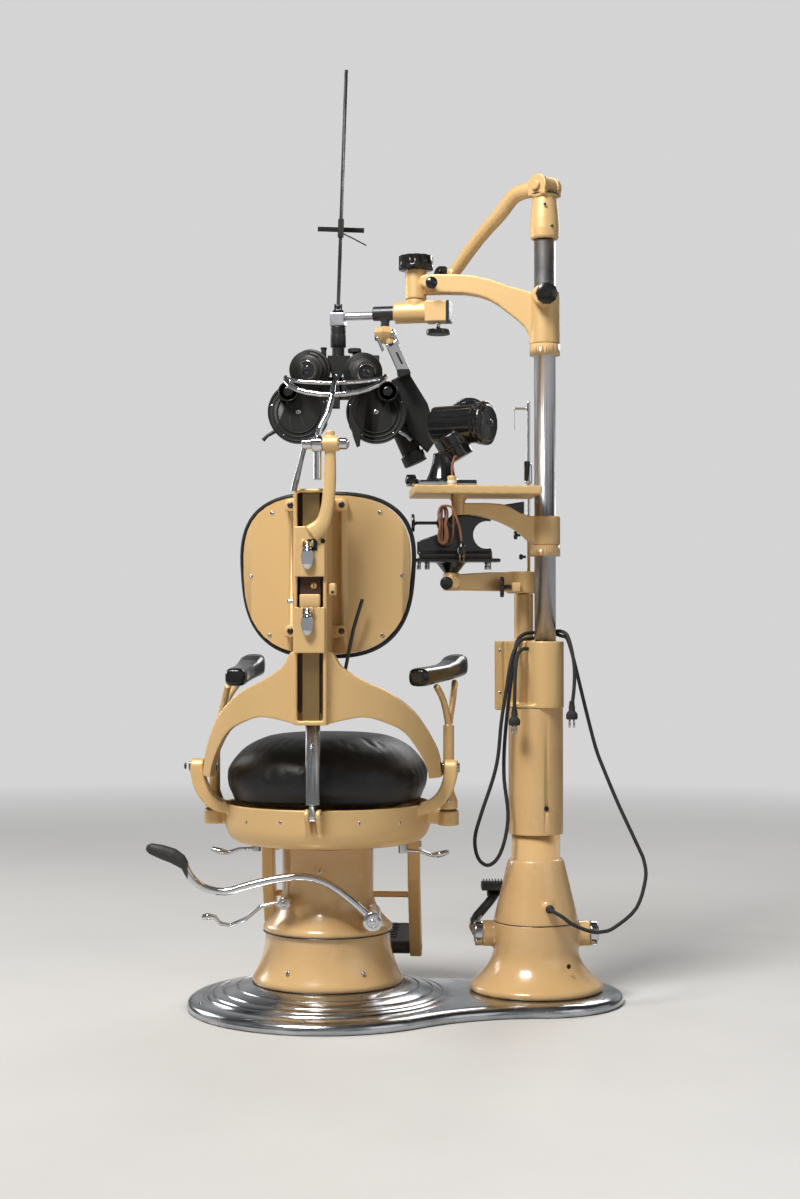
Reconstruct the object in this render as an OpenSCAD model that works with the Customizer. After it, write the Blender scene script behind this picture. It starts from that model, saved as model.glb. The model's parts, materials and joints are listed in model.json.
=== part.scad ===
// Ophthalmic examination chair with its instrument stand, seen from behind the sitter.
// Millimetres. The origin is the chair pedestal's axis on the floor; +Y is the way
// the sitter faces, +X the side of the instrument stand, +Z up.

/* [Base plate] */
// Radius of the round plate under the chair
plate_r = 302; // [285:1:320]
// Radius of the plate's lobe under the instrument stand
lobe_r = 190; // [178:1:205]
// Radius of the hollow between the two rounds, behind the sitter
waist_r = 400; // [300:5:500]
// Distance of the plate's straight front edge from the chair's axis
plate_front_y = 205; // [190:1:220]
// Thickness of the plate at its rim
plate_t = 26; // [20:1:32]
// Height of the crown that the pedestal stands on
crown_z = 55; // [48:1:62]
// Sideways distance from the chair's axis to the stand's axis
stand_x = 452; // [440:1:480]
// Distance of the stand's axis in front of the chair's axis
stand_y = 56; // [40:1:70]

/* [Pedestal] */
// Radius of the skirt where it meets the plate
skirt_r = 162; // [150:1:175]
// Radius of the skirt at its seam with the pump housing
neck_r = 134; // [126:1:142]
// Height of the seam between skirt and pump housing
seam_z = 164; // [150:1:180]
// Radius of the pedestal's upper column
column_r = 98; // [92:1:106]
// Height at which the housing's shoulder runs into the column
shoulder_z = 245; // [230:1:260]
// Height of the top of the fixed column
column_top_z = 345; // [330:1:360]
// Radius of the chrome ram
ram_r = 60; // [50:1:66]
// Wall of the castings of the pedestal and the stand
cast_wall = 8; // [5:0.5:11]

/* [Foot levers] */
// Reach of the pump lever from its hub to its grip
pump_reach = 391; // [330:1:420]
// Thickness of the pump lever's rod
pump_rod_d = 17; // [12:0.5:20]
// Reach of the release lever
release_reach = 173; // [140:1:190]
// Thickness of the release lever's rod
release_rod_d = 9; // [7:0.5:12]
// Radius of the two bosses that hold the stand's pedal axle
pedal_boss_r = 28; // [22:1:30]

/* [Seat] */
// Turn of the chair to the sitter's right, at rest
seat_turn = 5; // [0:0.5:8]
// Radius of the seat frame at its rim
bowl_r = 221; // [205:1:228]
// Radius of the seat frame's flat bottom
bowl_foot_r = 186; // [160:1:195]
// Height of the seat frame's rim
bowl_rim_z = 440; // [425:1:450]
// Wall of the seat frame
bowl_wall = 7; // [5:0.5:9]
// Height of the crown of the seat cushion over the rim
cushion_h = 143; // [110:1:155]
// Half of the cushion's width
cushion_half_w = 221; // [200:1:224]
// Sideways distance of the back's pivots
pivot_x = 270; // [262:1:280]
// Distance of the back's pivots behind the chair's axis
pivot_y = 75; // [70:1:82]
// Height of the back's pivots
pivot_z = 519; // [505:1:530]
// Radius of the back's pivot pins
pivot_pin_r = 10; // [7:0.5:12]

/* [Armrests] */
// Radius of the armrest stems
arm_stem_r = 12; // [9:0.5:14]
// Height of the middle of the armrest pads at their back end
arm_pad_z = 709; // [695:1:720]
// Half thickness of the armrest pads at their back end
arm_pad_half_h = 20; // [14:0.5:22]
// Half width of the armrest pads at their back end
arm_pad_half_w = 22; // [18:0.5:26]

/* [Legrest] */
// Half of the distance between the legrest's arms
leg_half_w = 163; // [154:1:172]
// Length of the legrest's arms below their pivots
leg_len = 260; // [220:1:264]
// Thickness of the legrest's arms
leg_arm_t = 26; // [12:0.5:28]
// Depth of the foot tread
tread_depth = 104; // [80:1:120]

/* [Backrest] */
// Radius at which the yoke's arms pass round the seat
yoke_r = 276; // [270:1:284]
// Thickness of the yoke's arms
yoke_t = 30; // [24:1:34]
// Height of the lower edge of the yoke's centre
yoke_foot_z = 617; // [608:1:626]
// Height of the top of the yoke's post
post_top_z = 1092; // [1086:1:1110]
// Width of the panel behind the back cushion
panel_w = 348; // [320:1:360]
// Height of the panel behind the back cushion
panel_h = 328; // [310:1:336]
// Height of the middle of the back panel
panel_z = 922; // [915:1:930]
// Sideways offset of the back panel from the post
panel_off = 18; // [0:1:24]
// Thickness of the back cushion at its crown
back_cushion_t = 58; // [40:1:70]
// Thickness of the strut between seat and yoke
strut_d = 30; // [22:1:32]

/* [Headrest] */
// Half of the span of the headrest's bows
bow_half_w = 103; // [90:1:112]
// Height of the headrest's cross pin
cross_z = 1180; // [1170:1:1190]
// Thickness of the outer bow's rod
bow_rod_d = 11; // [8:0.5:12]

/* [Instrument stand] */
// Radius of the stand's foot where it meets the plate
foot_r = 146; // [130:1:160]
// Radius of the stand's ring
ring_r = 92; // [84:1:100]
// Radius of the fixed tube
tube_r = 53; // [48:0.5:54]
// Radius of the sliding sleeve
sleeve_r = 59.5; // [58:0.5:64]
// Height of the sleeve's lower edge at rest
sleeve_z = 365; // [350:1:380]
// Height of the joint between sleeve and head
head_z = 639; // [630:1:650]
// Height of the head block
head_h = 145; // [130:1:150]
// Radius of the steel pole
pole_r = 23.3; // [20:0.1:25]
// Height of the top of the visible pole
pole_top_z = 1661; // [1640:1:1700]
// Sideways offset of the pole from the stand's axis
pole_dx = 19; // [15:1:22]
// Distance of the pole behind the stand's axis
pole_dy = 25; // [22:1:28]
// Radius of the side post
post_r = 21; // [18:0.5:22]

/* [Stand arms] */
// Radius of the collars on the pole
collar_r = 33; // [31:0.5:36]
// Height of the lower edge of the refractor arm's collar
bracket_z = 1431; // [1420:1:1440]
// Height of the lower edge of the table's collar
table_collar_z = 993; // [985:1:1000]
// Height of the table's lower face
table_z = 1098; // [1095:1:1104]
// Thickness of the table
table_t = 18; // [12:1:22]
// Width of the table
table_w = 272; // [240:1:274]
// Depth of the table
table_d = 165; // [150:1:175]
// Length of the lamp arm
lamp_len = 266; // [220:1:280]

/* [Refractor] */
// Radius of the drums
drum_r = 68; // [60:1:72]
// Thickness of the drums
drum_t = 36; // [28:1:40]
// Radius of the ribbed eyepieces
eyepiece_r = 43; // [36:1:46]
// Length of the near point rod
rod_len = 532; // [400:1:560]

/* [Hidden] */
$fn = 64;
cut = 1; // overrun of every cut
gap = 0.3; // running gap between bodies
fit = 0.05; // radial clearance of a pin or shaft

// Colours
cream = "#e0bd86";
chrome = "#c9ccd2";
steel = "#8d9096";
black = "#1c1c1e";
brown = "#4a2a18";
tan_metal = "#a98a58";
white = "#ece9e2";

// Curves and sweeps
function unit(v) = v / norm(v);
function mix(a, b, t) = a + (b - a) * t;
function spline_point(p, i, t) =
  let (a = p[max(i - 1, 0)], b = p[i], c = p[i + 1], d = p[min(i + 2, len(p) - 1)])
  ((2 * b) + (c - a) * t + (2 * a - 5 * b + 4 * c - d) * t * t
    + (3 * b - a - 3 * c + d) * t * t * t) / 2;
function spline(p, steps) = concat(
  [for (i = [0 : len(p) - 2]) for (k = [0 : steps - 1]) spline_point(p, i, k / steps)],
  [p[len(p) - 1]]);
function tangent(p, i) = unit(p[min(i + 1, len(p) - 1)] - p[max(i - 1, 0)]);
function bulge(v, power) = sign(v) * pow(abs(v), power);
function at(value, i) = is_list(value) ? value[i] : value;
function ring_point(p, i, w, h, up, a, power) =
  let (t = tangent(p, i), s = unit(cross(up, t)), u = cross(t, s))
  p[i] + s * w * bulge(cos(a), power) + u * h * bulge(sin(a), power);
function path_length(p) = len(p) < 2 ? 0 :
  [for (i = 1, s = norm(p[1] - p[0]); i < len(p); i = i + 1,
    s = s + (i < len(p) ? norm(p[i] - p[i - 1]) : 0)) s][len(p) - 2];

// A skin over rings of points, closed by a cap at each end
module skin(rings) {
  n = len(rings[0]);
  m = len(rings);
  points = [for (r = rings) for (q = r) q];
  sides = [for (i = [0 : m - 2]) for (j = [0 : n - 1])
    let (a = i * n + j, b = i * n + (j + 1) % n, c = b + n, d = a + n)
    each [[a, d, c], [a, c, b]]];
  start = [[for (j = [0 : n - 1]) j]];
  end = [[for (j = [n - 1 : -1 : 0]) (m - 1) * n + j]];
  polyhedron(points = points, faces = concat(sides, start, end), convexity = 6);
}

// A bar swept along a path: w and h are half sizes, one value or one per point
module sweep(path, w, h, up = [0, 0, 1], sides = 12, power = 1) {
  skin([for (i = [0 : len(path) - 1]) [for (j = [0 : sides - 1])
    ring_point(path, i, at(w, i), at(h, i), up, 360 * j / sides, power)]]);
}

// A tube of points along a cord's route
module cord(path, d, up = [0, 1, 0], sides = 8) {
  sweep(path, d / 2, d / 2, up, sides);
}

// A plate drawn in X and Z, from y0 on for a depth
module upright(y0, depth) {
  translate([0, y0 + depth, 0])
    rotate([90, 0, 0])
      linear_extrude(depth)
        children();
}

// A plate drawn in Y and Z, from x0 on for a width
module sideways(x0, width) {
  translate([x0, 0, 0])
    rotate([90, 0, 90])
      linear_extrude(width)
        children();
}

// Cylinders along X and along Y
module rod_x(x0, x1, r, y = 0, z = 0) {
  translate([x0, y, z])
    rotate([0, 90, 0])
      cylinder(h = x1 - x0, r = r);
}

module rod_y(y0, y1, r, x = 0, z = 0) {
  translate([x, y0, z])
    rotate([-90, 0, 0])
      cylinder(h = y1 - y0, r = r);
}

module rod_z(z0, z1, r, x = 0, y = 0) {
  translate([x, y, z0])
    cylinder(h = z1 - z0, r = r);
}

module block(x0, x1, y0, y1, z0, z1) {
  translate([x0, y0, z0])
    cube([x1 - x0, y1 - y0, z1 - z0]);
}

module both_sides() {
  children();
  mirror([1, 0, 0])
    children();
}

module turned() {
  rotate([0, 0, -seat_turn])
    children();
}

// Base plate
axis_gap = norm([stand_x, stand_y]);
axis_angle = atan2(stand_y, stand_x);
waist_a = ((plate_r + waist_r) * (plate_r + waist_r) - (lobe_r + waist_r) * (lobe_r + waist_r)
  + axis_gap * axis_gap) / (2 * axis_gap);
waist_h = sqrt((plate_r + waist_r) * (plate_r + waist_r) - waist_a * waist_a);
plate_edge = 11; // rounding of the plate's rim
plate_ring_rise_share = [0, 0.22, 0.42, 0.72, 1];
plate_ring_r = [262, 250, 226, 196, 168];

function rim_profile(r, z, e) = concat([[0, 0], [r - e / 2, 0]],
  [for (a = [-30 : 15 : 90]) [r - e + e * cos(a), z - e + e * sin(a)]]);

module plate_bridge() {
  disc_touch = plate_r / (plate_r + waist_r) * [waist_a, -waist_h];
  lobe_touch = [axis_gap, 0] + lobe_r / (lobe_r + waist_r) * [waist_a - axis_gap, -waist_h];
  difference() {
    union() {
      rotate([0, 0, axis_angle])
        polygon([[0, 0], disc_touch, lobe_touch, [axis_gap, 0]]);
      polygon([[0, 0], [stand_x, stand_y],
        [stand_x - sqrt(lobe_r * lobe_r - pow(plate_front_y - stand_y, 2)),
          plate_front_y],
        [sqrt(plate_r * plate_r - plate_front_y * plate_front_y), plate_front_y]]);
    }
    rotate([0, 0, axis_angle])
      translate([waist_a, -waist_h])
        circle(r = waist_r);
  }
}

module base_plate() {
  color(chrome)
    union() {
      rotate_extrude()
        polygon(concat(rim_profile(plate_r, plate_t, plate_edge),
          [for (i = [0 : 4]) each [
            [plate_ring_r[i], mix(plate_t, crown_z, plate_ring_rise_share[max(i - 1, 0)])],
            [plate_ring_r[i] - cut * 4,
              mix(plate_t, crown_z, plate_ring_rise_share[i])]]],
          [[0, crown_z]]));
      translate([stand_x, stand_y, 0])
        rotate_extrude()
          polygon(concat(rim_profile(lobe_r, plate_t, plate_edge), [[0, plate_t]]));
      linear_extrude(plate_t)
        plate_bridge();
    }
}

// Pedestal
skirt_bead_h = 14;
housing_r = neck_r + 5;
housing_bead_h = 14;
cylinder_r = ram_r + 10;

// Points of a cove that falls in from (r0, z0) to (r1, z1)
function cove(r0, z0, r1, z1, steep) = [for (k = [0 : 8])
  let (t = k / 8) [mix(r1, r0, pow(1 - t, steep)), mix(z0, z1, t)]];

module pedestal_skirt() {
  color(cream)
    rotate_extrude()
      difference() {
        polygon(concat([[neck_r - cast_wall, crown_z], [skirt_r - skirt_bead_h / 4, crown_z],
          [skirt_r, crown_z + skirt_bead_h / 4],
          [skirt_r, crown_z + skirt_bead_h * 3 / 4]],
          cove(skirt_r - skirt_bead_h / 8, crown_z + skirt_bead_h, neck_r, seam_z, 2.4),
          [[neck_r - cast_wall, seam_z]]));
        square([neck_r - cast_wall, seam_z]);
      }
}

pump_x = 98.8;
pump_z = 206;
pump_y = -155; // plane of the pump lever
pump_hub_r = 12;
pump_hub_t = 18;
pump_shaft_r = 9;
pump_boss_r = 16;
release_x = -87.7;
release_z = 235;
release_y = -104; // plane of the release lever
release_shaft_r = 6;
release_boss_r = 12;
shaft_seat_y = 30; // how far the shafts' bosses start from the column's axis

module pump_housing() {
  color(cream)
    difference() {
      union() {
        rotate_extrude()
          polygon(concat([[column_r - cast_wall, seam_z + gap],
            [neck_r, seam_z + gap], [housing_r, seam_z + housing_bead_h / 3],
            [housing_r, seam_z + housing_bead_h * 2 / 3]],
            cove(housing_r - housing_bead_h / 8, seam_z + housing_bead_h, column_r,
              shoulder_z, 2),
            [[column_r, column_top_z], [cylinder_r + gap, column_top_z],
            [cylinder_r + gap, column_top_z - cast_wall * 2],
            [column_r - cast_wall, column_top_z - cast_wall * 3]]));
        rod_y(pump_y + pump_hub_t / 2 + gap, -shaft_seat_y, pump_boss_r, pump_x, pump_z);
        rod_y(release_y + release_rod_d / 2 + gap, -shaft_seat_y, release_boss_r,
          release_x, release_z);
      }
      rod_z(seam_z - cut, column_top_z - cast_wall * 3, column_r - cast_wall);
      rod_y(pump_y, -shaft_seat_y - cast_wall, pump_shaft_r + fit, pump_x, pump_z);
      rod_y(release_y, -shaft_seat_y - cast_wall, release_shaft_r + fit,
        release_x, release_z);
    }
}

module lift_cylinder() {
  color(steel)
    difference() {
      rod_z(crown_z, column_top_z, cylinder_r);
      rod_z(crown_z + cast_wall, column_top_z + cut, ram_r + fit);
    }
}

ram_flange_t = 10;
ram_flange_r = column_r - 6;
ram_low_z = crown_z + cast_wall * 2;
ram_pin_r = 20;
ram_pin_h = 30;
seat_z = column_top_z + 1 + ram_flange_t; // top of the ram's flange

module lift_ram() {
  color(chrome)
    union() {
      rod_z(ram_low_z, seat_z, ram_r);
      rod_z(seat_z - ram_flange_t, seat_z, ram_flange_r);
      rod_z(seat_z - ram_flange_t, seat_z + ram_pin_h, ram_pin_r);
    }
}

// Pump lever: places along its rod as shares of its reach, out and up
pump_path_shares = [[0, 0], [0.095, 0.09], [0.229, 0.19], [0.363, 0.233], [0.508, 0.222],
  [0.653, 0.19], [0.787, 0.155], [0.898, 0.178], [0.965, 0.234], [1, 0.3]];
pump_grip_shares = [[0.992, 0.29], [1.02, 0.32], [1.06, 0.345], [1.12, 0.366], [1.18, 0.384],
  [1.2, 0.388]];
pump_grip_swell_shares = [0.62, 0.9, 1, 0.95, 0.72, 0.35];
pump_grip_r = 16;

function lever_path(x, y, z, reach, shares) =
  [for (s = shares) [x - s[0] * reach, y, z + s[1] * reach]];

module pump_lever() {
  rod_path = spline(lever_path(pump_x, pump_y, pump_z, pump_reach, pump_path_shares), 3);
  grip_path = lever_path(pump_x, pump_y, pump_z, pump_reach, pump_grip_shares);
  color(chrome)
    union() {
      sweep(rod_path, pump_rod_d / 2, pump_rod_d / 2, [0, 1, 0]);
      rod_y(pump_y - pump_hub_t / 2, pump_y + pump_hub_t / 2, pump_hub_r, pump_x, pump_z);
      rod_y(pump_y, -shaft_seat_y - cast_wall * 2, pump_shaft_r, pump_x, pump_z);
      sweep(grip_path, pump_grip_swell_shares * pump_grip_r,
        pump_grip_swell_shares * pump_grip_r * 0.85, [0, 1, 0]);
    }
}

release_path_shares = [[0, 0], [0.115, 0], [0.29, -0.04], [0.47, -0.19], [0.65, -0.265],
  [0.78, -0.242], [0.845, -0.167], [0.93, -0.16], [1, -0.168]];
release_swell_shares = [1, 1, 1, 1, 1, 1.05, 1.2, 1.7, 1.2];
release_dome_r = 13;

module release_lever() {
  path = lever_path(release_x, release_y, release_z, release_reach, release_path_shares);
  color(chrome)
    union() {
      sweep(path, release_swell_shares * release_rod_d / 2,
        release_swell_shares * release_rod_d / 2, [0, 1, 0]);
      rod_y(release_y - release_rod_d, release_y + release_rod_d / 2, release_dome_r,
        release_x, release_z);
      rod_y(release_y, -shaft_seat_y - cast_wall * 2, release_shaft_r,
        release_x, release_z);
    }
}

// Instrument stand, fixed part
ring_z = 121;
ring_h = 54;
cone_top_z = 310;
cone_top_r = 62;
foot_edge = 12;
pedal_z = 147; // height of the pedal's axle
pedal_axle_r = 12;
boss_reach = 57 + ring_r * 0.65; // from the stand's axis to the face of a boss
axle_cap_t = 16;
tube_top_z = 570;
gland_z = 214;
gland_x = 22; // sideways offset of the cord gland from the stand's axis
gland_r = 9;
set_screw_r = 3;

module at_stand() {
  translate([stand_x, stand_y, 0])
    children();
}

module stand_foot() {
  color(cream)
    at_stand() {
      rotate_extrude()
        difference() {
          polygon(concat([[0, plate_t], [foot_r - foot_edge / 3, plate_t],
            [foot_r, plate_t + foot_edge / 3], [foot_r - gap, plate_t + foot_edge]],
            cove(foot_r - foot_edge / 3, plate_t + foot_edge * 1.3, ring_r + gap,
              ring_z - gap, 2.1), [[0, ring_z - gap]]));
          square([ring_r - cast_wall, ring_z - cast_wall]);
        }
      difference() {
        union() {
          rod_z(ring_z, ring_z + ring_h, ring_r);
          rod_x(-boss_reach, boss_reach, pedal_boss_r, 0, pedal_z);
        }
        rod_x(-boss_reach - cut, boss_reach + cut, pedal_axle_r + fit, 0,
          pedal_z);
        rod_z(ring_z + cast_wall, ring_z + ring_h + cut, ring_r - cast_wall);
      }
    }
}

module stand_cone() {
  cone_z = ring_z + ring_h + gap;
  color(cream)
    at_stand()
      difference() {
        union() {
          rotate_extrude()
            polygon([[0, cone_z], [ring_r - gap, cone_z],
              [ring_r, cone_z + cast_wall / 2],
              [cone_top_r, cone_top_z - cast_wall],
              [cone_top_r - cast_wall / 3, cone_top_z - cast_wall / 4],
              [cone_top_r - cast_wall / 2, cone_top_z], [0, cone_top_z]]);
          rod_z(cone_z, tube_top_z, tube_r);
          rod_y(mains_route[0][1] - stand_y, 0, gland_r, gland_x, gland_z);
        }
        rod_z(cone_z - cut, tube_top_z + cut, tube_r - cast_wall);
      }
}

// Foot pedal of the stand
pedal_hub_x = stand_x - boss_reach - axle_cap_t;
pedal_y = 128; // how far the tread lies in front of the axle
pedal_rise = 78;
pedal_bar_x = pedal_hub_x + 4;
pedal_tread_x = 371;
pedal_tread_w = 66;
pedal_tread_d = 58;
pedal_tread_t = 20;

module pedal_arm() {
  bar = spline([[pedal_bar_x, stand_y, pedal_z], [pedal_bar_x - 6, stand_y + 22, pedal_z + 22],
    [pedal_bar_x + 30, stand_y + pedal_y * 0.65, pedal_z + pedal_rise * 0.7],
    [pedal_tread_x, stand_y + pedal_y, pedal_z + pedal_rise - 8]], 3);
  color(chrome)
    union() {
      rod_x(pedal_bar_x - 5, stand_x - boss_reach - gap, pedal_boss_r - 1, stand_y, pedal_z);
      rod_x(stand_x - boss_reach - cut, stand_x + boss_reach + cut, pedal_axle_r,
        stand_y, pedal_z);
      rod_x(stand_x + boss_reach + gap, stand_x + boss_reach + axle_cap_t,
        pedal_boss_r - 1, stand_y, pedal_z);
      sweep(bar, 6, 11, [1, 0, 0], 12, 0.7);
      rod_x(pedal_tread_x - 20, pedal_tread_x + 20, 8, stand_y + pedal_y,
        pedal_z + pedal_rise - 8);
    }
}

module pedal_tread() {
  color(black)
    translate([pedal_tread_x, stand_y + pedal_y, pedal_z + pedal_rise])
      intersection() {
        translate([-pedal_tread_w / 2, -pedal_tread_d / 2, 0])
          cube([pedal_tread_w, pedal_tread_d, pedal_tread_t]);
        rod_x(-pedal_tread_w, pedal_tread_w, pedal_tread_d / 2 + 4, 0,
          -pedal_tread_d / 4);
      }
}

// Seat
seat_base_z = seat_z + gap;
bowl_curve_h = 45;
hub_r = 45;
hub_h = 36;
bracket_w = 28;
bracket_root_x = bowl_r - 16;
bracket_low_z = bowl_rim_z - 20;
bracket_web = 26;
bracket_d = 34; // depth of the pivot brackets, fore and aft
clevis_y = -(bowl_r + 26);
clevis_z = bowl_rim_z - 8;
clevis_w = 34;
clevis_slot = 12;
clevis_r = 14;
clevis_pin_r = 5;
stem_x = bowl_r + 31;
stem_off = 10; // both armrests sit a little to the right
stem_y = -30;
socket_r = arm_stem_r + 10;
socket_z0 = 393;
socket_z1 = 425;
leg_pivot_y = 140;
leg_pivot_z = seat_base_z - 22;
leg_pin_r = 8;
leg_lug_t = 13;

function quarter(cx, cz, rx, rz) = [for (a = [0 : 10 : 90]) [cx + rx * sin(a), cz - rz * cos(a)]];
function backwards(p) = [for (i = [len(p) - 1 : -1 : 0]) p[i]];
function bowl_curve(inset) = [for (a = [0 : 10 : 90])
  [bowl_foot_r - inset + (bowl_r - bowl_foot_r) * sin(a),
    seat_base_z + inset * (1 + cos(a)) / 2 + bowl_curve_h * (1 - cos(a))]];

module seat_bowl_2d() {
  polygon(concat([[0, seat_base_z]], bowl_curve(0), [[bowl_r, bowl_rim_z],
    [bowl_r - bowl_wall, bowl_rim_z]], backwards(bowl_curve(bowl_wall)),
    [[0, seat_base_z + bowl_wall]]));
}

module pivot_bracket() {
  upright(-pivot_y - bracket_d / 2, bracket_d)
    polygon(concat(quarter(bracket_root_x, pivot_z,
      pivot_x + bracket_w / 2 - bracket_root_x, pivot_z - bracket_low_z),
      backwards(quarter(bracket_root_x, pivot_z, pivot_x - bracket_w / 2 - bracket_root_x,
        pivot_z - bracket_low_z - bracket_web))));
  rod_x(pivot_x - bracket_w / 2, pivot_x + bracket_w / 2, bracket_d / 2, -pivot_y, pivot_z);
}

module strut_clevis() {
  side = (clevis_w - clevis_slot) / 2;
  for (x = [-clevis_w / 2, clevis_slot / 2])
    sideways(x, side) {
      translate([clevis_y, clevis_z])
        circle(r = clevis_r);
      polygon([[clevis_y, clevis_z + clevis_r], [-bowl_r + bowl_wall / 2, clevis_z + clevis_r / 2],
        [-bowl_r + bowl_wall / 2, bowl_rim_z - clevis_r * 4],
        [clevis_y - clevis_r * 0.8, clevis_z - clevis_r * 0.6]]);
    }
}

module seat_frame() {
  color(cream)
    turned()
      difference() {
        union() {
          rotate_extrude()
            seat_bowl_2d();
          rod_z(seat_base_z, seat_base_z + hub_h, hub_r);
          both_sides()
            pivot_bracket();
          translate([leg_off, 0, 0])
            both_sides()
              block(leg_half_w - leg_arm_t / 2 - leg_lug_t - gap,
                leg_half_w - leg_arm_t / 2 - gap, leg_pivot_y - leg_pin_r * 2,
                leg_pivot_y + leg_pin_r * 2, leg_pivot_z - leg_pin_r * 2,
                seat_base_z + bowl_wall * 2);
          strut_clevis();
          for (x = [stem_off - stem_x, stem_off + stem_x]) {
            rod_z(socket_z0, socket_z1, socket_r, x, stem_y);
            translate([sign(x) * (bowl_r - bowl_wall), stem_y - arm_stem_r, socket_z0 + 4])
              mirror([x < 0 ? 1 : 0, 0, 0])
                cube([abs(x) - bowl_r + bowl_wall, arm_stem_r * 2,
                  socket_z1 - socket_z0 - 4]);
          }
        }
        for (x = [stem_off - stem_x, stem_off + stem_x])
          rod_z(socket_z0 - cut, socket_z1 + cut, arm_stem_r + fit, x, stem_y);
        both_sides()
          rod_x(pivot_x - bracket_w, pivot_x + bracket_w, pivot_pin_r + fit,
            -pivot_y, pivot_z);
        translate([leg_off, 0, 0])
          both_sides()
            rod_x(leg_half_w - leg_arm_t - leg_lug_t * 2, leg_half_w,
              leg_pin_r + fit, leg_pivot_y, leg_pivot_z);
        rod_x(-clevis_w, clevis_w, clevis_pin_r + fit, clevis_y, clevis_z);
        rod_z(seat_base_z - cut, seat_base_z + hub_h + cut, ram_pin_r + fit);
        rod_z(seat_base_z - cut, seat_base_z + bowl_wall + cut, under_pin_r + fit,
          lock_x, lock_y);
        rod_z(seat_base_z - cut, seat_base_z + bowl_wall + cut, under_pin_r + fit,
          legrest_lever_x, legrest_lever_y);
      }
}

// Seat cushion: rings that swell from the rim, draw in over the piping and crown
cushion_level_shares = [0, 0.05, 0.1, 0.16, 0.25, 0.35, 0.45, 0.55, 0.66, 0.75, 0.83, 0.89, 0.935,
  0.965, 0.985, 0.997, 1];
cushion_size_shares = [0.93, 0.955, 0.95, 0.98, 0.998, 1, 0.985, 0.945, 0.89, 0.835, 0.77, 0.7, 0.62,
  0.52, 0.4, 0.24, 0.09];
cushion_square = 0.86; // below 1 squares the plan
cushion_long_share = 0.98;

module seat_cushion() {
  path = [for (s = cushion_level_shares) [0, 0, bowl_rim_z + gap + s * cushion_h]];
  color(black)
    turned()
      sweep(path, cushion_size_shares * cushion_half_w,
        cushion_size_shares * cushion_half_w * cushion_long_share, [0, 1, 0], 40,
        cushion_square);
}

pin_head = 4;

module pivot_pins() {
  color(chrome)
    turned() {
      both_sides() {
          rod_x(yoke_half_w - yoke_foot_w, pivot_x + bracket_w / 2 + pin_head,
            pivot_pin_r, -pivot_y, pivot_z);
          rod_x(yoke_half_w + gap, yoke_half_w + yoke_washer_t * 0.7, bracket_d / 2 - yoke_washer_t,
            -pivot_y, pivot_z);
        }
      translate([leg_off, 0, 0])
        both_sides()
          rod_x(leg_half_w - leg_arm_t / 2 - leg_lug_t - pin_head,
            leg_half_w + leg_arm_t / 2 + pin_head, leg_pin_r, leg_pivot_y,
            leg_pivot_z);
      rod_x(-clevis_w / 2 - 1, clevis_w / 2 + 1, clevis_pin_r, clevis_y, clevis_z);
    }
}

// Levers under the seat
under_z = seat_base_z - 16;
under_pin_r = 6;
under_arm_shares = [[0, 0], [0.4, -0.02], [0.62, -0.1], [0.8, -0.08], [1, -0.02]];
under_swell_shares = [1, 1, 1.1, 1.9, 1.3];
under_reach = 98;
under_rod_d = 12;
lock_x = -150;
lock_y = -30;
legrest_lever_x = 165;
legrest_lever_y = -40;

module under_lever(x, y, side) {
  path = [for (s = under_arm_shares)
    [x + side * s[0] * under_reach, y, under_z + s[1] * under_reach]];
  sweep(path, under_swell_shares * under_rod_d / 2, under_swell_shares * under_rod_d / 3,
    [0, 0, 1], 10);
  rod_z(under_z - under_rod_d / 2, seat_base_z + bowl_wall - gap, under_pin_r, x, y);
  rod_z(under_z - under_rod_d / 2, seat_base_z - gap, under_pin_r * 1.6, x, y);
}

module turn_lock_lever() {
  color(chrome)
    turned()
      under_lever(lock_x, lock_y, -1);
}

module legrest_lever() {
  color(chrome)
    turned()
      under_lever(legrest_lever_x, legrest_lever_y, 1);
}

// Armrests, drawn about the stem of the right one: inward is -X, the sitter's front is +Y
arm_swing = 16; // outward turn of the right armrest at rest
arm_lean = 25; // extra inward lean of the left armrest
pad_in = 35;
pad_back = 98;
pad_front = 172;
pad_along_shares = [0, 0.03, 0.1, 0.3, 0.55, 0.72, 0.85, 0.94, 0.985, 1];
pad_bow_shares = [0, 0, 0, 0.12, 0.2, 0.16, 0.06, 0, -0.04, -0.05];
pad_rise_shares = [0, 0, 0.02, 0.1, 0.2, 0.34, 0.5, 0.56, 0.57, 0.57];
pad_width_shares = [0.78, 0.98, 1.02, 1, 1.04, 1.2, 1.3, 1.15, 0.8, 0.4];
pad_height_shares = [0.74, 0.96, 1, 0.94, 0.92, 1, 1.18, 1.22, 1, 0.6];
bar_d = 15;
cup_r = 19.5;
cup_h = 40;
fork_z = 606;

function pad_path(lean) = [for (i = [0 : 9])
  [-pad_in - lean + pad_bow_shares[i] * arm_pad_half_w,
    mix(-pad_back, pad_front, pad_along_shares[i]),
    arm_pad_z + pad_rise_shares[i] * arm_pad_half_h * 2]];

module arm_pad(lean) {
  sweep(pad_path(lean), pad_width_shares * arm_pad_half_w, pad_height_shares * arm_pad_half_h,
    [0, 0, 1], 16, 0.6);
}

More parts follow.
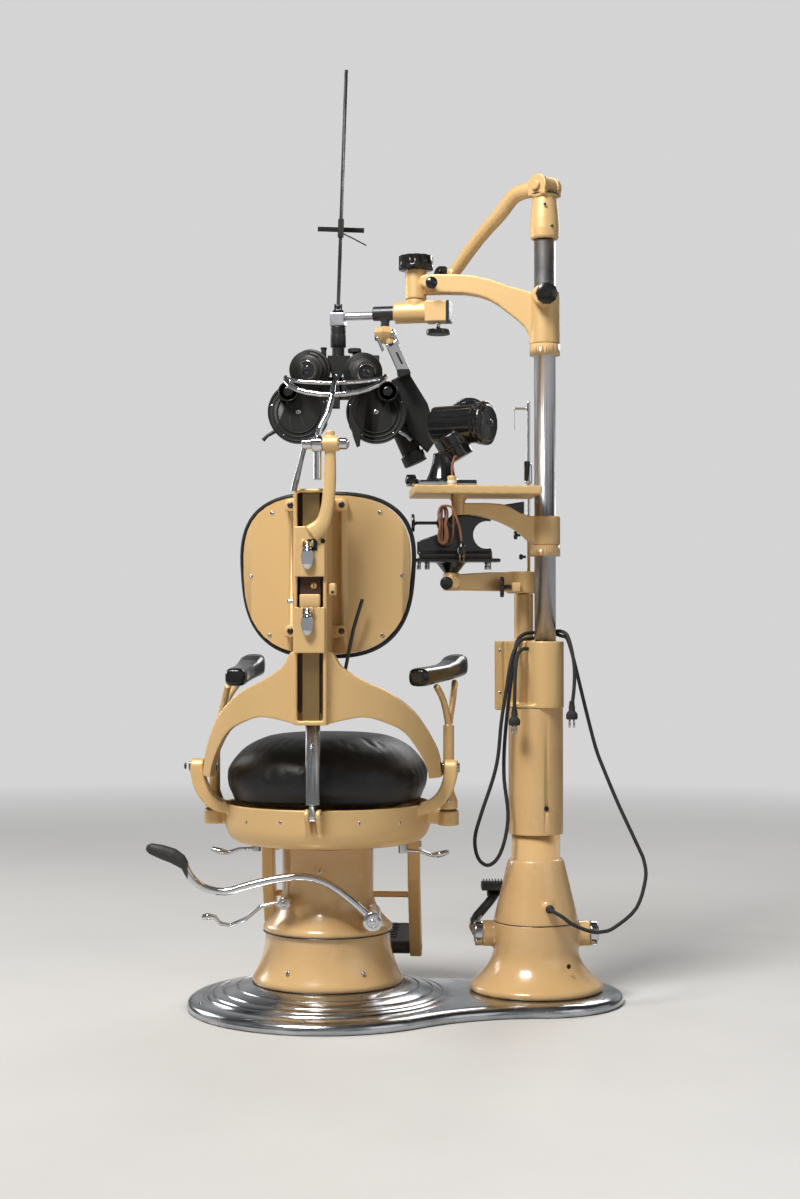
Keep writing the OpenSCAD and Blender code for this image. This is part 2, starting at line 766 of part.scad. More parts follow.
module arm_frame(lean) {
  low = arm_pad_z - arm_pad_half_h * 0.9;
  rear = [[0, 0, fork_z - cup_h], [-lean * 0.35, -2, fork_z], [-6 - lean * 0.7, -14, mix(fork_z, low, 0.6)],
    [-12 - lean, -44, low - gap]];
  front = [[0, 0, fork_z - cup_h], [-lean * 0.35, 4, fork_z], [-4 - lean * 0.7, 40, mix(fork_z, low, 0.65)],
    [-15 - lean, 83, low + 5]];
  rod_z(socket_z0 + 4, socket_z1 + cut, arm_stem_r);
  translate([0, 0, socket_z1 + gap])
    rotate_extrude()
      polygon([[0, 0], [cup_r - 4, 0], [cup_r, 5], [cup_r, cup_h / 2],
        [arm_stem_r, cup_h], [0, cup_h]]);
  sweep([[0, 0, socket_z1 + cup_h / 2], [0, 0, fork_z - cup_h], [-lean * 0.35, 0, fork_z]],
    arm_stem_r, arm_stem_r, [0, 1, 0], 16);
  sweep(spline(rear, 3), bar_d / 2, bar_d / 2, [1, 0, 0], 10);
  sweep(spline(front, 3), bar_d / 2, bar_d / 2, [1, 0, 0], 10);
}

module at_left_arm() {
  turned()
    translate([stem_off - stem_x, stem_y, 0])
      mirror([1, 0, 0])
        children();
}

module at_right_arm() {
  turned()
    translate([stem_off + stem_x, stem_y, 0])
      rotate([0, 0, -arm_swing])
        children();
}

module arm_frame_left() {
  color(cream)
    at_left_arm()
      union()
        arm_frame(arm_lean);
}

module arm_pad_left() {
  color(black)
    at_left_arm()
      arm_pad(arm_lean);
}

module arm_frame_right() {
  color(cream)
    at_right_arm()
      union()
        arm_frame(0);
}

module arm_pad_right() {
  color(black)
    at_right_arm()
      arm_pad(0);
}

// Legrest
leg_arm_w = 40;
leg_lean_share = 0.24;
leg_off = 11; // the legrest sits a little to the right
leg_end_y = leg_pivot_y + leg_len * leg_lean_share;
leg_end_z = leg_pivot_z - leg_len;
tread_pin_r = 7;
tread_t = 30;
tread_tilt = 14; // the tread's front edge stands up
tread_half_w = leg_half_w - leg_arm_t / 2 - gap * 2;
leg_rod_r = 7;

module leg_arm_2d() {
  difference() {
    union() {
      translate([leg_pivot_y, leg_pivot_z])
        circle(r = leg_pin_r * 2);
      polygon([[leg_pivot_y - leg_pin_r * 2, leg_pivot_z],
        [leg_pivot_y - leg_arm_w * 0.3, leg_pivot_z - leg_len * 0.3],
        [leg_end_y - leg_arm_w / 2, leg_end_z + leg_arm_w / 2],
        [leg_end_y - leg_arm_w / 4, leg_end_z],
        [leg_end_y + leg_arm_w / 4, leg_end_z],
        [leg_end_y + leg_arm_w / 2, leg_end_z + leg_arm_w / 2],
        [leg_pivot_y + leg_arm_w * 0.7, leg_pivot_z - leg_len * 0.3],
        [leg_pivot_y + leg_pin_r * 2, leg_pivot_z]]);
    }
    translate([leg_pivot_y, leg_pivot_z])
      circle(r = leg_pin_r + fit);
    translate([leg_end_y, leg_end_z + leg_arm_w / 2])
      circle(r = tread_pin_r + fit);
  }
}

module legrest_frame() {
  color(cream)
    turned()
      translate([leg_off, 0, 0])
      union() {
        both_sides()
          sideways(leg_half_w - leg_arm_t / 2, leg_arm_t)
            leg_arm_2d();
        rod_x(-leg_half_w, leg_half_w, leg_rod_r, mix(leg_pivot_y, leg_end_y, 0.45),
          mix(leg_pivot_z, leg_end_z, 0.45));
      }
}

module foot_tread() {
  color(black)
    turned()
      translate([leg_off, leg_end_y, leg_end_z + leg_arm_w / 2])
        difference() {
          rotate([tread_tilt, 0, 0])
            difference() {
              union() {
                block(-tread_half_w, tread_half_w, 0, tread_depth, -tread_t / 2,
                  tread_t / 2);
                rod_x(-tread_half_w, tread_half_w, tread_t / 2, 0, 0);
                rod_x(-leg_half_w - leg_arm_t / 2, leg_half_w + leg_arm_t / 2,
                  tread_pin_r, 0, 0);
              }
              for (k = [1 : 5])
                block(-tread_half_w + tread_t / 2, tread_half_w - tread_t / 2,
                  k * tread_depth / 6, k * tread_depth / 6 + tread_t / 10,
                  tread_t * 0.4, tread_t);
            }
        }
}

// Backrest yoke: half of its outline in front view, as shares of its half width and height
yoke_foot_w = 24;
yoke_washer_t = 4; // washers between the yoke's feet and the brackets
yoke_half_w = pivot_x - bracket_w / 2 - yoke_washer_t;
yoke_drop = 127; // from the lower edge of the centre down to the feet
yoke_rise = 148; // from the lower edge of the centre up to the shoulders
yoke_outer_shares = [[0.115, 1], [0.17, 0.985], [0.24, 0.79], [0.4, 0.61], [0.6, 0.44], [0.77, 0.2],
  [0.87, -0.07], [0.94, -0.4], [0.98, -0.7], [1, -1]];
yoke_inner_shares = [[0.905, -1], [0.89, -0.8], [0.83, -0.5], [0.72, -0.15], [0.58, 0.02],
  [0.42, 0.1], [0.25, 0.06], [0.115, 0]];
post_half_w = 34;
flange_t = 8;
post_rear_y = -(yoke_r + 16);
post_front_y = post_rear_y + 94;
rail_half_w = 17;
rail_rear_y = -yoke_r;
rail_t = 11;
yoke_foot_drop = 18; // feet below the pivots
carriage_front_y = post_front_y;
yoke_sill = 9;

function yoke_z(share) = share >= 0 ? yoke_foot_z + share * yoke_rise
  : mix(yoke_foot_z, pivot_z - yoke_foot_drop, -share);

function yoke_half_2d(shares) = [for (s = shares) [s[0] * yoke_half_w, yoke_z(s[1])]];

module yoke_arms() {
  intersection() {
    both_sides()
      upright(-yoke_r - cut, yoke_r + cut - pivot_y + yoke_foot_w)
        polygon(concat(spline(yoke_half_2d(yoke_outer_shares), 3),
          spline(yoke_half_2d(yoke_inner_shares), 3)));
    difference() {
      rod_z(pivot_z - yoke_drop, post_top_z, yoke_r);
      rod_z(pivot_z - yoke_drop - cut, post_top_z + cut, yoke_r - yoke_t);
    }
  }
}

handle_x = post_half_w + 14;
handle_z = yoke_foot_z + 50;
handle_y = post_front_y - 22;
handle_pin_r = 4;
handle_lug_t = 14;
stub_z = 866; // small stop peg on the post's left side
stub_r = 4.5;
stub_len = 18;

module back_yoke() {
  color(cream)
    turned()
      difference() {
        union() {
          yoke_arms();
          both_sides()
            block(post_half_w - flange_t, post_half_w, post_rear_y, post_front_y,
              yoke_foot_z, post_top_z);
          block(-post_half_w, post_half_w, post_rear_y, post_rear_y + flange_t * 2.6,
            yoke_foot_z, yoke_foot_z + yoke_sill);
          block(-post_half_w, post_half_w, post_rear_y, post_front_y,
            post_top_z - flange_t, post_top_z);
          block(-post_half_w, post_half_w, post_front_y - flange_t, post_front_y,
            yoke_foot_z, yoke_foot_z + 88);
          block(post_half_w - flange_t, handle_x, handle_y - handle_lug_t, handle_y,
            handle_z - handle_pin_r * 3, handle_z + handle_pin_r * 3);
          rod_y(handle_y - handle_lug_t, handle_y, handle_pin_r * 3, handle_x,
            handle_z);
          rod_x(-post_half_w - stub_len, -post_half_w + cut, stub_r, post_rear_y + stub_len * 2,
            stub_z);
        }
        both_sides()
          rod_x(yoke_half_w - yoke_foot_w * 2, yoke_half_w + cut, pivot_pin_r + fit,
            -pivot_y, pivot_z);
        rod_y(handle_y - handle_lug_t - cut, handle_y + cut, handle_pin_r + fit,
          handle_x, handle_z);
      }
}

module slide_rail() {
  color(tan_metal)
    turned()
      block(-rail_half_w, rail_half_w, rail_rear_y, rail_rear_y + rail_t,
        yoke_foot_z + yoke_sill, post_top_z - flange_t);
}

handle_len = 205;
handle_rod_d = 8;
handle_lean_shares = [[0, 0], [0.08, 0.35], [0.15, 0.7], [0.24, 1]];

module recline_handle() {
  path = [for (s = handle_lean_shares)
    [handle_x + s[0] * handle_len, handle_y + handle_rod_d, handle_z + s[1] * handle_len]];
  color(chrome)
    turned()
      union() {
        sweep(path, handle_rod_d / 2, handle_rod_d / 2, [0, 1, 0], 10);
        rod_y(handle_y + gap, handle_y + handle_rod_d * 1.5, handle_pin_r * 2.5, handle_x,
          handle_z);
        rod_y(handle_y - handle_lug_t, handle_y + handle_rod_d, handle_pin_r, handle_x,
          handle_z);
      }
}

// Strut between the seat and the yoke's hollow post
strut_top_z = 652;
strut_tang_r = 12;

module strut_rod() {
  color(chrome)
    turned()
      difference() {
        union() {
          rod_z(clevis_z + strut_tang_r * 1.9, strut_top_z, strut_d / 2, 0, clevis_y);
          rod_x(-clevis_slot / 2 + gap, clevis_slot / 2 - gap, strut_tang_r, clevis_y,
            clevis_z);
          block(-clevis_slot / 2 + gap, clevis_slot / 2 - gap, clevis_y - strut_tang_r,
            clevis_y + strut_tang_r, clevis_z, clevis_z + strut_tang_r * 2);
        }
        rod_x(-clevis_w, clevis_w, clevis_pin_r + fit, clevis_y, clevis_z);
      }
}

// Back carriage with its lugs, and the panel and cushion on it
slide_clear = 0.4;
block_half_w = post_half_w - 3;
tongue_half_w = post_half_w - flange_t - slide_clear;
block_t = 7;
back_block_z0 = 762;
back_block_z1 = 854;
strap_t = 8;
strap_half_w = 28;
lug_x = 53;
lug_z = panel_z + 13;
lug_half_h = 13;
lug_dz = 130; // lugs above and below their middle
lug_screw_r = 4;
panel_t = 8;
panel_wrap_r = 700; // radius to which panel and cushion are bent
panel_y = post_front_y + slide_clear * 2 + strap_t;
latch_pin_r = 2;
latch_ear_t = 3;
latch_ear_r = 5;
latch_half_w = 8;
latch_y = post_rear_y - gap - block_t - latch_ear_r;
back_latch_z = 848;
head_block_z0 = 915;
head_block_z1 = 1016;
head_latch_z = 981;
latch_x = -3;

module latch_ears(z) {
  for (x = [latch_x - latch_half_w - latch_ear_t - slide_clear, latch_x + latch_half_w + slide_clear])
    rod_x(x, x + latch_ear_t, latch_ear_r + 2, latch_y, z);
}

module latch_pin_bore(z) {
  rod_x(latch_x - latch_half_w * 2, latch_x + latch_half_w * 2, latch_pin_r + fit, latch_y, z);
}

module slide_block(z0, z1) {
  block(-block_half_w, block_half_w, post_rear_y - gap - block_t, post_rear_y - gap, z0, z1);
  block(-tongue_half_w, tongue_half_w, post_rear_y - gap - cut, rail_rear_y - slide_clear, z0, z1);
  both_sides()
    block(rail_half_w + slide_clear, tongue_half_w, post_rear_y, rail_rear_y + rail_t + block_t,
      z0 + block_t, z1 - block_t);
}

module back_carriage() {
  color(cream)
    turned()
      difference() {
        union() {
          slide_block(back_block_z0, back_block_z1);
          latch_ears(back_latch_z);
          both_sides()
            block(rail_half_w + slide_clear, tongue_half_w, post_rear_y,
              post_front_y + slide_clear * 3, back_block_z0 + block_t,
              back_block_z1 - block_t);
          block(-strap_half_w, strap_half_w, post_front_y + slide_clear * 2, panel_y,
            lug_z - lug_dz - lug_half_h, lug_z + lug_dz + lug_half_h);
          for (side = [-1, 1])
            for (x = [-lug_x, lug_x]) {
              rod_y(post_front_y + slide_clear * 2, panel_y, lug_half_h, x,
                lug_z + side * lug_dz);
              block(min(0, x), max(0, x), post_front_y + slide_clear * 2, panel_y,
                lug_z + side * lug_dz - lug_half_h,
                lug_z + side * lug_dz + lug_half_h);
            }
        }
        latch_pin_bore(back_latch_z);
      }
}

// Outline of panel and cushion: a squared oval, narrower below
outline_square = 0.72;
outline_taper_share = 0.07;
function outline_x(a, half_w) = half_w * bulge(cos(a), outline_square)
  * (1 + outline_taper_share * sin(a));
function outline_z(a, half_h) = half_h * bulge(sin(a), outline_square);
function wrap(x) = panel_wrap_r - sqrt(panel_wrap_r * panel_wrap_r - x * x);

module back_panel() {
  color(cream)
    turned()
      translate([panel_off, 0, 0])
        union() {
          intersection() {
            upright(panel_y, panel_w / 4)
              polygon([for (a = [0 : 9 : 351])
                [outline_x(a, panel_w / 2), panel_z + outline_z(a, panel_h / 2)]]);
            difference() {
              rod_z(panel_z - panel_h, panel_z + panel_h, panel_wrap_r, 0,
                panel_y + panel_wrap_r, $fn = 256);
              rod_z(panel_z - panel_h - cut, panel_z + panel_h + cut,
                panel_wrap_r - panel_t, 0, panel_y + panel_wrap_r, $fn = 256);
            }
          }
          for (side = [-1, 1])
            for (x = [-lug_x, lug_x])
              rod_y(panel_y + gap, panel_y + wrap(x - panel_off) + cut,
                lug_screw_r, x - panel_off, lug_z + side * lug_dz);
        }
}

back_swell_shares = [[0.02, 0], [0.3, 0], [0.6, 0], [0.85, 0], [1, 0], [1.035, 0.06], [1.04, 0.16], [1.015, 0.22], [1.03, 0.34], [1.0, 0.62],
  [0.9, 0.82], [0.72, 0.93], [0.45, 0.985], [0.15, 1]];

module back_cushion() {
  sides = 40;
  color(black)
    turned()
      translate([panel_off, panel_y + panel_t + gap * 2, 0])
        skin([for (s = backwards(back_swell_shares)) [for (j = [0 : sides - 1])
          let (a = 360 * j / sides, x = outline_x(a, s[0] * panel_w / 2),
            z = outline_z(a, s[0] * panel_h / 2))
          [x, wrap(x) + s[1] * back_cushion_t, panel_z + z]]]);
}

latch_len = 46;
latch_t = 5;

module latch(z) {
  oval_z = z - latch_ear_r - latch_len / 2;
  difference() {
    union() {
      translate([latch_x, latch_y, oval_z])
        rotate([90, 0, 0])
          scale([latch_half_w * 3.1 / latch_len, 1, 1])
            cylinder(h = latch_t, r = latch_len / 2);
      block(latch_x - latch_half_w, latch_x + latch_half_w, latch_y - latch_t, latch_y,
        z - latch_len / 4, z);
      rod_x(latch_x - latch_half_w, latch_x + latch_half_w, latch_ear_r - 1, latch_y, z);
    }
  }
  rod_x(latch_x - latch_half_w - latch_ear_t - slide_clear,
    latch_x + latch_half_w + latch_ear_t + slide_clear, latch_pin_r, latch_y, z);
}

module back_latch() {
  color(chrome)
    turned()
      union()
        latch(back_latch_z);
}

module headrest_latch() {
  color(chrome)
    turned()
      union()
        latch(head_latch_z);
}

// Headrest
head_off = 42; // sideways place of the headrest's middle
cross_y = post_rear_y - 14;
cross_pin_r = 6;
cross_boss_r = 15;
cross_boss_x0 = 28;
cross_boss_x1 = 60;
cross_nut_w = 17;
clamp_hub_w = 20;
clamp_hub_r = 10.8;
clamp_swell = [6, 6, 5, 6.5, 6.5];
stem_eye_x0 = 6;
head_arm_path_shares = [[0.1, 0], [0.62, 0.1], [0.84, 0.24], [0.95, 0.42], [1, 0.66], [1, 1.04]];
head_arm_swell_shares = [1.5, 1.2, 1.05, 1, 0.95, 0.7];
head_arm_half_w = 13;
head_arm_half_d = 9;

module headrest_arm() {
  rise = cross_z - head_block_z1 + 16;
  path = [for (s = head_arm_path_shares)
    [s[0] * head_off, cross_y + head_arm_half_d * 0.4, head_block_z1 - 16 + s[1] * rise + s[1] * 18]];
  color(cream)
    turned()
      difference() {
        union() {
          slide_block(head_block_z0, head_block_z1);
          block(-tongue_half_w, tongue_half_w, rail_rear_y + rail_t + slide_clear,
            rail_rear_y + rail_t + block_t, head_block_z0 + block_t,
            head_block_z1 - block_t);
          latch_ears(head_latch_z);
          sweep(spline(path, 3), [for (v = spline([for (s = head_arm_swell_shares)
            [s, 0]], 3)) v[0] * head_arm_half_w], head_arm_half_d, [0, 1, 0], 12, 0.8);
          rod_x(cross_boss_x0, cross_boss_x1, cross_boss_r, cross_y, cross_z);
          rod_x(stem_eye_x0 - clamp_hub_w + cross_pin_r, cross_boss_x1 + cross_nut_w, cross_pin_r,
            cross_y, cross_z);
          rod_x(cross_boss_x1 + gap, cross_boss_x1 + cross_nut_w, cross_boss_r * 0.8, cross_y,
            cross_z);
        }
        latch_pin_bore(head_latch_z);
      }
}

bow_low_z = 1283;
bow_back_y = -268;
bow_rise = 44;
bow_forward = 54;
inner_bow_z = 1310;
inner_bow_back_y = -246;
stem_rod_r = 7;
tail_len = 72;

function bow(low_z, back_y, top_z, front_y) = [for (a = [-90 : 15 : 90])
  [head_off + bow_half_w * sin(a), mix(back_y, front_y, pow(1 - cos(a), 1.2)),
    mix(low_z, top_z, 1 - cos(a))]];

module headrest_bow() {
  eye_x = (stem_eye_x0 + cross_boss_x0) / 2;
  stem = [[eye_x, cross_y, cross_z], [eye_x + 4, cross_y + 4, cross_z + 30],
    [mix(eye_x, head_off, 0.7), mix(cross_y, bow_back_y, 0.5), mix(cross_z, bow_low_z, 0.6)],
    [head_off, bow_back_y, bow_low_z]];
  color(chrome)
    turned()
      difference() {
        union() {
          sweep(spline(stem, 3), stem_rod_r, stem_rod_r, [0, 1, 0], 10);
          sweep(bow(bow_low_z, bow_back_y, bow_low_z + bow_rise,
            bow_back_y + bow_forward), bow_rod_d / 2, bow_rod_d / 2, [0, 0, 1], 10);
          sweep(bow(inner_bow_z, inner_bow_back_y, bow_low_z + bow_rise,
            bow_back_y + bow_forward), bow_rod_d / 2.6, bow_rod_d / 2.6, [0, 0, 1], 10);
          sweep([[head_off, bow_back_y, bow_low_z],
            [head_off, inner_bow_back_y, inner_bow_z]], bow_rod_d / 2,
            bow_rod_d / 2, [0, 1, 0], 10);
          rod_x(stem_eye_x0, cross_boss_x0 - gap, cross_boss_r, cross_y, cross_z);
          rod_z(cross_z - tail_len, cross_z, stem_rod_r + 1, eye_x, cross_y);
        }
        rod_x(stem_eye_x0 - cut, cross_boss_x0 + cut, cross_pin_r + fit, cross_y,
          cross_z);
      }
}

clamp_lever_shares = [[0, 0.02], [-0.02, 0], [-0.1, -0.35], [-0.2, -0.75], [-0.26, -1]];
clamp_lever_len = 96;

module headrest_clamp() {
  lever_x = stem_eye_x0 - clamp_hub_w * 0.6;
  path = [for (s = clamp_lever_shares) [lever_x + s[0] * clamp_lever_len,
    cross_y - cross_pin_r / 3, cross_z + s[1] * clamp_lever_len]];
  color(chrome)
    turned()
      difference() {
        union() {
          rod_x(stem_eye_x0 - clamp_hub_w, stem_eye_x0 - gap, clamp_hub_r, cross_y, cross_z);
          sweep(path, clamp_swell, clamp_swell, [0, 1, 0], 10);
        }
        rod_x(stem_eye_x0 - clamp_hub_w + cross_pin_r - gap, stem_eye_x0 + cut,
          cross_pin_r + fit, cross_y, cross_z);
      }
}

// Instrument stand, moving part
pole_x = stand_x + pole_dx;
pole_y = stand_y - pole_dy;
side_x = stand_x - 24;
side_y = stand_y + 30;
head_left_r = post_r + 24;
head_right_r = pole_r + 17;
flange_x = side_x - head_left_r - 18;
flange_w = 15;
side_post_top_z = 888;
hub_pin_r = 10;
hub_pin_h = 40;
pole_low_z = head_z + 16;
pole_end_z = pole_top_z + 64;

module stand_sleeve() {
  color(cream)
    at_stand()
      difference() {
        rod_z(sleeve_z, head_z, sleeve_r);
        rod_z(sleeve_z - cut, head_z + cut, tube_r + fit);
        rod_y(-sleeve_r - cut, -tube_r + cut, set_screw_r, pole_dx, sleeve_z + 58);
      }
}

module stand_head() {
  color(cream)
    union() {
      difference() {
        union() {
          rod_z(head_z, head_z + head_h, head_right_r, pole_x, pole_y);
          rod_z(head_z, head_z + head_h, head_left_r, side_x, side_y);
          rod_z(head_z, head_z + cast_wall, sleeve_r, stand_x, stand_y);
          block(flange_x, flange_x + flange_w, side_y - head_left_r * 0.6,
            side_y + head_left_r * 0.6, head_z - 6, head_z + head_h);
          block(flange_x + cut, side_x, side_y - head_left_r * 0.5,
            side_y + head_left_r * 0.5, head_z, head_z + head_h);
        }
        rod_z(pole_low_z, head_z + head_h + cut, pole_r + fit, pole_x, pole_y);
        rod_z(head_z + cast_wall * 4, head_z + head_h + cut, post_r + fit, side_x,
          side_y);
        for (z = [head_z + head_h * 0.23, head_z + head_h * 0.86])
          rod_x(flange_x - cut, flange_x + cast_wall, set_screw_r, side_y, z);
      }
      rod_z(head_z + cast_wall * 4, side_post_top_z, post_r, side_x, side_y);
      rod_z(side_post_top_z - cut, side_post_top_z + hub_pin_h, hub_pin_r, side_x, side_y);
    }
}

ring_collar_h = 24;

module pole() {
  color(steel)
    union() {
      rod_z(pole_low_z, pole_end_z, pole_r, pole_x, pole_y);
      for (z = [bracket_z, table_collar_z])
        rod_z(z - gap - ring_collar_h, z - gap, collar_r, pole_x, pole_y);
    }
}

cap_h = 98;
cap_r = 32;
clevis_top_z = pole_top_z + 115;
lamp_bolt_r = 7;
lamp_lug_r = 25;
lamp_lug_t = 13;
lamp_slot_deep = 4; // how far the slot runs past the lugs' round
lamp_tongue_t = 33;
lamp_turn = -42; // the arm points forward of straight left
lamp_path_shares = [[0, 0], [0.29, -0.01], [0.47, -0.15], [0.71, -0.33], [1, -0.6]];
lamp_thick = 19;
lamp_thin = 14;
lamp_knob_r = 21;

module at_pole() {
  translate([pole_x, pole_y, 0])
    children();
}

module pole_cap() {
  color(cream)
    at_pole()
      rotate([0, 0, lamp_turn])
        difference() {
          union() {
            rotate_extrude()
              polygon([[0, pole_top_z], [cap_r - 4, pole_top_z],
                [cap_r - 1, pole_top_z + 4], [cap_r, pole_top_z + 22],
                [cap_r - 1, pole_top_z + 45], [cap_r - 5, pole_top_z + cap_h - 12],
                [cap_r - 7, pole_top_z + cap_h], [0, pole_top_z + cap_h]]);
            for (side = [-1, 1])
              translate([0, side * ((lamp_tongue_t + lamp_lug_t) / 2 + gap), 0]) {
                rod_y(-lamp_lug_t / 2, lamp_lug_t / 2, lamp_lug_r, 0,
                  clevis_top_z);
                block(-cap_r * 0.7, cap_r * 0.7, -lamp_lug_t / 2, lamp_lug_t / 2,
                  pole_top_z + cap_h - cut * 4, clevis_top_z - lamp_lug_r / 2);
              }
            rod_z(pole_top_z + cap_h - cut * 4, pole_top_z + cap_h,
              lamp_tongue_t / 2 + lamp_lug_t);
          }
          rod_z(pole_top_z - cut, pole_end_z + gap, pole_r + fit);
          rod_y(-lamp_tongue_t * 2, lamp_tongue_t * 2, lamp_bolt_r + fit, 0,
            clevis_top_z);
          rod_y(-lamp_tongue_t / 2 - gap, lamp_tongue_t / 2 + gap, lamp_lug_r + lamp_slot_deep,
            0, clevis_top_z);
          block(-cap_r * 2, 0, -lamp_tongue_t / 2 - gap, lamp_tongue_t / 2 + gap,
            clevis_top_z - lamp_lug_r - lamp_slot_deep, clevis_top_z + lamp_lug_r * 2);
        }
}

module lamp_arm() {
  path = spline([for (s = lamp_path_shares) [-s[0] * lamp_len, 0, s[1] * lamp_len]], 4);
  thick = [for (k = [0 : 16]) mix(lamp_thick, lamp_thin, k / 16)];
  tip = path[16];
  out = lamp_tongue_t / 2 + lamp_lug_t + gap * 2;
  color(cream)
    at_pole()
      rotate([0, 0, lamp_turn])
        translate([0, 0, clevis_top_z])
          union() {
            rod_y(-lamp_tongue_t / 2, lamp_tongue_t / 2, lamp_lug_r - 2, 0, 0);
            rod_y(-out - lamp_bolt_r, out + lamp_bolt_r, lamp_bolt_r, 0, 0);
            for (y = [-out - lamp_bolt_r, out])
              rod_y(y, y + lamp_bolt_r, lamp_bolt_r * 1.6, 0, 0);
            sweep(path, thick, [for (v = thick) min(v, lamp_tongue_t / 2)],
              [0, 1, 0], 14);
            rod_y(-lamp_thin - 3, lamp_thin + 3, lamp_thin, tip[0], tip[2]);
            translate([tip[0], 0, tip[2]])
              rotate([0, -80, 0]) {
                cylinder(h = lamp_knob_r * 2, r = lamp_bolt_r);
                translate([0, 0, lamp_knob_r])
                  cylinder(h = lamp_knob_r * 0.8, r = lamp_knob_r);
              }
          }
}

// Refractor bracket on the pole, its handwheel and the arm below
bracket_len = 287;
bracket_turn = -12; // the bracket points forward of straight left
bracket_h = 114;
bracket_t = 36;
hub_cyl_r = 24;
hub_cyl_z0 = bracket_z + 109;
hub_cyl_z1 = bracket_z + 175;
spindle_r = 10;
wheel_r = 38;
wheel_t = 30;
bracket_top_shares = [[0.1, 1], [0.15, 1.045], [0.26, 1.13], [0.43, 1.29], [0.62, 1.39], [0.92, 1.42]];
bracket_low_shares = [[0.92, 1.06], [0.62, 1.03], [0.43, 0.9], [0.29, 0.65], [0.15, 0.34],
  [0.1, 0.06]];

module at_bracket() {
  translate([pole_x, pole_y, 0])
    rotate([0, 0, bracket_turn])
      mirror([1, 0, 0])
        children();
}

module refractor_bracket() {
  color(cream)
    at_bracket()
      difference() {
        union() {
          rod_z(bracket_z, bracket_z + bracket_h, collar_r);
          upright(-bracket_t / 2, bracket_t)
            polygon(concat(
              spline([for (s = bracket_top_shares)
                [s[0] * bracket_len, bracket_z + s[1] * bracket_h]], 2),
              spline([for (s = bracket_low_shares)
                [s[0] * bracket_len, bracket_z + s[1] * bracket_h]], 2)));
          rod_z(hub_cyl_z0, hub_cyl_z1, hub_cyl_r, bracket_len);
          rod_y(-collar_r - 26, -collar_r / 2, 21, 0, bracket_z + 100);
          rod_y(-hub_cyl_r - 18, -hub_cyl_r / 2, 14, bracket_len - 30,
            hub_cyl_z1 - 32);
        }
        rod_z(bracket_z - cut, bracket_z + bracket_h * 2, pole_r + fit);
        rod_z(hub_cyl_z0 - cut, hub_cyl_z1 + cut, spindle_r + fit, bracket_len);
      }
}

module handwheel() {
  flutes = 12;
  color(black)
    at_bracket()
      translate([bracket_len, 0, 0])
        union() {
          difference() {
            rod_z(hub_cyl_z1 + gap, hub_cyl_z1 + wheel_t, wheel_r);
            for (k = [0 : flutes - 1])
              rotate([0, 0, 360 * k / flutes])
                rod_z(hub_cyl_z1 + wheel_t * 0.35, hub_cyl_z1 + wheel_t + cut, 5,
                  wheel_r + 2);
          }
          rod_z(hub_cyl_z0 + 20, hub_cyl_z1 + wheel_t / 2, spindle_r);
        }
}

hang_x = pole_x - bracket_len * cos(bracket_turn);
hang_y = pole_y - bracket_len * sin(bracket_turn);
arm_z = hub_cyl_z0 - 28; // middle height of the refractor arm
arm_r = 24;
sleeve_small_r = 16;
taper_r = 9;
refractor_x = 17;
refractor_y = 125;
reach_x = hang_x - refractor_x;
reach_y = refractor_y - hang_y;
reach_len = norm([reach_x, reach_y]);
reach_turn = -atan2(reach_y, reach_x);
lift_gap = 0.5;
tube_hang = 70; // place of the lamp box along the arm
tube_drop = 48;

module at_hanger() {
  translate([hang_x, hang_y, 0])
    rotate([0, 0, reach_turn])
      mirror([1, 0, 0])
        children();
}

module refractor_arm() {
  color(cream)
    at_hanger()
      difference() {
        union() {
          rod_x(-24, 46, arm_r, 0, arm_z);
          block(-78, -24, -arm_r, arm_r, arm_z - arm_r, arm_z + arm_r * 0.9);
          rod_x(46, 96, sleeve_small_r, 0, arm_z);
          rod_x(96, reach_len - 15, taper_r, 0, arm_z - 4);
          rod_z(arm_z, hub_cyl_z0 - lift_gap, arm_r * 0.9);
          rod_z(hub_cyl_z0 - arm_r, hub_cyl_z0 + 19, spindle_r);
          block(reach_len - 16, reach_len + 16, -15, 15, arm_z - 26, arm_z + 4);
          rod_z(arm_z - arm_r - 20, arm_z, 5, -50);
          rod_z(arm_z - arm_r - 27, arm_z - arm_r - 16, 26, -50);
          rod_z(arm_z - 58, arm_z, 10, tube_hang);
        }
        rod_z(arm_z - 80, arm_z + 80, 9 + fit, reach_len);
        rod_x(tube_hang - 30, tube_hang + 30, 5 + fit, 0, arm_z - tube_drop);
      }
}

rod_foot_z = arm_z + 19;
rod_w = 8;
rod_t = 4;
rod_lean = 1.9;
rod_eye_r = 6;
rod_pin_r = 2.5;
holder_z = 156;
holder_h = 40;
holder_bar = 104;

frame_z = 1425; // lower end of the refractor's neck
half_gap = 0.5;
guide_r = 6;
guide_z = 1400;
centre_half_w = 24;
centre_t = 34;

module at_refractor() {
  translate([refractor_x, refractor_y, 0])
    children();
}

module refractor_frame() {
  color(black)
    at_refractor()
      union() {
        rod_z(frame_z + 19, arm_z - 26 - lift_gap, 17);
        rod_z(frame_z - 20, frame_z + 20, 14);
        rod_z(frame_z, arm_z + 8, 9);
        rod_z(arm_z + 4 + lift_gap, arm_z + 10, 13);
        difference() {
          for (side = [-1, 1])
            block(side * 7 - 2, side * 7 + 2, -rod_eye_r, rod_eye_r, arm_z + 9,
              rod_foot_z + rod_eye_r);
          rod_x(-20, 20, rod_pin_r + fit, 0, rod_foot_z);
        }
        upright(-centre_t / 2, centre_t)
          polygon([[-centre_half_w, frame_z - 8], [-centre_half_w * 0.62, frame_z - 43],
            [centre_half_w * 0.62, frame_z - 43], [centre_half_w, frame_z - 8]]);
        rod_x(-92, 92, guide_r, 0, guide_z);
      }
}

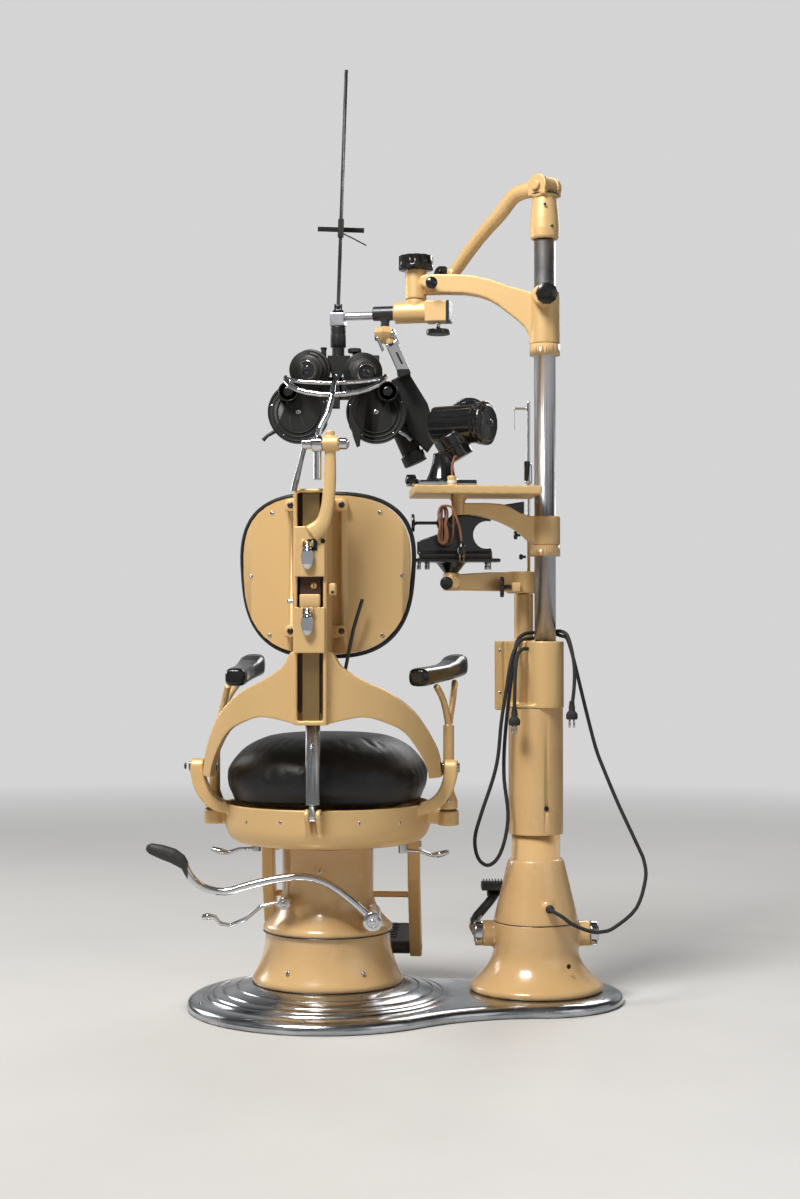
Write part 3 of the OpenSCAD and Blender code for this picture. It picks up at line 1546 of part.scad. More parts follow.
eye_dx = [-64, 56];
eye_z = 1384;
eye_off_z = 7; // the right eyepiece sits lower
drum_dx = [-88, 85];
drum_z = 1293;
eye_front_y = -40;
drum_front_y = -20;
dial_r = 22.5;
dial_dx = [-109, 111];
dial_z = 1336;
dial_t = 22;
dial_shaft_r = 4;
pd_travel = 6;

module refractor_half(i) {
  side = i == 0 ? -1 : 1;
  ez = eye_z - i * eye_off_z;
  lug_x0 = side * (centre_half_w + pd_travel);
  difference() {
    union() {
      rod_y(drum_front_y, drum_front_y + drum_t, drum_r, drum_dx[i], drum_z);
      rod_y(eye_front_y, drum_front_y + drum_t, eyepiece_r, eye_dx[i], ez);
      rod_y(eye_front_y - 5, eye_front_y + cut, eyepiece_r * 0.82, eye_dx[i], ez);
      rod_y(eye_front_y - 9, eye_front_y + cut, eyepiece_r * 0.62, eye_dx[i], ez);
      translate([min(lug_x0, lug_x0 + side * 50), -13, guide_z - 14])
        cube([50, 26, 28]);
    }
    rod_x(-120, 120, guide_r + fit, 0, guide_z);
    rod_y(eye_front_y - 12, drum_front_y + drum_t + cut, 12, eye_dx[i], ez - 8);
    rod_y(drum_front_y - cut, drum_front_y + drum_t / 2, dial_shaft_r + fit, dial_dx[i],
      dial_z);
    block(-centre_half_w - half_gap, centre_half_w + half_gap, -centre_t, centre_t,
      drum_z - drum_r, frame_z);
  }
}

module refractor_left() {
  color(black)
    at_refractor()
      refractor_half(0);
}

module refractor_right() {
  color(black)
    at_refractor()
      refractor_half(1);
}

module dial(i) {
  flutes = 10;
  difference() {
    rod_y(drum_front_y - gap - dial_t, drum_front_y - gap, dial_r, dial_dx[i], dial_z);
    for (k = [0 : flutes - 1])
      translate([dial_dx[i] + (dial_r + 1) * cos(36 * k), 0, dial_z + (dial_r + 1) * sin(36 * k)])
        rod_y(drum_front_y - dial_t - cut * 2, drum_front_y - dial_t / 3, 3);
  }
  rod_y(drum_front_y - dial_t / 2, drum_front_y + drum_t / 2 - gap, dial_shaft_r,
    dial_dx[i], dial_z);
}

module dial_left() {
  color(black)
    at_refractor()
      union()
        dial(0);
}

module dial_right() {
  color(black)
    at_refractor()
      union()
        dial(1);
}

// Near point rod over the refractor, with its card holder
module at_rod() {
  translate([refractor_x, refractor_y, rod_foot_z])
    rotate([0, rod_lean, 0])
      children();
}

module near_rod() {
  color(steel)
    union() {
      at_rod() {
        block(-rod_w / 2, rod_w / 2, -rod_t / 2, rod_t / 2, 0, rod_len);
        rod_x(-rod_w / 2, rod_w / 2, rod_eye_r);
      }
      at_refractor()
        rod_x(-rod_w / 2 - 5, rod_w / 2 + 5, rod_pin_r, 0, rod_foot_z);
    }
}

module card_holder() {
  color(black)
    at_rod()
      difference() {
        union() {
          block(-6.5, 6.5, -5, 5, holder_z, holder_z + holder_h);
          block(-holder_bar / 2, holder_bar / 2, 5 - cut, 9, holder_z + 13,
            holder_z + 23);
          sweep([[0, 8, holder_z + 12], [28, 10, holder_z], [58, 14, holder_z - 14]],
            1.5, 1.5, [0, 1, 0], 8);
        }
        block(-rod_w / 2 - gap, rod_w / 2 + gap, -rod_t / 2 - gap, rod_t / 2 + gap,
          holder_z - cut, holder_z + holder_h + cut);
      }
}

// Tilted lamp box that hangs from the arm beside the refractor
tube_tilt = 24;
box_y = 47; // how far the box hangs in front of its pin
box_d = 34;
box_shares = [[-0.26, -0.91], [0.17, -0.9], [0.28, -1.72], [0.19, -2.5], [-0.17, -2.72],
  [-0.39, -2.11]];
box_unit = 100;

module side_tube() {
  color(black)
    translate([hang_x - tube_hang * cos(reach_turn), hang_y - tube_hang * sin(reach_turn),
      arm_z - tube_drop])
      union() {
        rotate([0, 0, reach_turn]) {
          rod_x(-25, 25, 5, 0, 0);
          for (x = [-22, 15])
            rod_x(x, x + 7, 13, 0, 0);
        }
        rotate([0, -tube_tilt, 0]) {
          translate([5, 0, 0]) {
            for (x = [-26, 11])
              block(x, x + 6, -11, 11, -30, 2);
            block(-13, 13, -12, 12, -88, -22);
            block(-13, 13, -12, box_y + box_d / 2, -102, -82);
          }
          upright(box_y, box_d)
            polygon(box_shares * box_unit);
          translate([-50, box_y + 24, 0]) {
            rod_z(-262, -180, 22);
            rod_z(-284, -260, 27);
          }
          block(-50, 0, box_y + 8, box_y + 30, -250, -190);
        }
      }
}

// Instrument table with its collar, arm and post
table_x = 316;
table_y = 6;
table_turn = 4;
table_post_x = 280;
table_post_y = -20;
table_post_r = 14;
table_collar_h = 63;
grommet_x = 266;
grommet_y = -62;
grommet_r = 10;
grommet_h = 21;
table_arm_h = 26;
table_arm_t = 30;
table_arm_len = norm([pole_x - table_post_x, pole_y - table_post_y]);
table_arm_turn = atan2(pole_y - table_post_y, pole_x - table_post_x);
table_arm_top_shares = [[0.1, 0.95], [0.3, 1.08], [0.52, 1.39], [0.96, 1.4]];
table_arm_low_shares = [[0.96, 1.02], [0.78, 0.98], [0.55, 0.82], [0.33, 0.5], [0.15, 0.04]];
flex_d = 5;

module instrument_table() {
  color(cream)
    difference() {
      union() {
        translate([table_x, table_y, table_z])
          rotate([0, 0, table_turn])
            translate([-table_w / 2, -table_d / 2, 0])
              cube([table_w, table_d, table_t]);
        rod_z(table_collar_z, table_collar_z + table_collar_h, collar_r, pole_x, pole_y);
        rod_z(table_collar_z + table_collar_h, table_z + cut, table_post_r,
          table_post_x, table_post_y);
        rod_z(table_z - 10, table_z + cut, table_post_r * 1.3, table_post_x,
          table_post_y);
        translate([pole_x, pole_y, 0])
          rotate([0, 0, table_arm_turn])
            mirror([1, 0, 0])
              upright(-table_arm_t / 2, table_arm_t)
                polygon(concat(
                  spline([for (s = table_arm_top_shares)
                    [s[0] * table_arm_len,
                      table_collar_z + s[1] * table_collar_h]], 3),
                  spline([for (s = table_arm_low_shares)
                    [s[0] * table_arm_len,
                      table_collar_z + s[1] * table_collar_h]], 3)));
        rod_z(table_z + table_t - cut, table_z + table_t + grommet_h, grommet_r,
          grommet_x, grommet_y);
      }
      rod_z(table_collar_z - cut, table_z + table_t + cut, pole_r + fit, pole_x, pole_y);
      rod_z(table_z - cut, table_z + table_t + grommet_h + cut, flex_d / 2 + 1,
        grommet_x, grommet_y);
    }
}

// Keratometer on the table
scope_x = 247;
scope_y = 6;
scope_z = table_z + table_t;
scope_foot_t = 15;
scope_foot_w = 126;
scope_foot_d = 78;
neck_h = 60;
neck_low_r = 37;
neck_top_r = 20;
lamp_ring_r = 25;
barrel_r = 44;
barrel_z = 138; // over the table
scope_disc_r = 48;
scope_turn = -29; // the barrel's face is turned to the sitter's rear
rear_disc_r = 46;

module keratometer() {
  top = scope_foot_t + neck_h;
  color(black)
    translate([scope_x, scope_y, scope_z])
      union() {
        translate([-scope_foot_w * 0.42, -scope_foot_d / 2, gap])
          cube([scope_foot_w, scope_foot_d, scope_foot_t - gap]);
        rod_x(-scope_foot_w * 0.42 - 28, -scope_foot_w * 0.42 + cut, 5, -10, scope_foot_t);
        rod_x(-scope_foot_w * 0.42 - 26, -scope_foot_w * 0.42 - 4, 13.5, -10,
          scope_foot_t);
        rotate_extrude()
          polygon(concat([[0, scope_foot_t - cut]],
            cove(neck_low_r, scope_foot_t - cut, neck_top_r, top, 1.8), [[0, top]]));
        translate([20, 0, top + 26])
          rotate([0, 150, 0]) {
            translate([0, 0, -14])
              cylinder(h = 28, r = 36);
            cylinder(h = 42, r = 30);
          }
        translate([44, 0, barrel_z])
          rotate([0, 0, scope_turn]) {
            rod_x(-66, 50, barrel_r - 2, 0, 0);
            rod_x(-70, -50, barrel_r - 8, 0, 0);
            rod_x(38, 52, scope_disc_r - 2, 0, 0);
            rod_x(50, 60, scope_disc_r, 0, 0);
            rod_x(58, 66, scope_disc_r * 0.8, 0, 0);
            rod_x(64, 72, 6, 0, 0);
          }
        rod_y(-5, barrel_r + 12, rear_disc_r - 8, 60, barrel_z + 14);
        rod_y(barrel_r - 4, barrel_r + 8, rear_disc_r, 60, barrel_z + 18);
      }
}

// Lower arm on the side post, and the instrument that it carries
lower_arm_z = 889;
lower_arm_h = 48;
low_pivot_x = 266;
low_pivot_y = 25;
low_boss_r = 18;
low_pin_r = 8;
low_len = norm([side_x - low_pivot_x, side_y - low_pivot_y]);
low_turn = atan2(side_y - low_pivot_y, side_x - low_pivot_x);
accessory_x = 13;
accessory_y = 26;
accessory_r = 4;
accessory_top_z = 1317;

module at_side() {
  translate([side_x, side_y, 0])
    rotate([0, 0, low_turn])
      mirror([1, 0, 0])
        children();
}

module lower_arm() {
  color(cream)
    union() {
      at_side()
        difference() {
          union() {
            rod_z(lower_arm_z + gap, lower_arm_z + lower_arm_h, 38);
            upright(-14, 28)
              polygon([[0, lower_arm_z + 4], [low_len, lower_arm_z + 6],
                [low_len, lower_arm_z + 40], [low_len * 0.5, lower_arm_z + 46],
                [0, lower_arm_z + lower_arm_h - 1]]);
            rod_z(lower_arm_z + 5, lower_arm_z + 44, low_boss_r, low_len);
            rod_y(-low_boss_r - 14, -low_boss_r / 2, 14, low_len + 4,
              lower_arm_z + 22);
          }
          rod_z(lower_arm_z + 12, lower_arm_z + 60, low_pin_r + fit, low_len);
          rod_z(lower_arm_z - cut, side_post_top_z + hub_pin_h + cut, hub_pin_r + fit);
        }
      translate([side_x + accessory_x, side_y + accessory_y, 0]) {
        rod_z(lower_arm_z + lower_arm_h / 2, accessory_top_z, accessory_r);
        rod_z(accessory_top_z - 183, accessory_top_z - 139, 8);
        rod_x(-34, 4, 3, 0, accessory_top_z - 16);
        rod_z(accessory_top_z - 66, accessory_top_z - 15, 1.5, -31);
      }
    }
}

low_z = lower_arm_z + 44 + gap; // underside of the instrument
pan_z = low_z + 22;
pan_w = 184;
pan_d = 66;
stand_arc_r = 30;
low_half_t = 18;

module lower_instrument() {
  color(black)
    translate([low_pivot_x, low_pivot_y, 0])
      union() {
        rod_z(lower_arm_z + 16, pan_z, low_pin_r);
        translate([0, 0, low_z])
          cylinder(h = pan_z - low_z, r1 = low_boss_r - 2, r2 = pan_d / 2);
        block(-78, -78 + pan_w, -pan_d / 2, pan_d / 2, pan_z, pan_z + 8);
        block(-70, -70 + pan_w * 0.86, -pan_d / 2 + 6, pan_d / 2 - 6, pan_z + 8,
          pan_z + 20);
        difference() {
          upright(-low_half_t / 2, low_half_t)
            polygon([[-74, pan_z + 18], [90, pan_z + 18], [84, pan_z + 44],
              [88, pan_z + 108], [88, pan_z + 124], [40, pan_z + 116], [4, pan_z + 108],
              [-28, pan_z + 62], [-74, pan_z + 46]]);
          rod_y(-low_half_t, low_half_t, stand_arc_r, 78, pan_z + 60);
        }
        upright(low_half_t / 2 - cut, 4)
          polygon([[44, pan_z + 96], [86, pan_z + 100], [86, pan_z + 123],
            [44, pan_z + 116]]);
        upright(low_half_t / 2 + 2, 16)
          polygon([[44, pan_z + 96], [160, pan_z + 96], [160, pan_z + 134],
            [44, pan_z + 116]]);
        rod_x(-86, 0, 4, 0, pan_z + 86);
        rod_x(-30, 10, 12, 0, pan_z + 86);
        rod_x(-86, -79, 20, 0, pan_z + 86);
      }
}

// Leads and flex: routes chosen by hand, in frame coordinates
lead_d = 8;
mains_route = [[474, -48, 214], [474, -51, 214], [474, -54, 214], [482, -62, 210], [500, -66, 200], [521, -68, 185], [558, -64, 170],
  [585, -58, 168], [612, -48, 176], [661, -24, 213], [684, 0, 272], [682, 10, 310],
  [670, 14, 340], [629, 24, 430], [598, 28, 505], [580, 30, 554], [556, 22, 645],
  [532, 20, 744], [520, 35, 788], [510, 44, 795], [507, 47, 796],
  [504, 50, 797]];
head_route = [[504, 50, 797], [498, 56, 799], [486, 62, 795], [470, 64, 791], [452, 58, 791], [434, 40, 790],
  [418, 20, 786], [405, 5, 770], [394, -4, 738], [384, -10, 680], [373, -11, 610],
  [366, -10, 537], [354, -10, 485], [330, -10, 414], [316, -9, 360], [323, -7, 318],
  [344, -4, 302], [366, -1, 318], [382, 2, 360], [388, 3, 414], [380, 4, 485],
  [380, 6, 545], [385, 8, 610], [393, 9, 680], [402, 16, 742], [410, 33, 784],
  [428, 50, 800], [450, 67, 803], [472, 72, 804], [492, 66, 805], [506, 46, 806],
  [518, 20, 797], [526, 4, 766], [531, -5, 727], [530, -8, 684], [525, -10, 644]];
short_route = [[433, 16, 768], [428, 14, 768], [418, 4, 766], [408, -10, 754], [403, -22, 722],
  [401, -28, 680],
  [400, -30, 632]];
plug_len = 28;
plug_r = 12;
plug_neck_r = 7;
prong_r = 2.4;
prong_len = 18;
prong_gap = 9.5;

module mains_lead() {
  echo(mains_lead_length = path_length(spline(mains_route, 2)));
  color(black)
    cord(spline(mains_route, 2), lead_d, [0.3, 1, 0.2]);
}

module head_lead() {
  echo(head_lead_length = path_length(head_route));
  color(black)
    union() {
      cord(head_route, lead_d);
      plug(head_route[35]);
    }
}

module short_lead() {
  path = spline(short_route, 2);
  echo(short_lead_length = path_length(path));
  color(black)
    union() {
      cord(path, lead_d);
      plug(short_route[6]);
    }
}

module plug(p) {
  translate(p) {
    rotate_extrude()
      polygon([[0, cut], [plug_neck_r, cut], [plug_neck_r, -plug_len * 0.35],
        [plug_r, -plug_len * 0.5], [plug_r, -plug_len], [0, -plug_len]]);
    for (side = [-1, 1])
      rod_z(-plug_len - prong_len, -plug_len + cut, prong_r, side * prong_gap / 2);
  }
}

flex_route = [[280, -34, 1176], [274, -44, 1180], [269, -54, 1170], [266, -61, 1152],
  [266, -62, 1138], [266, -62, 1098], [267, -61, 1080], [269, -56, 1050], [268, -50, 1015],
  [264, -48, 997], [257, -47.5, 992], [252, -47.5, 992]];
flex_tail_route = [[252, -73.6, 1072], [257, -73.6, 1072], [266, -77, 1067], [274, -82, 1048], [282, -80, 1022],
  [286, -78, 994]];
hank_x = 247;
hank_y = -62;
hank_z = 1032;
hank_half_h = 40;
hank_half_w = 14;
hank_loops = 4;
hank_pitch = 5.8;
hank_waist_share = 0.45;

function hank_point(t) = let (a = 360 * t)
  [hank_x + hank_half_w * sin(a) * (hank_waist_share + (1 - hank_waist_share)
    * abs(cos(a)) * 1.3), hank_y + hank_pitch * (hank_loops / 2 - t),
    hank_z + hank_half_h * cos(a)];

module flex_hank() {
  turns = [for (k = [-12 : hank_loops * 24]) hank_point(k / 24)];
  end_run = [flex_d, 0, 0];
  path = concat([turns[0] + end_run], turns, [turns[len(turns) - 1] + end_run]);
  near = min([for (i = [0 : len(path) - 25]) norm(path[i + 24] - path[i])]) - flex_d;
  echo(flex_hank_least_gap = near, flex_hank_length = path_length(path));
  color(brown)
    cord(path, flex_d, [0, 1, 0], 6);
}

module flex_lead() {
  echo(flex_lead_length = path_length(flex_route));
  color(brown)
    cord(flex_route, flex_d);
}

module flex_tail() {
  echo(flex_tail_length = path_length(flex_tail_route));
  color(brown)
    union() {
      cord(flex_tail_route, flex_d);
      plug(flex_tail_route[5]);
    }
}

base_plate();
pedestal_skirt();
pump_housing();
lift_cylinder();
stand_foot();
stand_cone();
pump_lever();
release_lever();
pedal_arm();
pedal_tread();
lift_ram();
seat_frame();
seat_cushion();
pivot_pins();
turn_lock_lever();
legrest_lever();
arm_frame_left();
arm_pad_left();
arm_frame_right();
arm_pad_right();
legrest_frame();
foot_tread();
back_yoke();
slide_rail();
recline_handle();
strut_rod();
back_carriage();
back_panel();
back_cushion();
back_latch();
headrest_arm();
headrest_latch();
headrest_bow();
headrest_clamp();
stand_sleeve();
stand_head();
pole();
pole_cap();
lamp_arm();
refractor_bracket();
handwheel();
refractor_arm();
refractor_frame();
refractor_left();
refractor_right();
dial_left();
dial_right();
near_rod();
card_holder();
side_tube();
instrument_table();
keratometer();
lower_arm();
lower_instrument();
mains_lead();
head_lead();
short_lead();
flex_lead();
flex_hank();
flex_tail();
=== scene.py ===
"""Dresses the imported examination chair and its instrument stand, in metres in the row frame."""
from __future__ import annotations

import json
import logging
import math
from dataclasses import dataclass, field
from enum import Enum
from typing import Callable, Iterable, Sequence, Union

import bmesh
import bpy
import numpy as np
from mathutils import Matrix, Vector

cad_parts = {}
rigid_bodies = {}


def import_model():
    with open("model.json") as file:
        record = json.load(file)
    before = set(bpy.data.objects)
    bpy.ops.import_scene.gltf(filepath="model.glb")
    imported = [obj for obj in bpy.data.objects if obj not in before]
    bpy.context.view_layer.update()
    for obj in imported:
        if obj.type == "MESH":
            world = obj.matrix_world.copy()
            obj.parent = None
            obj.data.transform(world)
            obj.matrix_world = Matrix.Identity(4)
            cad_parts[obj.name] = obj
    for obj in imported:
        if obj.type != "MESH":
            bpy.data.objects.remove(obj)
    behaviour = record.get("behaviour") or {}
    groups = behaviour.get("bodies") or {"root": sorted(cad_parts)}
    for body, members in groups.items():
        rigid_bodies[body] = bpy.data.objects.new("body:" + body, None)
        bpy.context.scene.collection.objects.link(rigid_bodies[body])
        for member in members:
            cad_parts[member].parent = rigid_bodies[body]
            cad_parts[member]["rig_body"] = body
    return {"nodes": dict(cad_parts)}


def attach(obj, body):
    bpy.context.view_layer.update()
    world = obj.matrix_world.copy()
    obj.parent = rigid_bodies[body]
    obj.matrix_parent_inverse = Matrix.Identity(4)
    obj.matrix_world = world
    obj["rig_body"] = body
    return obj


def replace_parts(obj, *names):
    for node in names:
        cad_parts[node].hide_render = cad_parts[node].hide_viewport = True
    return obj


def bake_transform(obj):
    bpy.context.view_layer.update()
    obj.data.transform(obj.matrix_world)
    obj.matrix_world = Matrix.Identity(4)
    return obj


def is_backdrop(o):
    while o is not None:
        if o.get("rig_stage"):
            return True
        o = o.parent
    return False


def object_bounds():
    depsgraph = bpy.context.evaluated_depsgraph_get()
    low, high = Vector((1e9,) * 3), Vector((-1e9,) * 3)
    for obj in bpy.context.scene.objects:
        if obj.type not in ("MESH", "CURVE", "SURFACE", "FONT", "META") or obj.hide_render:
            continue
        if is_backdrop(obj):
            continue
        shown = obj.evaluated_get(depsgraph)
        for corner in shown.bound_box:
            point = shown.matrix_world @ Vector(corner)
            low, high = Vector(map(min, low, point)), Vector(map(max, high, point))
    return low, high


LOG = logging.getLogger("chair")
MM = 0.001
IDENTITY = Matrix.Identity(4)
Point = Sequence[float]
Colour = tuple[float, float, float]
Tree = bpy.types.NodeTree
Socket = bpy.types.NodeSocket
Value = Union[float, tuple, bpy.types.NodeSocket]


def turn(degrees: float, axis: str = "Z", about: Point = (0, 0, 0)) -> Matrix:
    """A turn about an axis.

    Args:
        degrees: how far.
        axis: X, Y or Z.
        about: a point of the axis, in millimetres.

    Returns:
        The turn's matrix.
    """
    spot = Vector(about)
    return (Matrix.Translation(spot) @ Matrix.Rotation(math.radians(degrees), 4, axis)
            @ Matrix.Translation(-spot))


CHAIR_TURN = -5
STAND_SPOT = (452, 56, 0)
POLE_SPOT = (471, 31, 0)
CHAIR = turn(CHAIR_TURN)
STAND = Matrix.Translation(STAND_SPOT)
POLE = Matrix.Translation(POLE_SPOT)
REFRACTOR = Matrix.Translation((17, 125, 0))


class Pose(Enum):
    """Which way a turned shape's own axis points."""

    UP = (0, 0, 1)
    RIGHT = (1, 0, 0)
    LEFT = (-1, 0, 0)
    REAR = (0, -1, 0)

    @classmethod
    def sideways(cls, side: int) -> "Pose":
        """Right for a positive side, left for a negative one."""
        return cls.RIGHT if side > 0 else cls.LEFT

    @staticmethod
    def direction(pose: "Pose | Vector") -> Vector:
        """The unit vector of a pose, or of a vector given in its place."""
        return Vector(pose.value) if isinstance(pose, Pose) else Vector(pose).normalized()


# Node trees


def node(tree: Tree, kind: str, settings: dict | None = None, **inputs: Value) -> bpy.types.Node:
    """Adds a node, sets its options and fills or links its inputs.

    Args:
        tree: the tree that gets the node.
        kind: the node's type.
        settings: options set as attributes.
        **inputs: values or sockets by input name, with _ for a blank.

    Returns:
        The new node.
    """
    made = tree.nodes.new(kind)
    for key, value in (settings or {}).items():
        setattr(made, key, value)
    for key, value in inputs.items():
        plug(tree, value, made.inputs[key.replace("_", " ")])
    return made


def plug(tree: Tree, value: Value, socket: Socket) -> None:
    """Links a socket to an input, or writes a plain value there.

    Args:
        tree: the tree that they are in.
        value: a socket or a plain value.
        socket: the input.
    """
    if isinstance(value, bpy.types.NodeSocket):
        tree.links.new(value, socket)
    else:
        socket.default_value = value


def blend_colours(tree: Tree, factor: Value, first: Value, second: Value) -> Socket:
    """Mixes two colours by a mask.

    Args:
        tree: the tree that gets the node.
        factor: the mask.
        first: the colour where the mask is 0.
        second: the colour where the mask is 1.

    Returns:
        The mixed colour's socket.
    """
    mixed = node(tree, "ShaderNodeMix", {"data_type": "RGBA"})
    for index, value in ((0, factor), (6, first), (7, second)):
        if isinstance(value, tuple):
            value = (*value, 1.0)
        plug(tree, value, mixed.inputs[index])
    return mixed.outputs[2]


def sums(tree: Tree, operation: str, first: Value, second: Value, clamp: bool = False) -> Socket:
    """Works out a sum of two numbers.

    Args:
        tree: the tree that gets the node.
        operation: the Math node's operation.
        first: the first number.
        second: the second number.
        clamp: whether the result stays between 0 and 1.

    Returns:
        The result's socket.
    """
    made = node(tree, "ShaderNodeMath", {"operation": operation, "use_clamp": clamp})
    plug(tree, first, made.inputs[0])
    plug(tree, second, made.inputs[1])
    return made.outputs[0]


def span(tree: Tree, value: Value, low: float, high: float, to_low: float, to_high: float) -> Socket:
    """Maps a value from one range to another, clamped.

    Args:
        tree: the tree that gets the node.
        value: the value.
        low: start of its range.
        high: end of its range.
        to_low: what the start becomes.
        to_high: what the end becomes.

    Returns:
        The result's socket.
    """
    made = node(tree, "ShaderNodeMapRange", {"clamp": True}, Value=value)
    for key, number in (("From Min", low), ("From Max", high), ("To Min", to_low), ("To Max", to_high)):
        made.inputs[key].default_value = number
    return made.outputs["Result"]


def noise(tree: Tree, vector: Socket, scale: float, detail: float = 3.0, roughness: float = 0.55) -> Socket:
    """The value of a noise pattern at a vector."""
    return node(tree, "ShaderNodeTexNoise", Vector=vector, Scale=scale, Detail=detail,
                Roughness=roughness).outputs["Fac"]


def group(name: str, sockets: Sequence[tuple[str, str, str, float]]) -> tuple:
    """Starts a shader group.

    Args:
        name: the group's name.
        sockets: (name, IN or OUT, socket type, default) for each socket.

    Returns:
        The tree, its input node's outputs and its output node's inputs.
    """
    tree = bpy.data.node_groups.new(name, "ShaderNodeTree")
    for label, way, kind, default in sockets:
        made = tree.interface.new_socket(label, in_out=way + "PUT", socket_type="NodeSocket" + kind)
        if way == "IN" and kind == "Float":
            made.default_value = default
    return tree, tree.nodes.new("NodeGroupInput").outputs, tree.nodes.new("NodeGroupOutput").inputs


def wear_group() -> Tree:
    """Rounded edges and the mask of what has worn off them.

    Returns:
        The group edge_wear.
    """
    tree, given, out = group("edge_wear", [
        ("Radius", "IN", "Float", 0.002), ("Spread", "IN", "Float", 0.1),
        ("Wear", "OUT", "Float", 0), ("Round", "OUT", "Vector", 0)])
    bevel = node(tree, "ShaderNodeBevel", {"samples": 4}, Radius=given["Radius"])
    facing = node(tree, "ShaderNodeNewGeometry")
    dot = node(tree, "ShaderNodeVectorMath", {"operation": "DOT_PRODUCT"})
    tree.links.new(bevel.outputs["Normal"], dot.inputs[0])
    tree.links.new(facing.outputs["Normal"], dot.inputs[1])
    edge = sums(tree, "SUBTRACT", 1.0, dot.outputs["Value"], True)
    place = node(tree, "ShaderNodeTexCoord").outputs["Object"]
    patches = span(tree, noise(tree, place, 34, 5, 0.7), 0.5, 0.62, 0, 1)
    mask = sums(tree, "MULTIPLY", span(tree, edge, 0.05, 0.25, 0, 1), patches)
    plug(tree, sums(tree, "MULTIPLY", mask, given["Spread"], True), out["Wear"])
    plug(tree, bevel.outputs["Normal"], out["Round"])
    return tree


def corner_shade_and_dirt_group() -> Tree:
    """Painted shade that darkens corners and recesses by ambient occlusion, patchy in clouds, with soil
    specks on open faces.

    Returns:
        The group grime.
    """
    tree, given, out = group("grime", [
        ("Reach", "IN", "Float", 0.02), ("Amount", "IN", "Float", 0.5), ("Dirt", "OUT", "Float", 0)])
    # Painted shade: ambient occlusion darkens corners and recesses.
    hidden = node(tree, "ShaderNodeAmbientOcclusion", {"samples": 4}, Distance=given["Reach"])
    place = node(tree, "ShaderNodeTexCoord").outputs["Object"]
    corner = sums(tree, "SUBTRACT", 1.0, hidden.outputs["AO"], True)
    cloudy = span(tree, noise(tree, place, 22, 4, 0.6), 0.35, 0.7, 0.25, 1)
    deep = sums(tree, "MULTIPLY", sums(tree, "POWER", corner, 1.6), cloudy)
    specks = node(tree, "ShaderNodeTexVoronoi", Vector=place, Scale=130.0).outputs["Distance"]
    rare = span(tree, noise(tree, place, 9, 2), 0.52, 0.66, 0, 1)
    dots = sums(tree, "MULTIPLY", span(tree, specks, 0.05, 0.1, 1, 0), rare)
    both = sums(tree, "MAXIMUM", deep, sums(tree, "MULTIPLY", dots, 0.6))
    plug(tree, sums(tree, "MULTIPLY", both, given["Amount"], True), out["Dirt"])
    return tree


def smudge_group() -> Tree:
    """Soft cloudy marks of handling and hair scratches, as a mask from 0 to 1.

    Returns:
        The group smudges.
    """
    tree, given, out = group("smudges", [
        ("Size", "IN", "Float", 12), ("Scratches", "IN", "Float", 0.3), ("Mask", "OUT", "Float", 0)])
    place = node(tree, "ShaderNodeTexCoord").outputs["Object"]
    cloud = node(tree, "ShaderNodeTexNoise", Vector=place, Scale=given["Size"], Detail=5.0,
                 Roughness=0.62, Distortion=0.6).outputs["Fac"]
    lines = None
    for angle, stretch in ((0.4, 26.0), (1.9, 40.0)):
        mapped = node(tree, "ShaderNodeMapping", Vector=place)
        mapped.inputs["Rotation"].default_value = (angle, angle * 1.7, angle * 0.6)
        mapped.inputs["Scale"].default_value = (1, stretch, 3)
        thin = span(tree, noise(tree, mapped.outputs[0], 28, 2), 0.66, 0.7, 0, 1)
        lines = thin if lines is None else sums(tree, "MAXIMUM", lines, thin)
    marks = sums(tree, "MULTIPLY", lines, given["Scratches"])
    plug(tree, sums(tree, "ADD", span(tree, cloud, 0.35, 0.75, 0, 0.8), marks, True), out["Mask"])
    return tree


def streak_group() -> Tree:
    """Grinding lines that run round an upright bar.

    Returns:
        The group streaks.
    """
    tree, given, out = group("streaks", [
        ("Fineness", "IN", "Float", 900), ("Lines", "OUT", "Float", 0)])
    place = node(tree, "ShaderNodeTexCoord").outputs["Object"]
    mapped = node(tree, "ShaderNodeMapping", Vector=place)
    mapped.inputs["Scale"].default_value = (1, 1, 0.02)
    fine = node(tree, "ShaderNodeTexNoise", Vector=mapped.outputs[0], Scale=given["Fineness"], Detail=2.0)
    plug(tree, fine.outputs["Fac"], out["Lines"])
    return tree


def grain_group() -> Tree:
    """Leather's pebbled grain with the fine creases between.

    Returns:
        The group leather_grain.
    """
    tree, given, out = group("leather_grain", [("Grain", "IN", "Float", 700), ("Height", "OUT", "Float", 0)])
    place = node(tree, "ShaderNodeTexCoord").outputs["Object"]
    wobble = node(tree, "ShaderNodeTexNoise", Vector=place, Scale=60.0, Detail=2.0)
    bent = node(tree, "ShaderNodeVectorMath", {"operation": "MULTIPLY_ADD"})
    plug(tree, wobble.outputs["Color"], bent.inputs[0])
    bent.inputs[1].default_value = (0.004, 0.004, 0.004)
    plug(tree, place, bent.inputs[2])
    cells = node(tree, "ShaderNodeTexVoronoi", {"feature": "SMOOTH_F1"}, Vector=bent.outputs[0],
                 Scale=given["Grain"]).outputs["Distance"]
    soft = noise(tree, place, 240, 4)
    plug(tree, sums(tree, "ADD", sums(tree, "MULTIPLY", cells, 0.7), sums(tree, "MULTIPLY", soft, 0.5)),
         out["Height"])
    return tree


EFFECTS: dict[str, Callable[[], Tree]] = {
    "edge_wear": wear_group, "grime": corner_shade_and_dirt_group, "smudges": smudge_group,
    "streaks": streak_group, "leather_grain": grain_group}


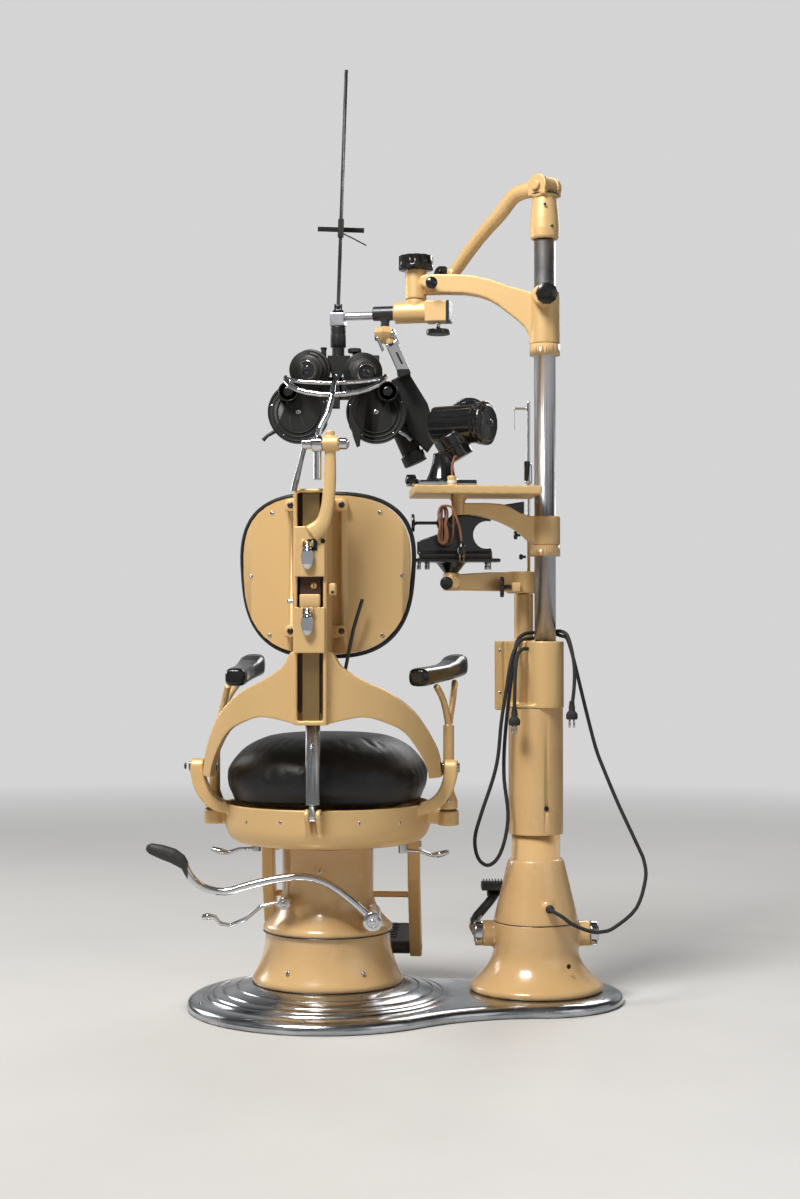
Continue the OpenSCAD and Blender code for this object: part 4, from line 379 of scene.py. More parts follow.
def effect(tree: Tree, name: str, **inputs: float) -> bpy.types.bpy_prop_collection:
    """Places one of the shared effects in a material.

    Args:
        tree: the material's tree.
        name: the effect, a key of EFFECTS.
        **inputs: values of the group's inputs.

    Returns:
        The placed group's outputs.
    """
    placed = tree.nodes.new("ShaderNodeGroup")
    placed.node_tree = bpy.data.node_groups.get(name) or EFFECTS[name]()
    for key, value in inputs.items():
        placed.inputs[key].default_value = value
    return placed.outputs


# Finishes


@dataclass(frozen=True)
class Finish:
    """One surface finish.

    Attributes:
        name: the material's name.
        slot: the record's material slot; not used.
        colour: base colour, linear.
        second: colour that the first drifts to in clouds.
        shade_and_dirt: colour that corners darken to as painted shade, and the colour of the soil specks.
        worn: colour of worn edges.
        rough: lowest and highest roughness.
        metal: 1 for bare metal.
        shade_and_dirt_amount: strength of the painted corner shade and of the soil specks.
        wear: strength of the edge wear.
        edge: radius of the rounded edges, in metres.
        bump: depth of the surface's waviness, in metres.
        bump_scale: how fine the waviness is.
        coat: weight of a clear coat.
        shine: level of the mirror light.
    """

    name: str
    slot: str
    colour: Colour
    second: Colour
    shade_and_dirt: Colour = (0.03, 0.022, 0.015)
    worn: Colour = (0.2, 0.19, 0.18)
    rough: tuple[float, float] = (0.2, 0.4)
    metal: float = 0.0
    shade_and_dirt_amount: float = 0.5
    wear: float = 0.3
    edge: float = 0.0018
    bump: float = 0.0002
    bump_scale: float = 70.0
    coat: float = 0.0
    shine: float = 0.5

    def material(self) -> bpy.types.Material:
        """The finish's material, made once.

        Returns:
            The material.
        """
        ready = bpy.data.materials.get(self.name)
        if ready:
            return ready
        made = bpy.data.materials.new(self.name)
        made.use_nodes = True
        tree = made.node_tree
        shader = tree.nodes["Principled BSDF"]
        place = node(tree, "ShaderNodeTexCoord").outputs["Object"]
        self.paint(tree, shader, place)
        return made

    def paint(self, tree: Tree, shader: bpy.types.Node, place: Socket) -> None:
        """Fills the shader's inputs.

        Args:
            tree: the material's tree.
            shader: its Principled BSDF.
            place: the object's own coordinates.
        """
        worn = effect(tree, "edge_wear", Radius=self.edge, Spread=self.wear)
        grime = effect(tree, "grime", Amount=self.shade_and_dirt_amount)
        smudge = effect(tree, "smudges")
        clouds = span(tree, noise(tree, place, 7, 4), 0.3, 0.72, 0, 1)
        base = blend_colours(tree, clouds, self.colour, self.second)
        # Painted shade: corners and recesses darken towards the shade colour by ambient occlusion; the same
        # mask lays soil specks.
        base = blend_colours(tree, grime["Dirt"], base, self.shade_and_dirt)
        base = blend_colours(tree, worn["Wear"], base, self.worn)
        plug(tree, base, shader.inputs["Base Color"])
        rough = span(tree, smudge["Mask"], 0, 1, *self.rough)
        plug(tree, sums(tree, "ADD", rough, sums(tree, "MULTIPLY", grime["Dirt"], 0.35), True),
             shader.inputs["Roughness"])
        shader.inputs["Metallic"].default_value = self.metal
        shader.inputs["Specular IOR Level"].default_value = self.shine
        shader.inputs["Coat Weight"].default_value = self.coat
        shader.inputs["Coat Roughness"].default_value = 0.06
        self.relief(tree, shader, self.height(tree, place), worn["Round"])

    def height(self, tree: Tree, place: Socket) -> Socket:
        """The relief of the surface, from 0 to 1."""
        return noise(tree, place, self.bump_scale, 3)

    def relief(self, tree: Tree, shader: bpy.types.Node, height: Socket, normal: Socket) -> None:
        """Gives the shader its bump on the rounded normal."""
        bump = node(tree, "ShaderNodeBump", Height=height, Distance=self.bump, Normal=normal)
        plug(tree, bump.outputs["Normal"], shader.inputs["Normal"])


@dataclass(frozen=True)
class Brushed(Finish):
    """Ground steel with fine lines round its bars."""

    def height(self, tree: Tree, place: Socket) -> Socket:
        """Grinding lines as relief."""
        return effect(tree, "streaks")["Lines"]


@dataclass(frozen=True)
class Hide(Finish):
    """Leatherette with a pebbled grain."""

    def height(self, tree: Tree, place: Socket) -> Socket:
        """Grain as relief."""
        return effect(tree, "leather_grain")["Height"]


@dataclass(frozen=True)
class Braid(Finish):
    """Braided flex, its strands drawn along the cord's own map."""

    def height(self, tree: Tree, place: Socket) -> Socket:
        """Crossing strands as relief.

        Args:
            tree: the material's tree.
            place: the object's own coordinates, which the braid doesn't use.

        Returns:
            The relief's socket.
        """
        spot = node(tree, "ShaderNodeUVMap").outputs["UV"]
        parts = node(tree, "ShaderNodeSeparateXYZ", Vector=spot)
        strands = None
        for side in (-1, 1):
            along = sums(tree, "MULTIPLY", parts.outputs[1], 2200.0 * side)
            phase = sums(tree, "ADD", sums(tree, "MULTIPLY", parts.outputs[0], math.tau * 4), along)
            wave = sums(tree, "SINE", phase, 0.0)
            strands = wave if strands is None else sums(tree, "MAXIMUM", strands, wave)
        return strands


CREAM = Finish("cream_enamel", "cream_enamel", (0.7, 0.455, 0.215), (0.63, 0.4, 0.175),
               shade_and_dirt=(0.12, 0.07, 0.03), worn=(0.3, 0.2, 0.1), rough=(0.2, 0.38), shade_and_dirt_amount=0.55,
               wear=0.3, edge=0.0035, bump=0.00025, bump_scale=45, coat=0.35)
CREAM_LATHED = Finish("cream_enamel_turned", "cream_enamel", (0.7, 0.455, 0.215), (0.64, 0.41, 0.18),
                      shade_and_dirt=(0.12, 0.07, 0.03), worn=(0.3, 0.2, 0.1), rough=(0.17, 0.34),
                      shade_and_dirt_amount=0.5, wear=0.2, edge=0.0015, bump=0.00015, bump_scale=30, coat=0.4)
CHROME = Finish("chrome_plate", "chrome", (0.66, 0.67, 0.69), (0.5, 0.5, 0.51),
                shade_and_dirt=(0.08, 0.06, 0.045), worn=(0.42, 0.36, 0.3), rough=(0.05, 0.2), metal=1,
                shade_and_dirt_amount=0.7, wear=0.25, edge=0.0012, bump=0.00005, bump_scale=60)
OLD_CHROME = Finish("worn_chrome", "chrome", (0.6, 0.61, 0.63), (0.3, 0.31, 0.33),
                    shade_and_dirt=(0.06, 0.05, 0.04), worn=(0.3, 0.27, 0.24), rough=(0.09, 0.34), metal=1,
                    shade_and_dirt_amount=0.8, wear=0.3, edge=0.0025, bump=0.00012, bump_scale=30)
STEEL = Brushed("satin_steel", "steel", (0.6, 0.61, 0.65), (0.45, 0.46, 0.5), rough=(0.3, 0.42),
                metal=1, shade_and_dirt_amount=0.5, wear=0.1, edge=0.001, bump=0.00003)
DARK_STEEL = Finish("blued_steel", "steel", (0.1, 0.1, 0.105), (0.06, 0.06, 0.062), rough=(0.25, 0.5),
                    metal=1, worn=(0.35, 0.34, 0.33), wear=0.6, edge=0.0008)
LEATHER = Hide("black_leather", "leather", (0.007, 0.007, 0.008), (0.013, 0.013, 0.014),
               shade_and_dirt=(0.035, 0.03, 0.027), worn=(0.02, 0.02, 0.02), rough=(0.38, 0.52), shade_and_dirt_amount=0.2,
               wear=0.2, edge=0.001, bump=0.0003, shine=0.4)
BAKELITE = Finish("black_bakelite", "bakelite", (0.009, 0.009, 0.009), (0.015, 0.014, 0.013),
                  shade_and_dirt=(0.04, 0.035, 0.03), worn=(0.03, 0.028, 0.025), rough=(0.1, 0.26),
                  shade_and_dirt_amount=0.4, edge=0.0025, bump=0.0001, bump_scale=30)
INSTRUMENT = Finish("black_enamel", "black_enamel", (0.005, 0.005, 0.006), (0.01, 0.01, 0.011),
                    shade_and_dirt=(0.03, 0.028, 0.025), worn=(0.14, 0.13, 0.12), rough=(0.26, 0.46),
                    shade_and_dirt_amount=0.4, wear=0.55, edge=0.0016, bump=0.00008, bump_scale=420, shine=0.3)
GLOSS_BLACK = Finish("gloss_black_enamel", "black_enamel", (0.005, 0.005, 0.006), (0.009, 0.009, 0.01),
                     shade_and_dirt=(0.05, 0.045, 0.04), worn=(0.16, 0.15, 0.14), rough=(0.1, 0.28),
                     shade_and_dirt_amount=0.45, wear=0.35, edge=0.0018, bump=0.0001, bump_scale=60, coat=0.3)
GREY = Finish("grey_bronzed", "black_enamel", (0.045, 0.046, 0.05), (0.03, 0.031, 0.034),
              worn=(0.2, 0.2, 0.2), rough=(0.3, 0.5), metal=0.4, wear=0.5, edge=0.0012)
RUBBER = Finish("black_rubber", "rubber", (0.018, 0.018, 0.018), (0.03, 0.029, 0.028),
                shade_and_dirt=(0.09, 0.08, 0.07), worn=(0.06, 0.055, 0.05), rough=(0.5, 0.75), edge=0.0015,
                bump=0.0002, bump_scale=400)
CORD = Finish("cord_rubber", "cord_rubber", (0.014, 0.014, 0.014), (0.024, 0.023, 0.022),
              shade_and_dirt=(0.07, 0.06, 0.05), rough=(0.38, 0.6), wear=0.0, edge=0.0005, bump=0.0001,
              bump_scale=500)
FLEX = Braid("brown_flex", "flex_fabric", (0.34, 0.13, 0.05), (0.2, 0.07, 0.025),
             rough=(0.32, 0.55), wear=0.0, edge=0.0004, bump=0.0004)
RAIL = Brushed("rail_metal", "rail_metal", (0.68, 0.38, 0.17), (0.5, 0.25, 0.1),
               shade_and_dirt=(0.06, 0.03, 0.015), rough=(0.3, 0.5), metal=0.15, shade_and_dirt_amount=0.8, edge=0.001,
               bump=0.0001)
# Painted shade: dark brown for the rail slot's inner walls, the gaps beside the rail and the window's recess.
BROWN_SHADE = Finish("brown_lining", "rail_metal", (0.075, 0.03, 0.014), (0.045, 0.018, 0.009),
               rough=(0.45, 0.65), edge=0.0008, bump=0.0002, bump_scale=200)
PORCELAIN = Finish("white_porcelain", "cream_enamel", (0.8, 0.78, 0.72), (0.74, 0.71, 0.64),
                   shade_and_dirt=(0.25, 0.2, 0.14), rough=(0.12, 0.25), wear=0.0, edge=0.001)
GLASS = Finish("dark_lens", "black_enamel", (0.012, 0.014, 0.022), (0.016, 0.02, 0.03),
               rough=(0.02, 0.06), shade_and_dirt_amount=0.2, wear=0.0, edge=0.0004, bump=0.00001, coat=1.0)
BRASS = Finish("worn_brass", "steel", (0.45, 0.3, 0.13), (0.28, 0.2, 0.11), rough=(0.15, 0.35),
               metal=1, shade_and_dirt_amount=0.7, edge=0.0012)
# Painted shade: near-black pieces put in slots and holes where only shade would be seen.
HOLE_SHADE = Finish("dark_hole", "black_enamel", (0.004, 0.0035, 0.003), (0.006, 0.005, 0.004),
              rough=(0.7, 0.9), wear=0.0, edge=0.0003)


# Shapes


@dataclass
class Shaper:
    """Collects shapes, written in millimetres, into one mesh.

    Attributes:
        name: the piece's name.
        finish: the finish of shapes that follow.
        place: where the shapes' own frame lies in the row frame, in millimetres.
        smooth: faces that meet at less than this angle shade as one.
    """

    name: str
    finish: Finish
    place: Matrix = field(default_factory=lambda: IDENTITY.copy())
    smooth: float = 38.0

    def __post_init__(self) -> None:
        """Starts an empty mesh with a map and one finish."""
        self.mesh = bmesh.new()
        self.uv = self.mesh.loops.layers.uv.new("UVMap")
        self.finishes: list[Finish] = [self.finish]

    def using(self, finish: Finish) -> "Shaper":
        """Gives the shapes that follow a finish.

        Args:
            finish: the finish.

        Returns:
            The shaper itself.
        """
        if finish not in self.finishes:
            self.finishes.append(finish)
        self.finish = finish
        return self

    def skin(self, rings: list[list[Vector]], closed_ends: bool = True, loop: bool = False,
             lengths: Sequence[float] | None = None) -> "Shaper":
        """Joins rings of points by faces.

        Args:
            rings: rings of as many points each.
            closed_ends: whether the first and last ring get caps.
            loop: whether the last ring joins the first.
            lengths: how far along each ring lies, for the map.

        Returns:
            The shaper itself.
        """
        index = self.finishes.index(self.finish)
        flip = self.place.determinant() < 0
        made = [[self.mesh.verts.new(self.place @ p) for p in ring] for ring in rings]
        count = len(rings[0])
        last = len(rings) if loop else len(rings) - 1
        for i in range(last):
            for j in range(count):
                k = (j + 1) % count
                n = (i + 1) % len(rings)
                corners = [made[i][j], made[i][k], made[n][k], made[n][j]]
                far = lengths[n] if lengths else n / len(rings)
                near = lengths[i] if lengths else i / len(rings)
                marks = [(j / count, near), ((j + 1) / count, near), ((j + 1) / count, far), (j / count, far)]
                if flip:
                    corners.reverse()
                    marks.reverse()
                face = self.mesh.faces.new(corners)
                face.material_index = index
                for corner, mark in zip(face.loops, marks):
                    corner[self.uv].uv = mark
        if closed_ends and not loop:
            for ring, back in ((made[0], not flip), (made[-1], flip)):
                face = self.mesh.faces.new(list(reversed(ring)) if back else ring)
                face.material_index = index
        return self

    def lathe(self, profile: Sequence[Point], at: Point = (0, 0, 0), pose: Pose | Vector = Pose.UP,
              steps: int = 40, sides_flat: bool = False) -> "Shaper":
        """Turns a profile of (radius, height) pairs round an axis.

        Args:
            profile: pairs from one end to the other, radius first.
            at: where height 0 lies.
            pose: which way the height runs.
            steps: how many sides the turn has.
            sides_flat: whether the first side lies flat, as on a nut.

        Returns:
            The shaper itself.
        """
        way = Pose.direction(pose)
        spin = Vector((0, 0, 1)).rotation_difference(way).to_matrix()
        spot = Vector(at)
        shift = 0.5 if sides_flat else 0.0
        rings = []
        for radius, height in profile:
            radius = max(radius, 0.02)
            angles = [math.tau * (j + shift) / steps for j in range(steps)]
            rings.append([spot + spin @ Vector((radius * math.cos(a), radius * math.sin(a), height))
                          for a in angles])
        rising = profile[-1][1] >= profile[0][1]
        return self.skin(rings if rising else rings[::-1])

    def rod(self, start: Point, end: Point, radius: float, edge: float = 1.0, steps: int = 32,
            sides_flat: bool = False) -> "Shaper":
        """A round bar between two points with softened ends.

        Args:
            start: one end.
            end: the other end.
            radius: the bar's radius.
            edge: how far the ends are softened.
            steps: how many sides it has.
            sides_flat: whether the first side lies flat.

        Returns:
            The shaper itself.
        """
        way = Vector(end) - Vector(start)
        edge = min(edge, radius * 0.6, way.length * 0.4)
        profile = [(radius - edge, 0), (radius - edge * 0.3, edge * 0.3), (radius, edge),
                   (radius, way.length - edge), (radius - edge * 0.3, way.length - edge * 0.3),
                   (radius - edge, way.length)]
        return self.lathe(profile, start, way, steps, sides_flat)

    def dome(self, at: Point, pose: Pose | Vector, radius: float, height: float) -> "Shaper":
        """A domed head."""
        return self.lathe([(radius, -0.4), (radius, height * 0.25), (radius * 0.93, height * 0.55),
                           (radius * 0.75, height * 0.83), (radius * 0.4, height * 0.98), (0.02, height)],
                          at, pose, 24)

    def screw(self, at: Point, pose: Pose | Vector, radius: float, slot_turn: float = 0.6,
              height: float = 1.8) -> "Shaper":
        """A slotted screw head: a dome with a dark bar across it that paints the slot's shade.

        Args:
            at: the head's foot.
            pose: which way it points.
            radius: the head's radius.
            slot_turn: how far the slot is turned, in radians.
            height: the head's height.

        Returns:
            The shaper itself.
        """
        way = Pose.direction(pose)
        head = self.finish
        self.dome(at, way, radius, height)
        side = way.orthogonal().normalized()
        side = Matrix.Rotation(slot_turn, 3, way) @ side
        # Painted shade: a dark bar stands for the shaded slot.
        self.using(HOLE_SHADE)
        middle = Vector(at) + way * (height * 0.62)
        self.beam(middle - side * radius * 0.86, middle + side * radius * 0.86, way, radius * 0.11,
                  height * 0.45)
        return self.using(head)

    def beam(self, start: Point, end: Point, up: Vector, half_width: float, half_height: float) -> "Shaper":
        """A plain bar of four sides between two points.

        Args:
            start: the middle of one end.
            end: the middle of the other end.
            up: the height's direction.
            half_width: half the width.
            half_height: half the height.

        Returns:
            The shaper itself.
        """
        start, end = Vector(start), Vector(end)
        along = (end - start).normalized()
        across = up.cross(along).normalized()
        rings = [[p + across * half_width * a + up * half_height * b
                  for a, b in ((-1, -1), (1, -1), (1, 1), (-1, 1))] for p in (start, end)]
        return self.skin([ring[::-1] for ring in rings][::-1])

    def block(self, low: Point, high: Point, edge: float = 1.2) -> "Shaper":
        """A box with bevelled edges between two corners.

        Args:
            low: the corner with the lowest values.
            high: the corner with the highest values.
            edge: how far the edges are bevelled.

        Returns:
            The shaper itself.
        """
        low, high = Vector(low), Vector(high)
        edge = min(edge, *(0.45 * (high[i] - low[i]) for i in range(3)))
        levels = ((low.z, edge), (low.z + edge * 0.3, edge * 0.3), (low.z + edge, 0),
                  (high.z - edge, 0), (high.z - edge * 0.3, edge * 0.3), (high.z, edge))
        return self.skin([rounded(low, high, z, inset, edge) for z, inset in levels])

    def tube(self, path: Sequence[Point], radius: float | Sequence[float], sides: int = 16,
             flat: float = 1.0, up: Point = (0, 0, 1), loop: bool = False) -> "Shaper":
        """A bar that follows a path.

        Args:
            path: points of the middle line.
            radius: one radius, or one for each point.
            sides: how many sides the bar has.
            flat: height as a share of the width.
            up: direction that the height keeps to, for a flat bar.
            loop: whether the path closes on itself.

        Returns:
            The shaper itself.
        """
        points = [Vector(p) for p in path]
        frames = twist_free(points, Vector(up), loop)
        walked = [0.0]
        for a, b in zip(points, points[1:]):
            walked.append(walked[-1] + (b - a).length * MM)
        rings = []
        for i, (p, (side, rise)) in enumerate(zip(points, frames)):
            r = radius[i] if isinstance(radius, (list, tuple)) else radius
            rings.append([p + side * r * math.cos(math.tau * j / sides)
                          + rise * r * flat * math.sin(math.tau * j / sides) for j in range(sides)])
        return self.skin(rings, loop=loop, lengths=walked if not loop else None)

    def plate(self, outline: Sequence[Point], y0: float, y1: float, edge: float = 0.0) -> "Shaper":
        """An outline drawn in X and Z, given a thickness along Y, with softened rims.

        Args:
            outline: (x, z) pairs.
            y0: where the thickness starts.
            y1: where it ends.
            edge: how far the rims are softened.

        Returns:
            The shaper itself.
        """
        middle = Vector([sum(p[i] for p in outline) / len(outline) for i in (0, 1)])
        levels = [(y0, edge), (y0 + edge, 0), (y1 - edge, 0), (y1, edge)] if edge else [(y0, 0), (y1, 0)]
        area = sum(a[0] * b[1] - b[0] * a[1] for a, b in zip(outline, [*outline[1:], outline[0]]))
        ordered = list(outline) if area < 0 else list(outline)[::-1]
        rings = []
        for y, inset in levels:
            ring = []
            for x, z in ordered:
                away = Vector((x, z)) - middle
                away *= 1 - inset / max(away.length, 0.01)
                ring.append(Vector((middle.x + away.x, y, middle.y + away.y)))
            rings.append(ring)
        return self.skin(rings)

    def add(self, mesh: bpy.types.Mesh, place: Matrix) -> "Shaper":
        """Adds a ready mesh.

        Args:
            mesh: the mesh, in millimetres.
            place: its place in the shaper's own frame.

        Returns:
            The shaper itself.
        """
        index = self.finishes.index(self.finish)
        before = len(self.mesh.faces)
        spot = self.place @ place
        copy = mesh.copy()
        copy.transform(spot)
        if spot.determinant() < 0:
            copy.flip_normals()
        self.mesh.from_mesh(copy)
        self.mesh.faces.ensure_lookup_table()
        for face in self.mesh.faces[before:]:
            face.material_index = index
        bpy.data.meshes.remove(copy)
        return self

    def made(self, body: str) -> bpy.types.Object:
        """Makes the piece, in metres, and lets it ride on a body.

        Args:
            body: the body's name.

        Returns:
            The piece.
        """
        self.mesh.transform(Matrix.Scale(MM, 4))
        mesh = bpy.data.meshes.new(self.name)
        self.mesh.to_mesh(mesh)
        self.mesh.free()
        piece = bpy.data.objects.new(self.name, mesh)
        bpy.context.scene.collection.objects.link(piece)
        for finish in self.finishes:
            mesh.materials.append(finish.material())
        mesh.shade_smooth()
        mesh.set_sharp_from_angle(angle=math.radians(self.smooth))
        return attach(piece, body)


def rounded(low: Vector, high: Vector, z: float, inset: float, corner: float) -> list[Vector]:
    """A rectangle with cut corners, as one ring of a block.

    Args:
        low: the block's lowest corner.
        high: its highest corner.
        z: the ring's height.
        inset: how far it lies inside the block's sides.
        corner: size of the cut corners.

    Returns:
        The ring's points.
    """
    x0, x1, y0, y1 = low.x + inset, high.x - inset, low.y + inset, high.y - inset
    c = corner * 0.7
    spots = [(x0 + c, y0), (x1 - c, y0), (x1, y0 + c), (x1, y1 - c), (x1 - c, y1), (x0 + c, y1),
             (x0, y1 - c), (x0, y0 + c)]
    return [Vector((x, y, z)) for x, y in spots]


def twist_free(points: Sequence[Vector], up: Vector, loop: bool) -> list[tuple[Vector, Vector]]:
    """Frames along a path that turn as little as they can.

    Args:
        points: the path.
        up: the height's first direction.
        loop: whether the path closes.

    Returns:
        A sideways and an upward direction for each point.
    """
    count = len(points)
    frames = []
    rise = up.normalized()
    for i in range(count):
        before = points[i - 1] if i or loop else points[0]
        after = points[(i + 1) % count] if i < count - 1 or loop else points[-1]
        along = (after - before).normalized()
        side = rise.cross(along)
        if side.length < 1e-4:
            side = along.orthogonal()
        side.normalize()
        rise = along.cross(side).normalized()
        frames.append((side, rise))
    return frames


def curved(points: Sequence[Point], steps: int = 6, loop: bool = False) -> list[Vector]:
    """A smooth line through points.

    Args:
        points: the points that it passes.
        steps: how many parts each stretch gets.
        loop: whether it closes.

    Returns:
        The line's points.
    """
    p = [Vector(q) for q in points]
    count = len(p)
    line = []
    for i in range(count if loop else count - 1):
        a = p[i - 1] if i or loop else p[0]
        b, c = p[i], p[(i + 1) % count]
        d = p[(i + 2) % count] if i + 2 < count or loop else p[-1]
        for k in range(steps):
            t = k / steps
            line.append((2 * b + (c - a) * t + (2 * a - 5 * b + 4 * c - d) * t * t
                         + (3 * b - a - 3 * c + d) * t ** 3) / 2)
    return line if loop else line + [p[-1]]


# Repeats


class Repeat(Enum):
    """How a unit shape is repeated."""

    RING = "ring"
    ROW = "row"


def repeat_tree(kind: Repeat) -> Tree:
    """The Geometry Nodes tree of one kind of repeat, made once.

    Args:
        kind: ring or row.

    Returns:
        The tree, with inputs Count, Size, Unit and Finish.
    """
    name = "repeat_" + kind.value
    tree = bpy.data.node_groups.get(name)
    if tree:
        return tree
    tree = bpy.data.node_groups.new(name, "GeometryNodeTree")
    face = tree.interface
    face.new_socket("Geometry", in_out="INPUT", socket_type="NodeSocketGeometry")
    face.new_socket("Count", in_out="INPUT", socket_type="NodeSocketInt")
    face.new_socket("Size", in_out="INPUT", socket_type="NodeSocketFloat")
    face.new_socket("Unit", in_out="INPUT", socket_type="NodeSocketObject")
    face.new_socket("Finish", in_out="INPUT", socket_type="NodeSocketMaterial")
    face.new_socket("Geometry", in_out="OUTPUT", socket_type="NodeSocketGeometry")
    given = tree.nodes.new("NodeGroupInput").outputs
    unit = node(tree, "GeometryNodeObjectInfo", Object=given["Unit"]).outputs["Geometry"]
    if kind is Repeat.RING:
        spots = node(tree, "GeometryNodeMeshCircle", Vertices=given["Count"], Radius=given["Size"]).outputs[0]
        where = node(tree, "GeometryNodeInputPosition").outputs[0]
        heading = node(tree, "FunctionNodeAlignRotationToVector", {"axis": "X"}, Vector=where).outputs[0]
        placed = node(tree, "GeometryNodeInstanceOnPoints", Points=spots, Instance=unit, Rotation=heading)
    else:
        step = node(tree, "ShaderNodeCombineXYZ", X=given["Size"]).outputs[0]
        spots = node(tree, "GeometryNodeMeshLine", {"mode": "OFFSET"}, Count=given["Count"],
                     Offset=step).outputs[0]
        placed = node(tree, "GeometryNodeInstanceOnPoints", Points=spots, Instance=unit)
    real = node(tree, "GeometryNodeRealizeInstances", Geometry=placed.outputs[0]).outputs[0]
    done = node(tree, "GeometryNodeSetMaterial", Geometry=real, Material=given["Finish"]).outputs[0]
    tree.links.new(done, tree.nodes.new("NodeGroupOutput").inputs[0])
    return tree


def repeated(kind: Repeat, unit: Callable[[Shaper], Shaper], finish: Finish, count: int,
             size: float) -> bpy.types.Mesh:
    """Repeats a small shape by Geometry Nodes.

    Args:
        kind: ring or row.
        unit: draws the shape on a shaper.
        finish: the shape's finish.
        count: how many copies.
        size: the ring's radius or the row's spacing, in millimetres.

    Returns:
        A plain mesh in millimetres round the origin.
    """
    scene = bpy.context.scene.collection.objects
    shape = unit(Shaper("unit", finish))
    mesh = bpy.data.meshes.new("unit")
    shape.mesh.to_mesh(mesh)
    shape.mesh.free()
    source = bpy.data.objects.new("unit", mesh)
    scene.link(source)
    carrier = bpy.data.objects.new("repeat", bpy.data.meshes.new("repeat"))
    scene.link(carrier)
    modifier = carrier.modifiers.new("repeat", "NODES")
    modifier.node_group = repeat_tree(kind)
    values = {"Count": count, "Size": float(size), "Unit": source, "Finish": finish.material()}
    for item in modifier.node_group.interface.items_tree:
        if item.in_out == "INPUT" and item.name in values:
            modifier[item.identifier] = values[item.name]
    carrier.update_tag()
    bpy.context.view_layer.update()
    plain = bpy.data.meshes.new_from_object(carrier.evaluated_get(bpy.context.evaluated_depsgraph_get()))
    carrier.modifiers.remove(modifier)
    bpy.data.objects.remove(carrier)
    bpy.data.objects.remove(source)
    return plain


# CAD solids


class Edges(Enum):
    """How the edges of a casting's copy are rounded."""

    SHARP = 0.0
    FINE = 1.4
    CAST = 2.0
    BROAD = 2.3
    HEAVY = 2.8


Region = tuple[Callable[[Vector], bool], Finish]


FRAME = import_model()
CAD_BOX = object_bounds()


def bake_modifiers(piece: bpy.types.Object) -> None:
    """Replaces a piece's mesh by the result of its modifiers, and removes them.

    Args:
        piece: the piece.
    """
    bpy.context.view_layer.update()
    result = bpy.data.meshes.new_from_object(piece.evaluated_get(bpy.context.evaluated_depsgraph_get()))
    piece.modifiers.clear()
    piece.data = result


def rounding(piece: bpy.types.Object, voxel: float, rounds: int) -> None:
    """Gives a piece rounded edges.

    Args:
        piece: the piece.
        voxel: the new mesh's fineness, in millimetres.
        rounds: how often it is smoothed.
    """
    remesh = piece.modifiers.new("remesh", "REMESH")
    remesh.mode, remesh.voxel_size = "VOXEL", voxel * MM
    soften = piece.modifiers.new("soften", "SMOOTH")
    soften.factor, soften.iterations = 0.6, rounds
    bake_modifiers(piece)


@dataclass(frozen=True)
class Solid:
    """A CAD solid's smooth copy, which stands for it.

    Attributes:
        name: the node.
        finish: its main finish.
        edges: voxel size of a copy with rounded edges, or SHARP for the solid's own faces.
        regions: tests of a face's middle, in millimetres in the own frame, and their finishes.
        place: the own frame in the row frame, in millimetres.
        rounds: smoothing rounds of a rounded copy.
        angle: faces that meet at less than this angle shade as one.
    """

    name: str
    finish: Finish
    edges: Edges = Edges.SHARP
    regions: tuple[Region, ...] = ()
    place: Matrix = field(default_factory=lambda: IDENTITY.copy())
    rounds: int = 3
    angle: float = 32

    def copy(self, solid: bpy.types.Object) -> bpy.types.Object:
        """A merged copy of the solid, with its edges rounded where they should be.

        Args:
            solid: the CAD node.

        Returns:
            The copy.
        """
        mesh = solid.data.copy()
        mesh.name = self.name + "_dressed"
        if mesh.has_custom_normals:
            mesh.normals_split_custom_set([(0, 0, 0)] * len(mesh.loops))
        work = bmesh.new()
        work.from_mesh(mesh)
        bmesh.ops.remove_doubles(work, verts=work.verts, dist=2e-6)
        work.to_mesh(mesh)
        work.free()
        piece = bpy.data.objects.new(mesh.name, mesh)
        bpy.context.scene.collection.objects.link(piece)
        if self.edges is not Edges.SHARP:
            rounding(piece, self.edges.value, self.rounds)
        return piece

    def colour(self, mesh: bpy.types.Mesh) -> None:
        """Gives a mesh the main finish, and each region its own.

        Args:
            mesh: the copy's mesh.
        """
        mesh.materials.clear()
        for each in [self.finish, *(f for _, f in self.regions)]:
            mesh.materials.append(each.material())
        back = self.place.inverted() @ Matrix.Scale(1 / MM, 4)
        index = np.zeros(len(mesh.polygons), np.int32)
        for face in mesh.polygons:
            middle = back @ face.center
            for k, (test, _) in enumerate(self.regions):
                if test(middle):
                    index[face.index] = k + 1
        mesh.polygons.foreach_set("material_index", index)

    def make(self) -> None:
        """Makes the copy, which replaces the solid and rides on its body."""
        solid = FRAME["nodes"][self.name]
        piece = self.copy(solid)
        piece.data.shade_smooth()
        if self.edges is Edges.SHARP:
            piece.data.set_sharp_from_angle(angle=math.radians(self.angle))
        self.colour(piece.data)
        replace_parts(piece, self.name)
        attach(piece, solid["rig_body"])
        LOG.info("solid %s", self.name)


@dataclass
class Assembly:
    """A sub-assembly: its solids, then its details."""

    def solids(self) -> Iterable[Solid]:
        """The CAD solids that it dresses."""
        return ()

    def details(self) -> None:
        """The pieces that it adds."""

    def build(self) -> None:
        """Makes everything."""
        for solid in self.solids():
            solid.make()
        self.details()
        LOG.info("assembly %s", type(self).__name__)


# Studio


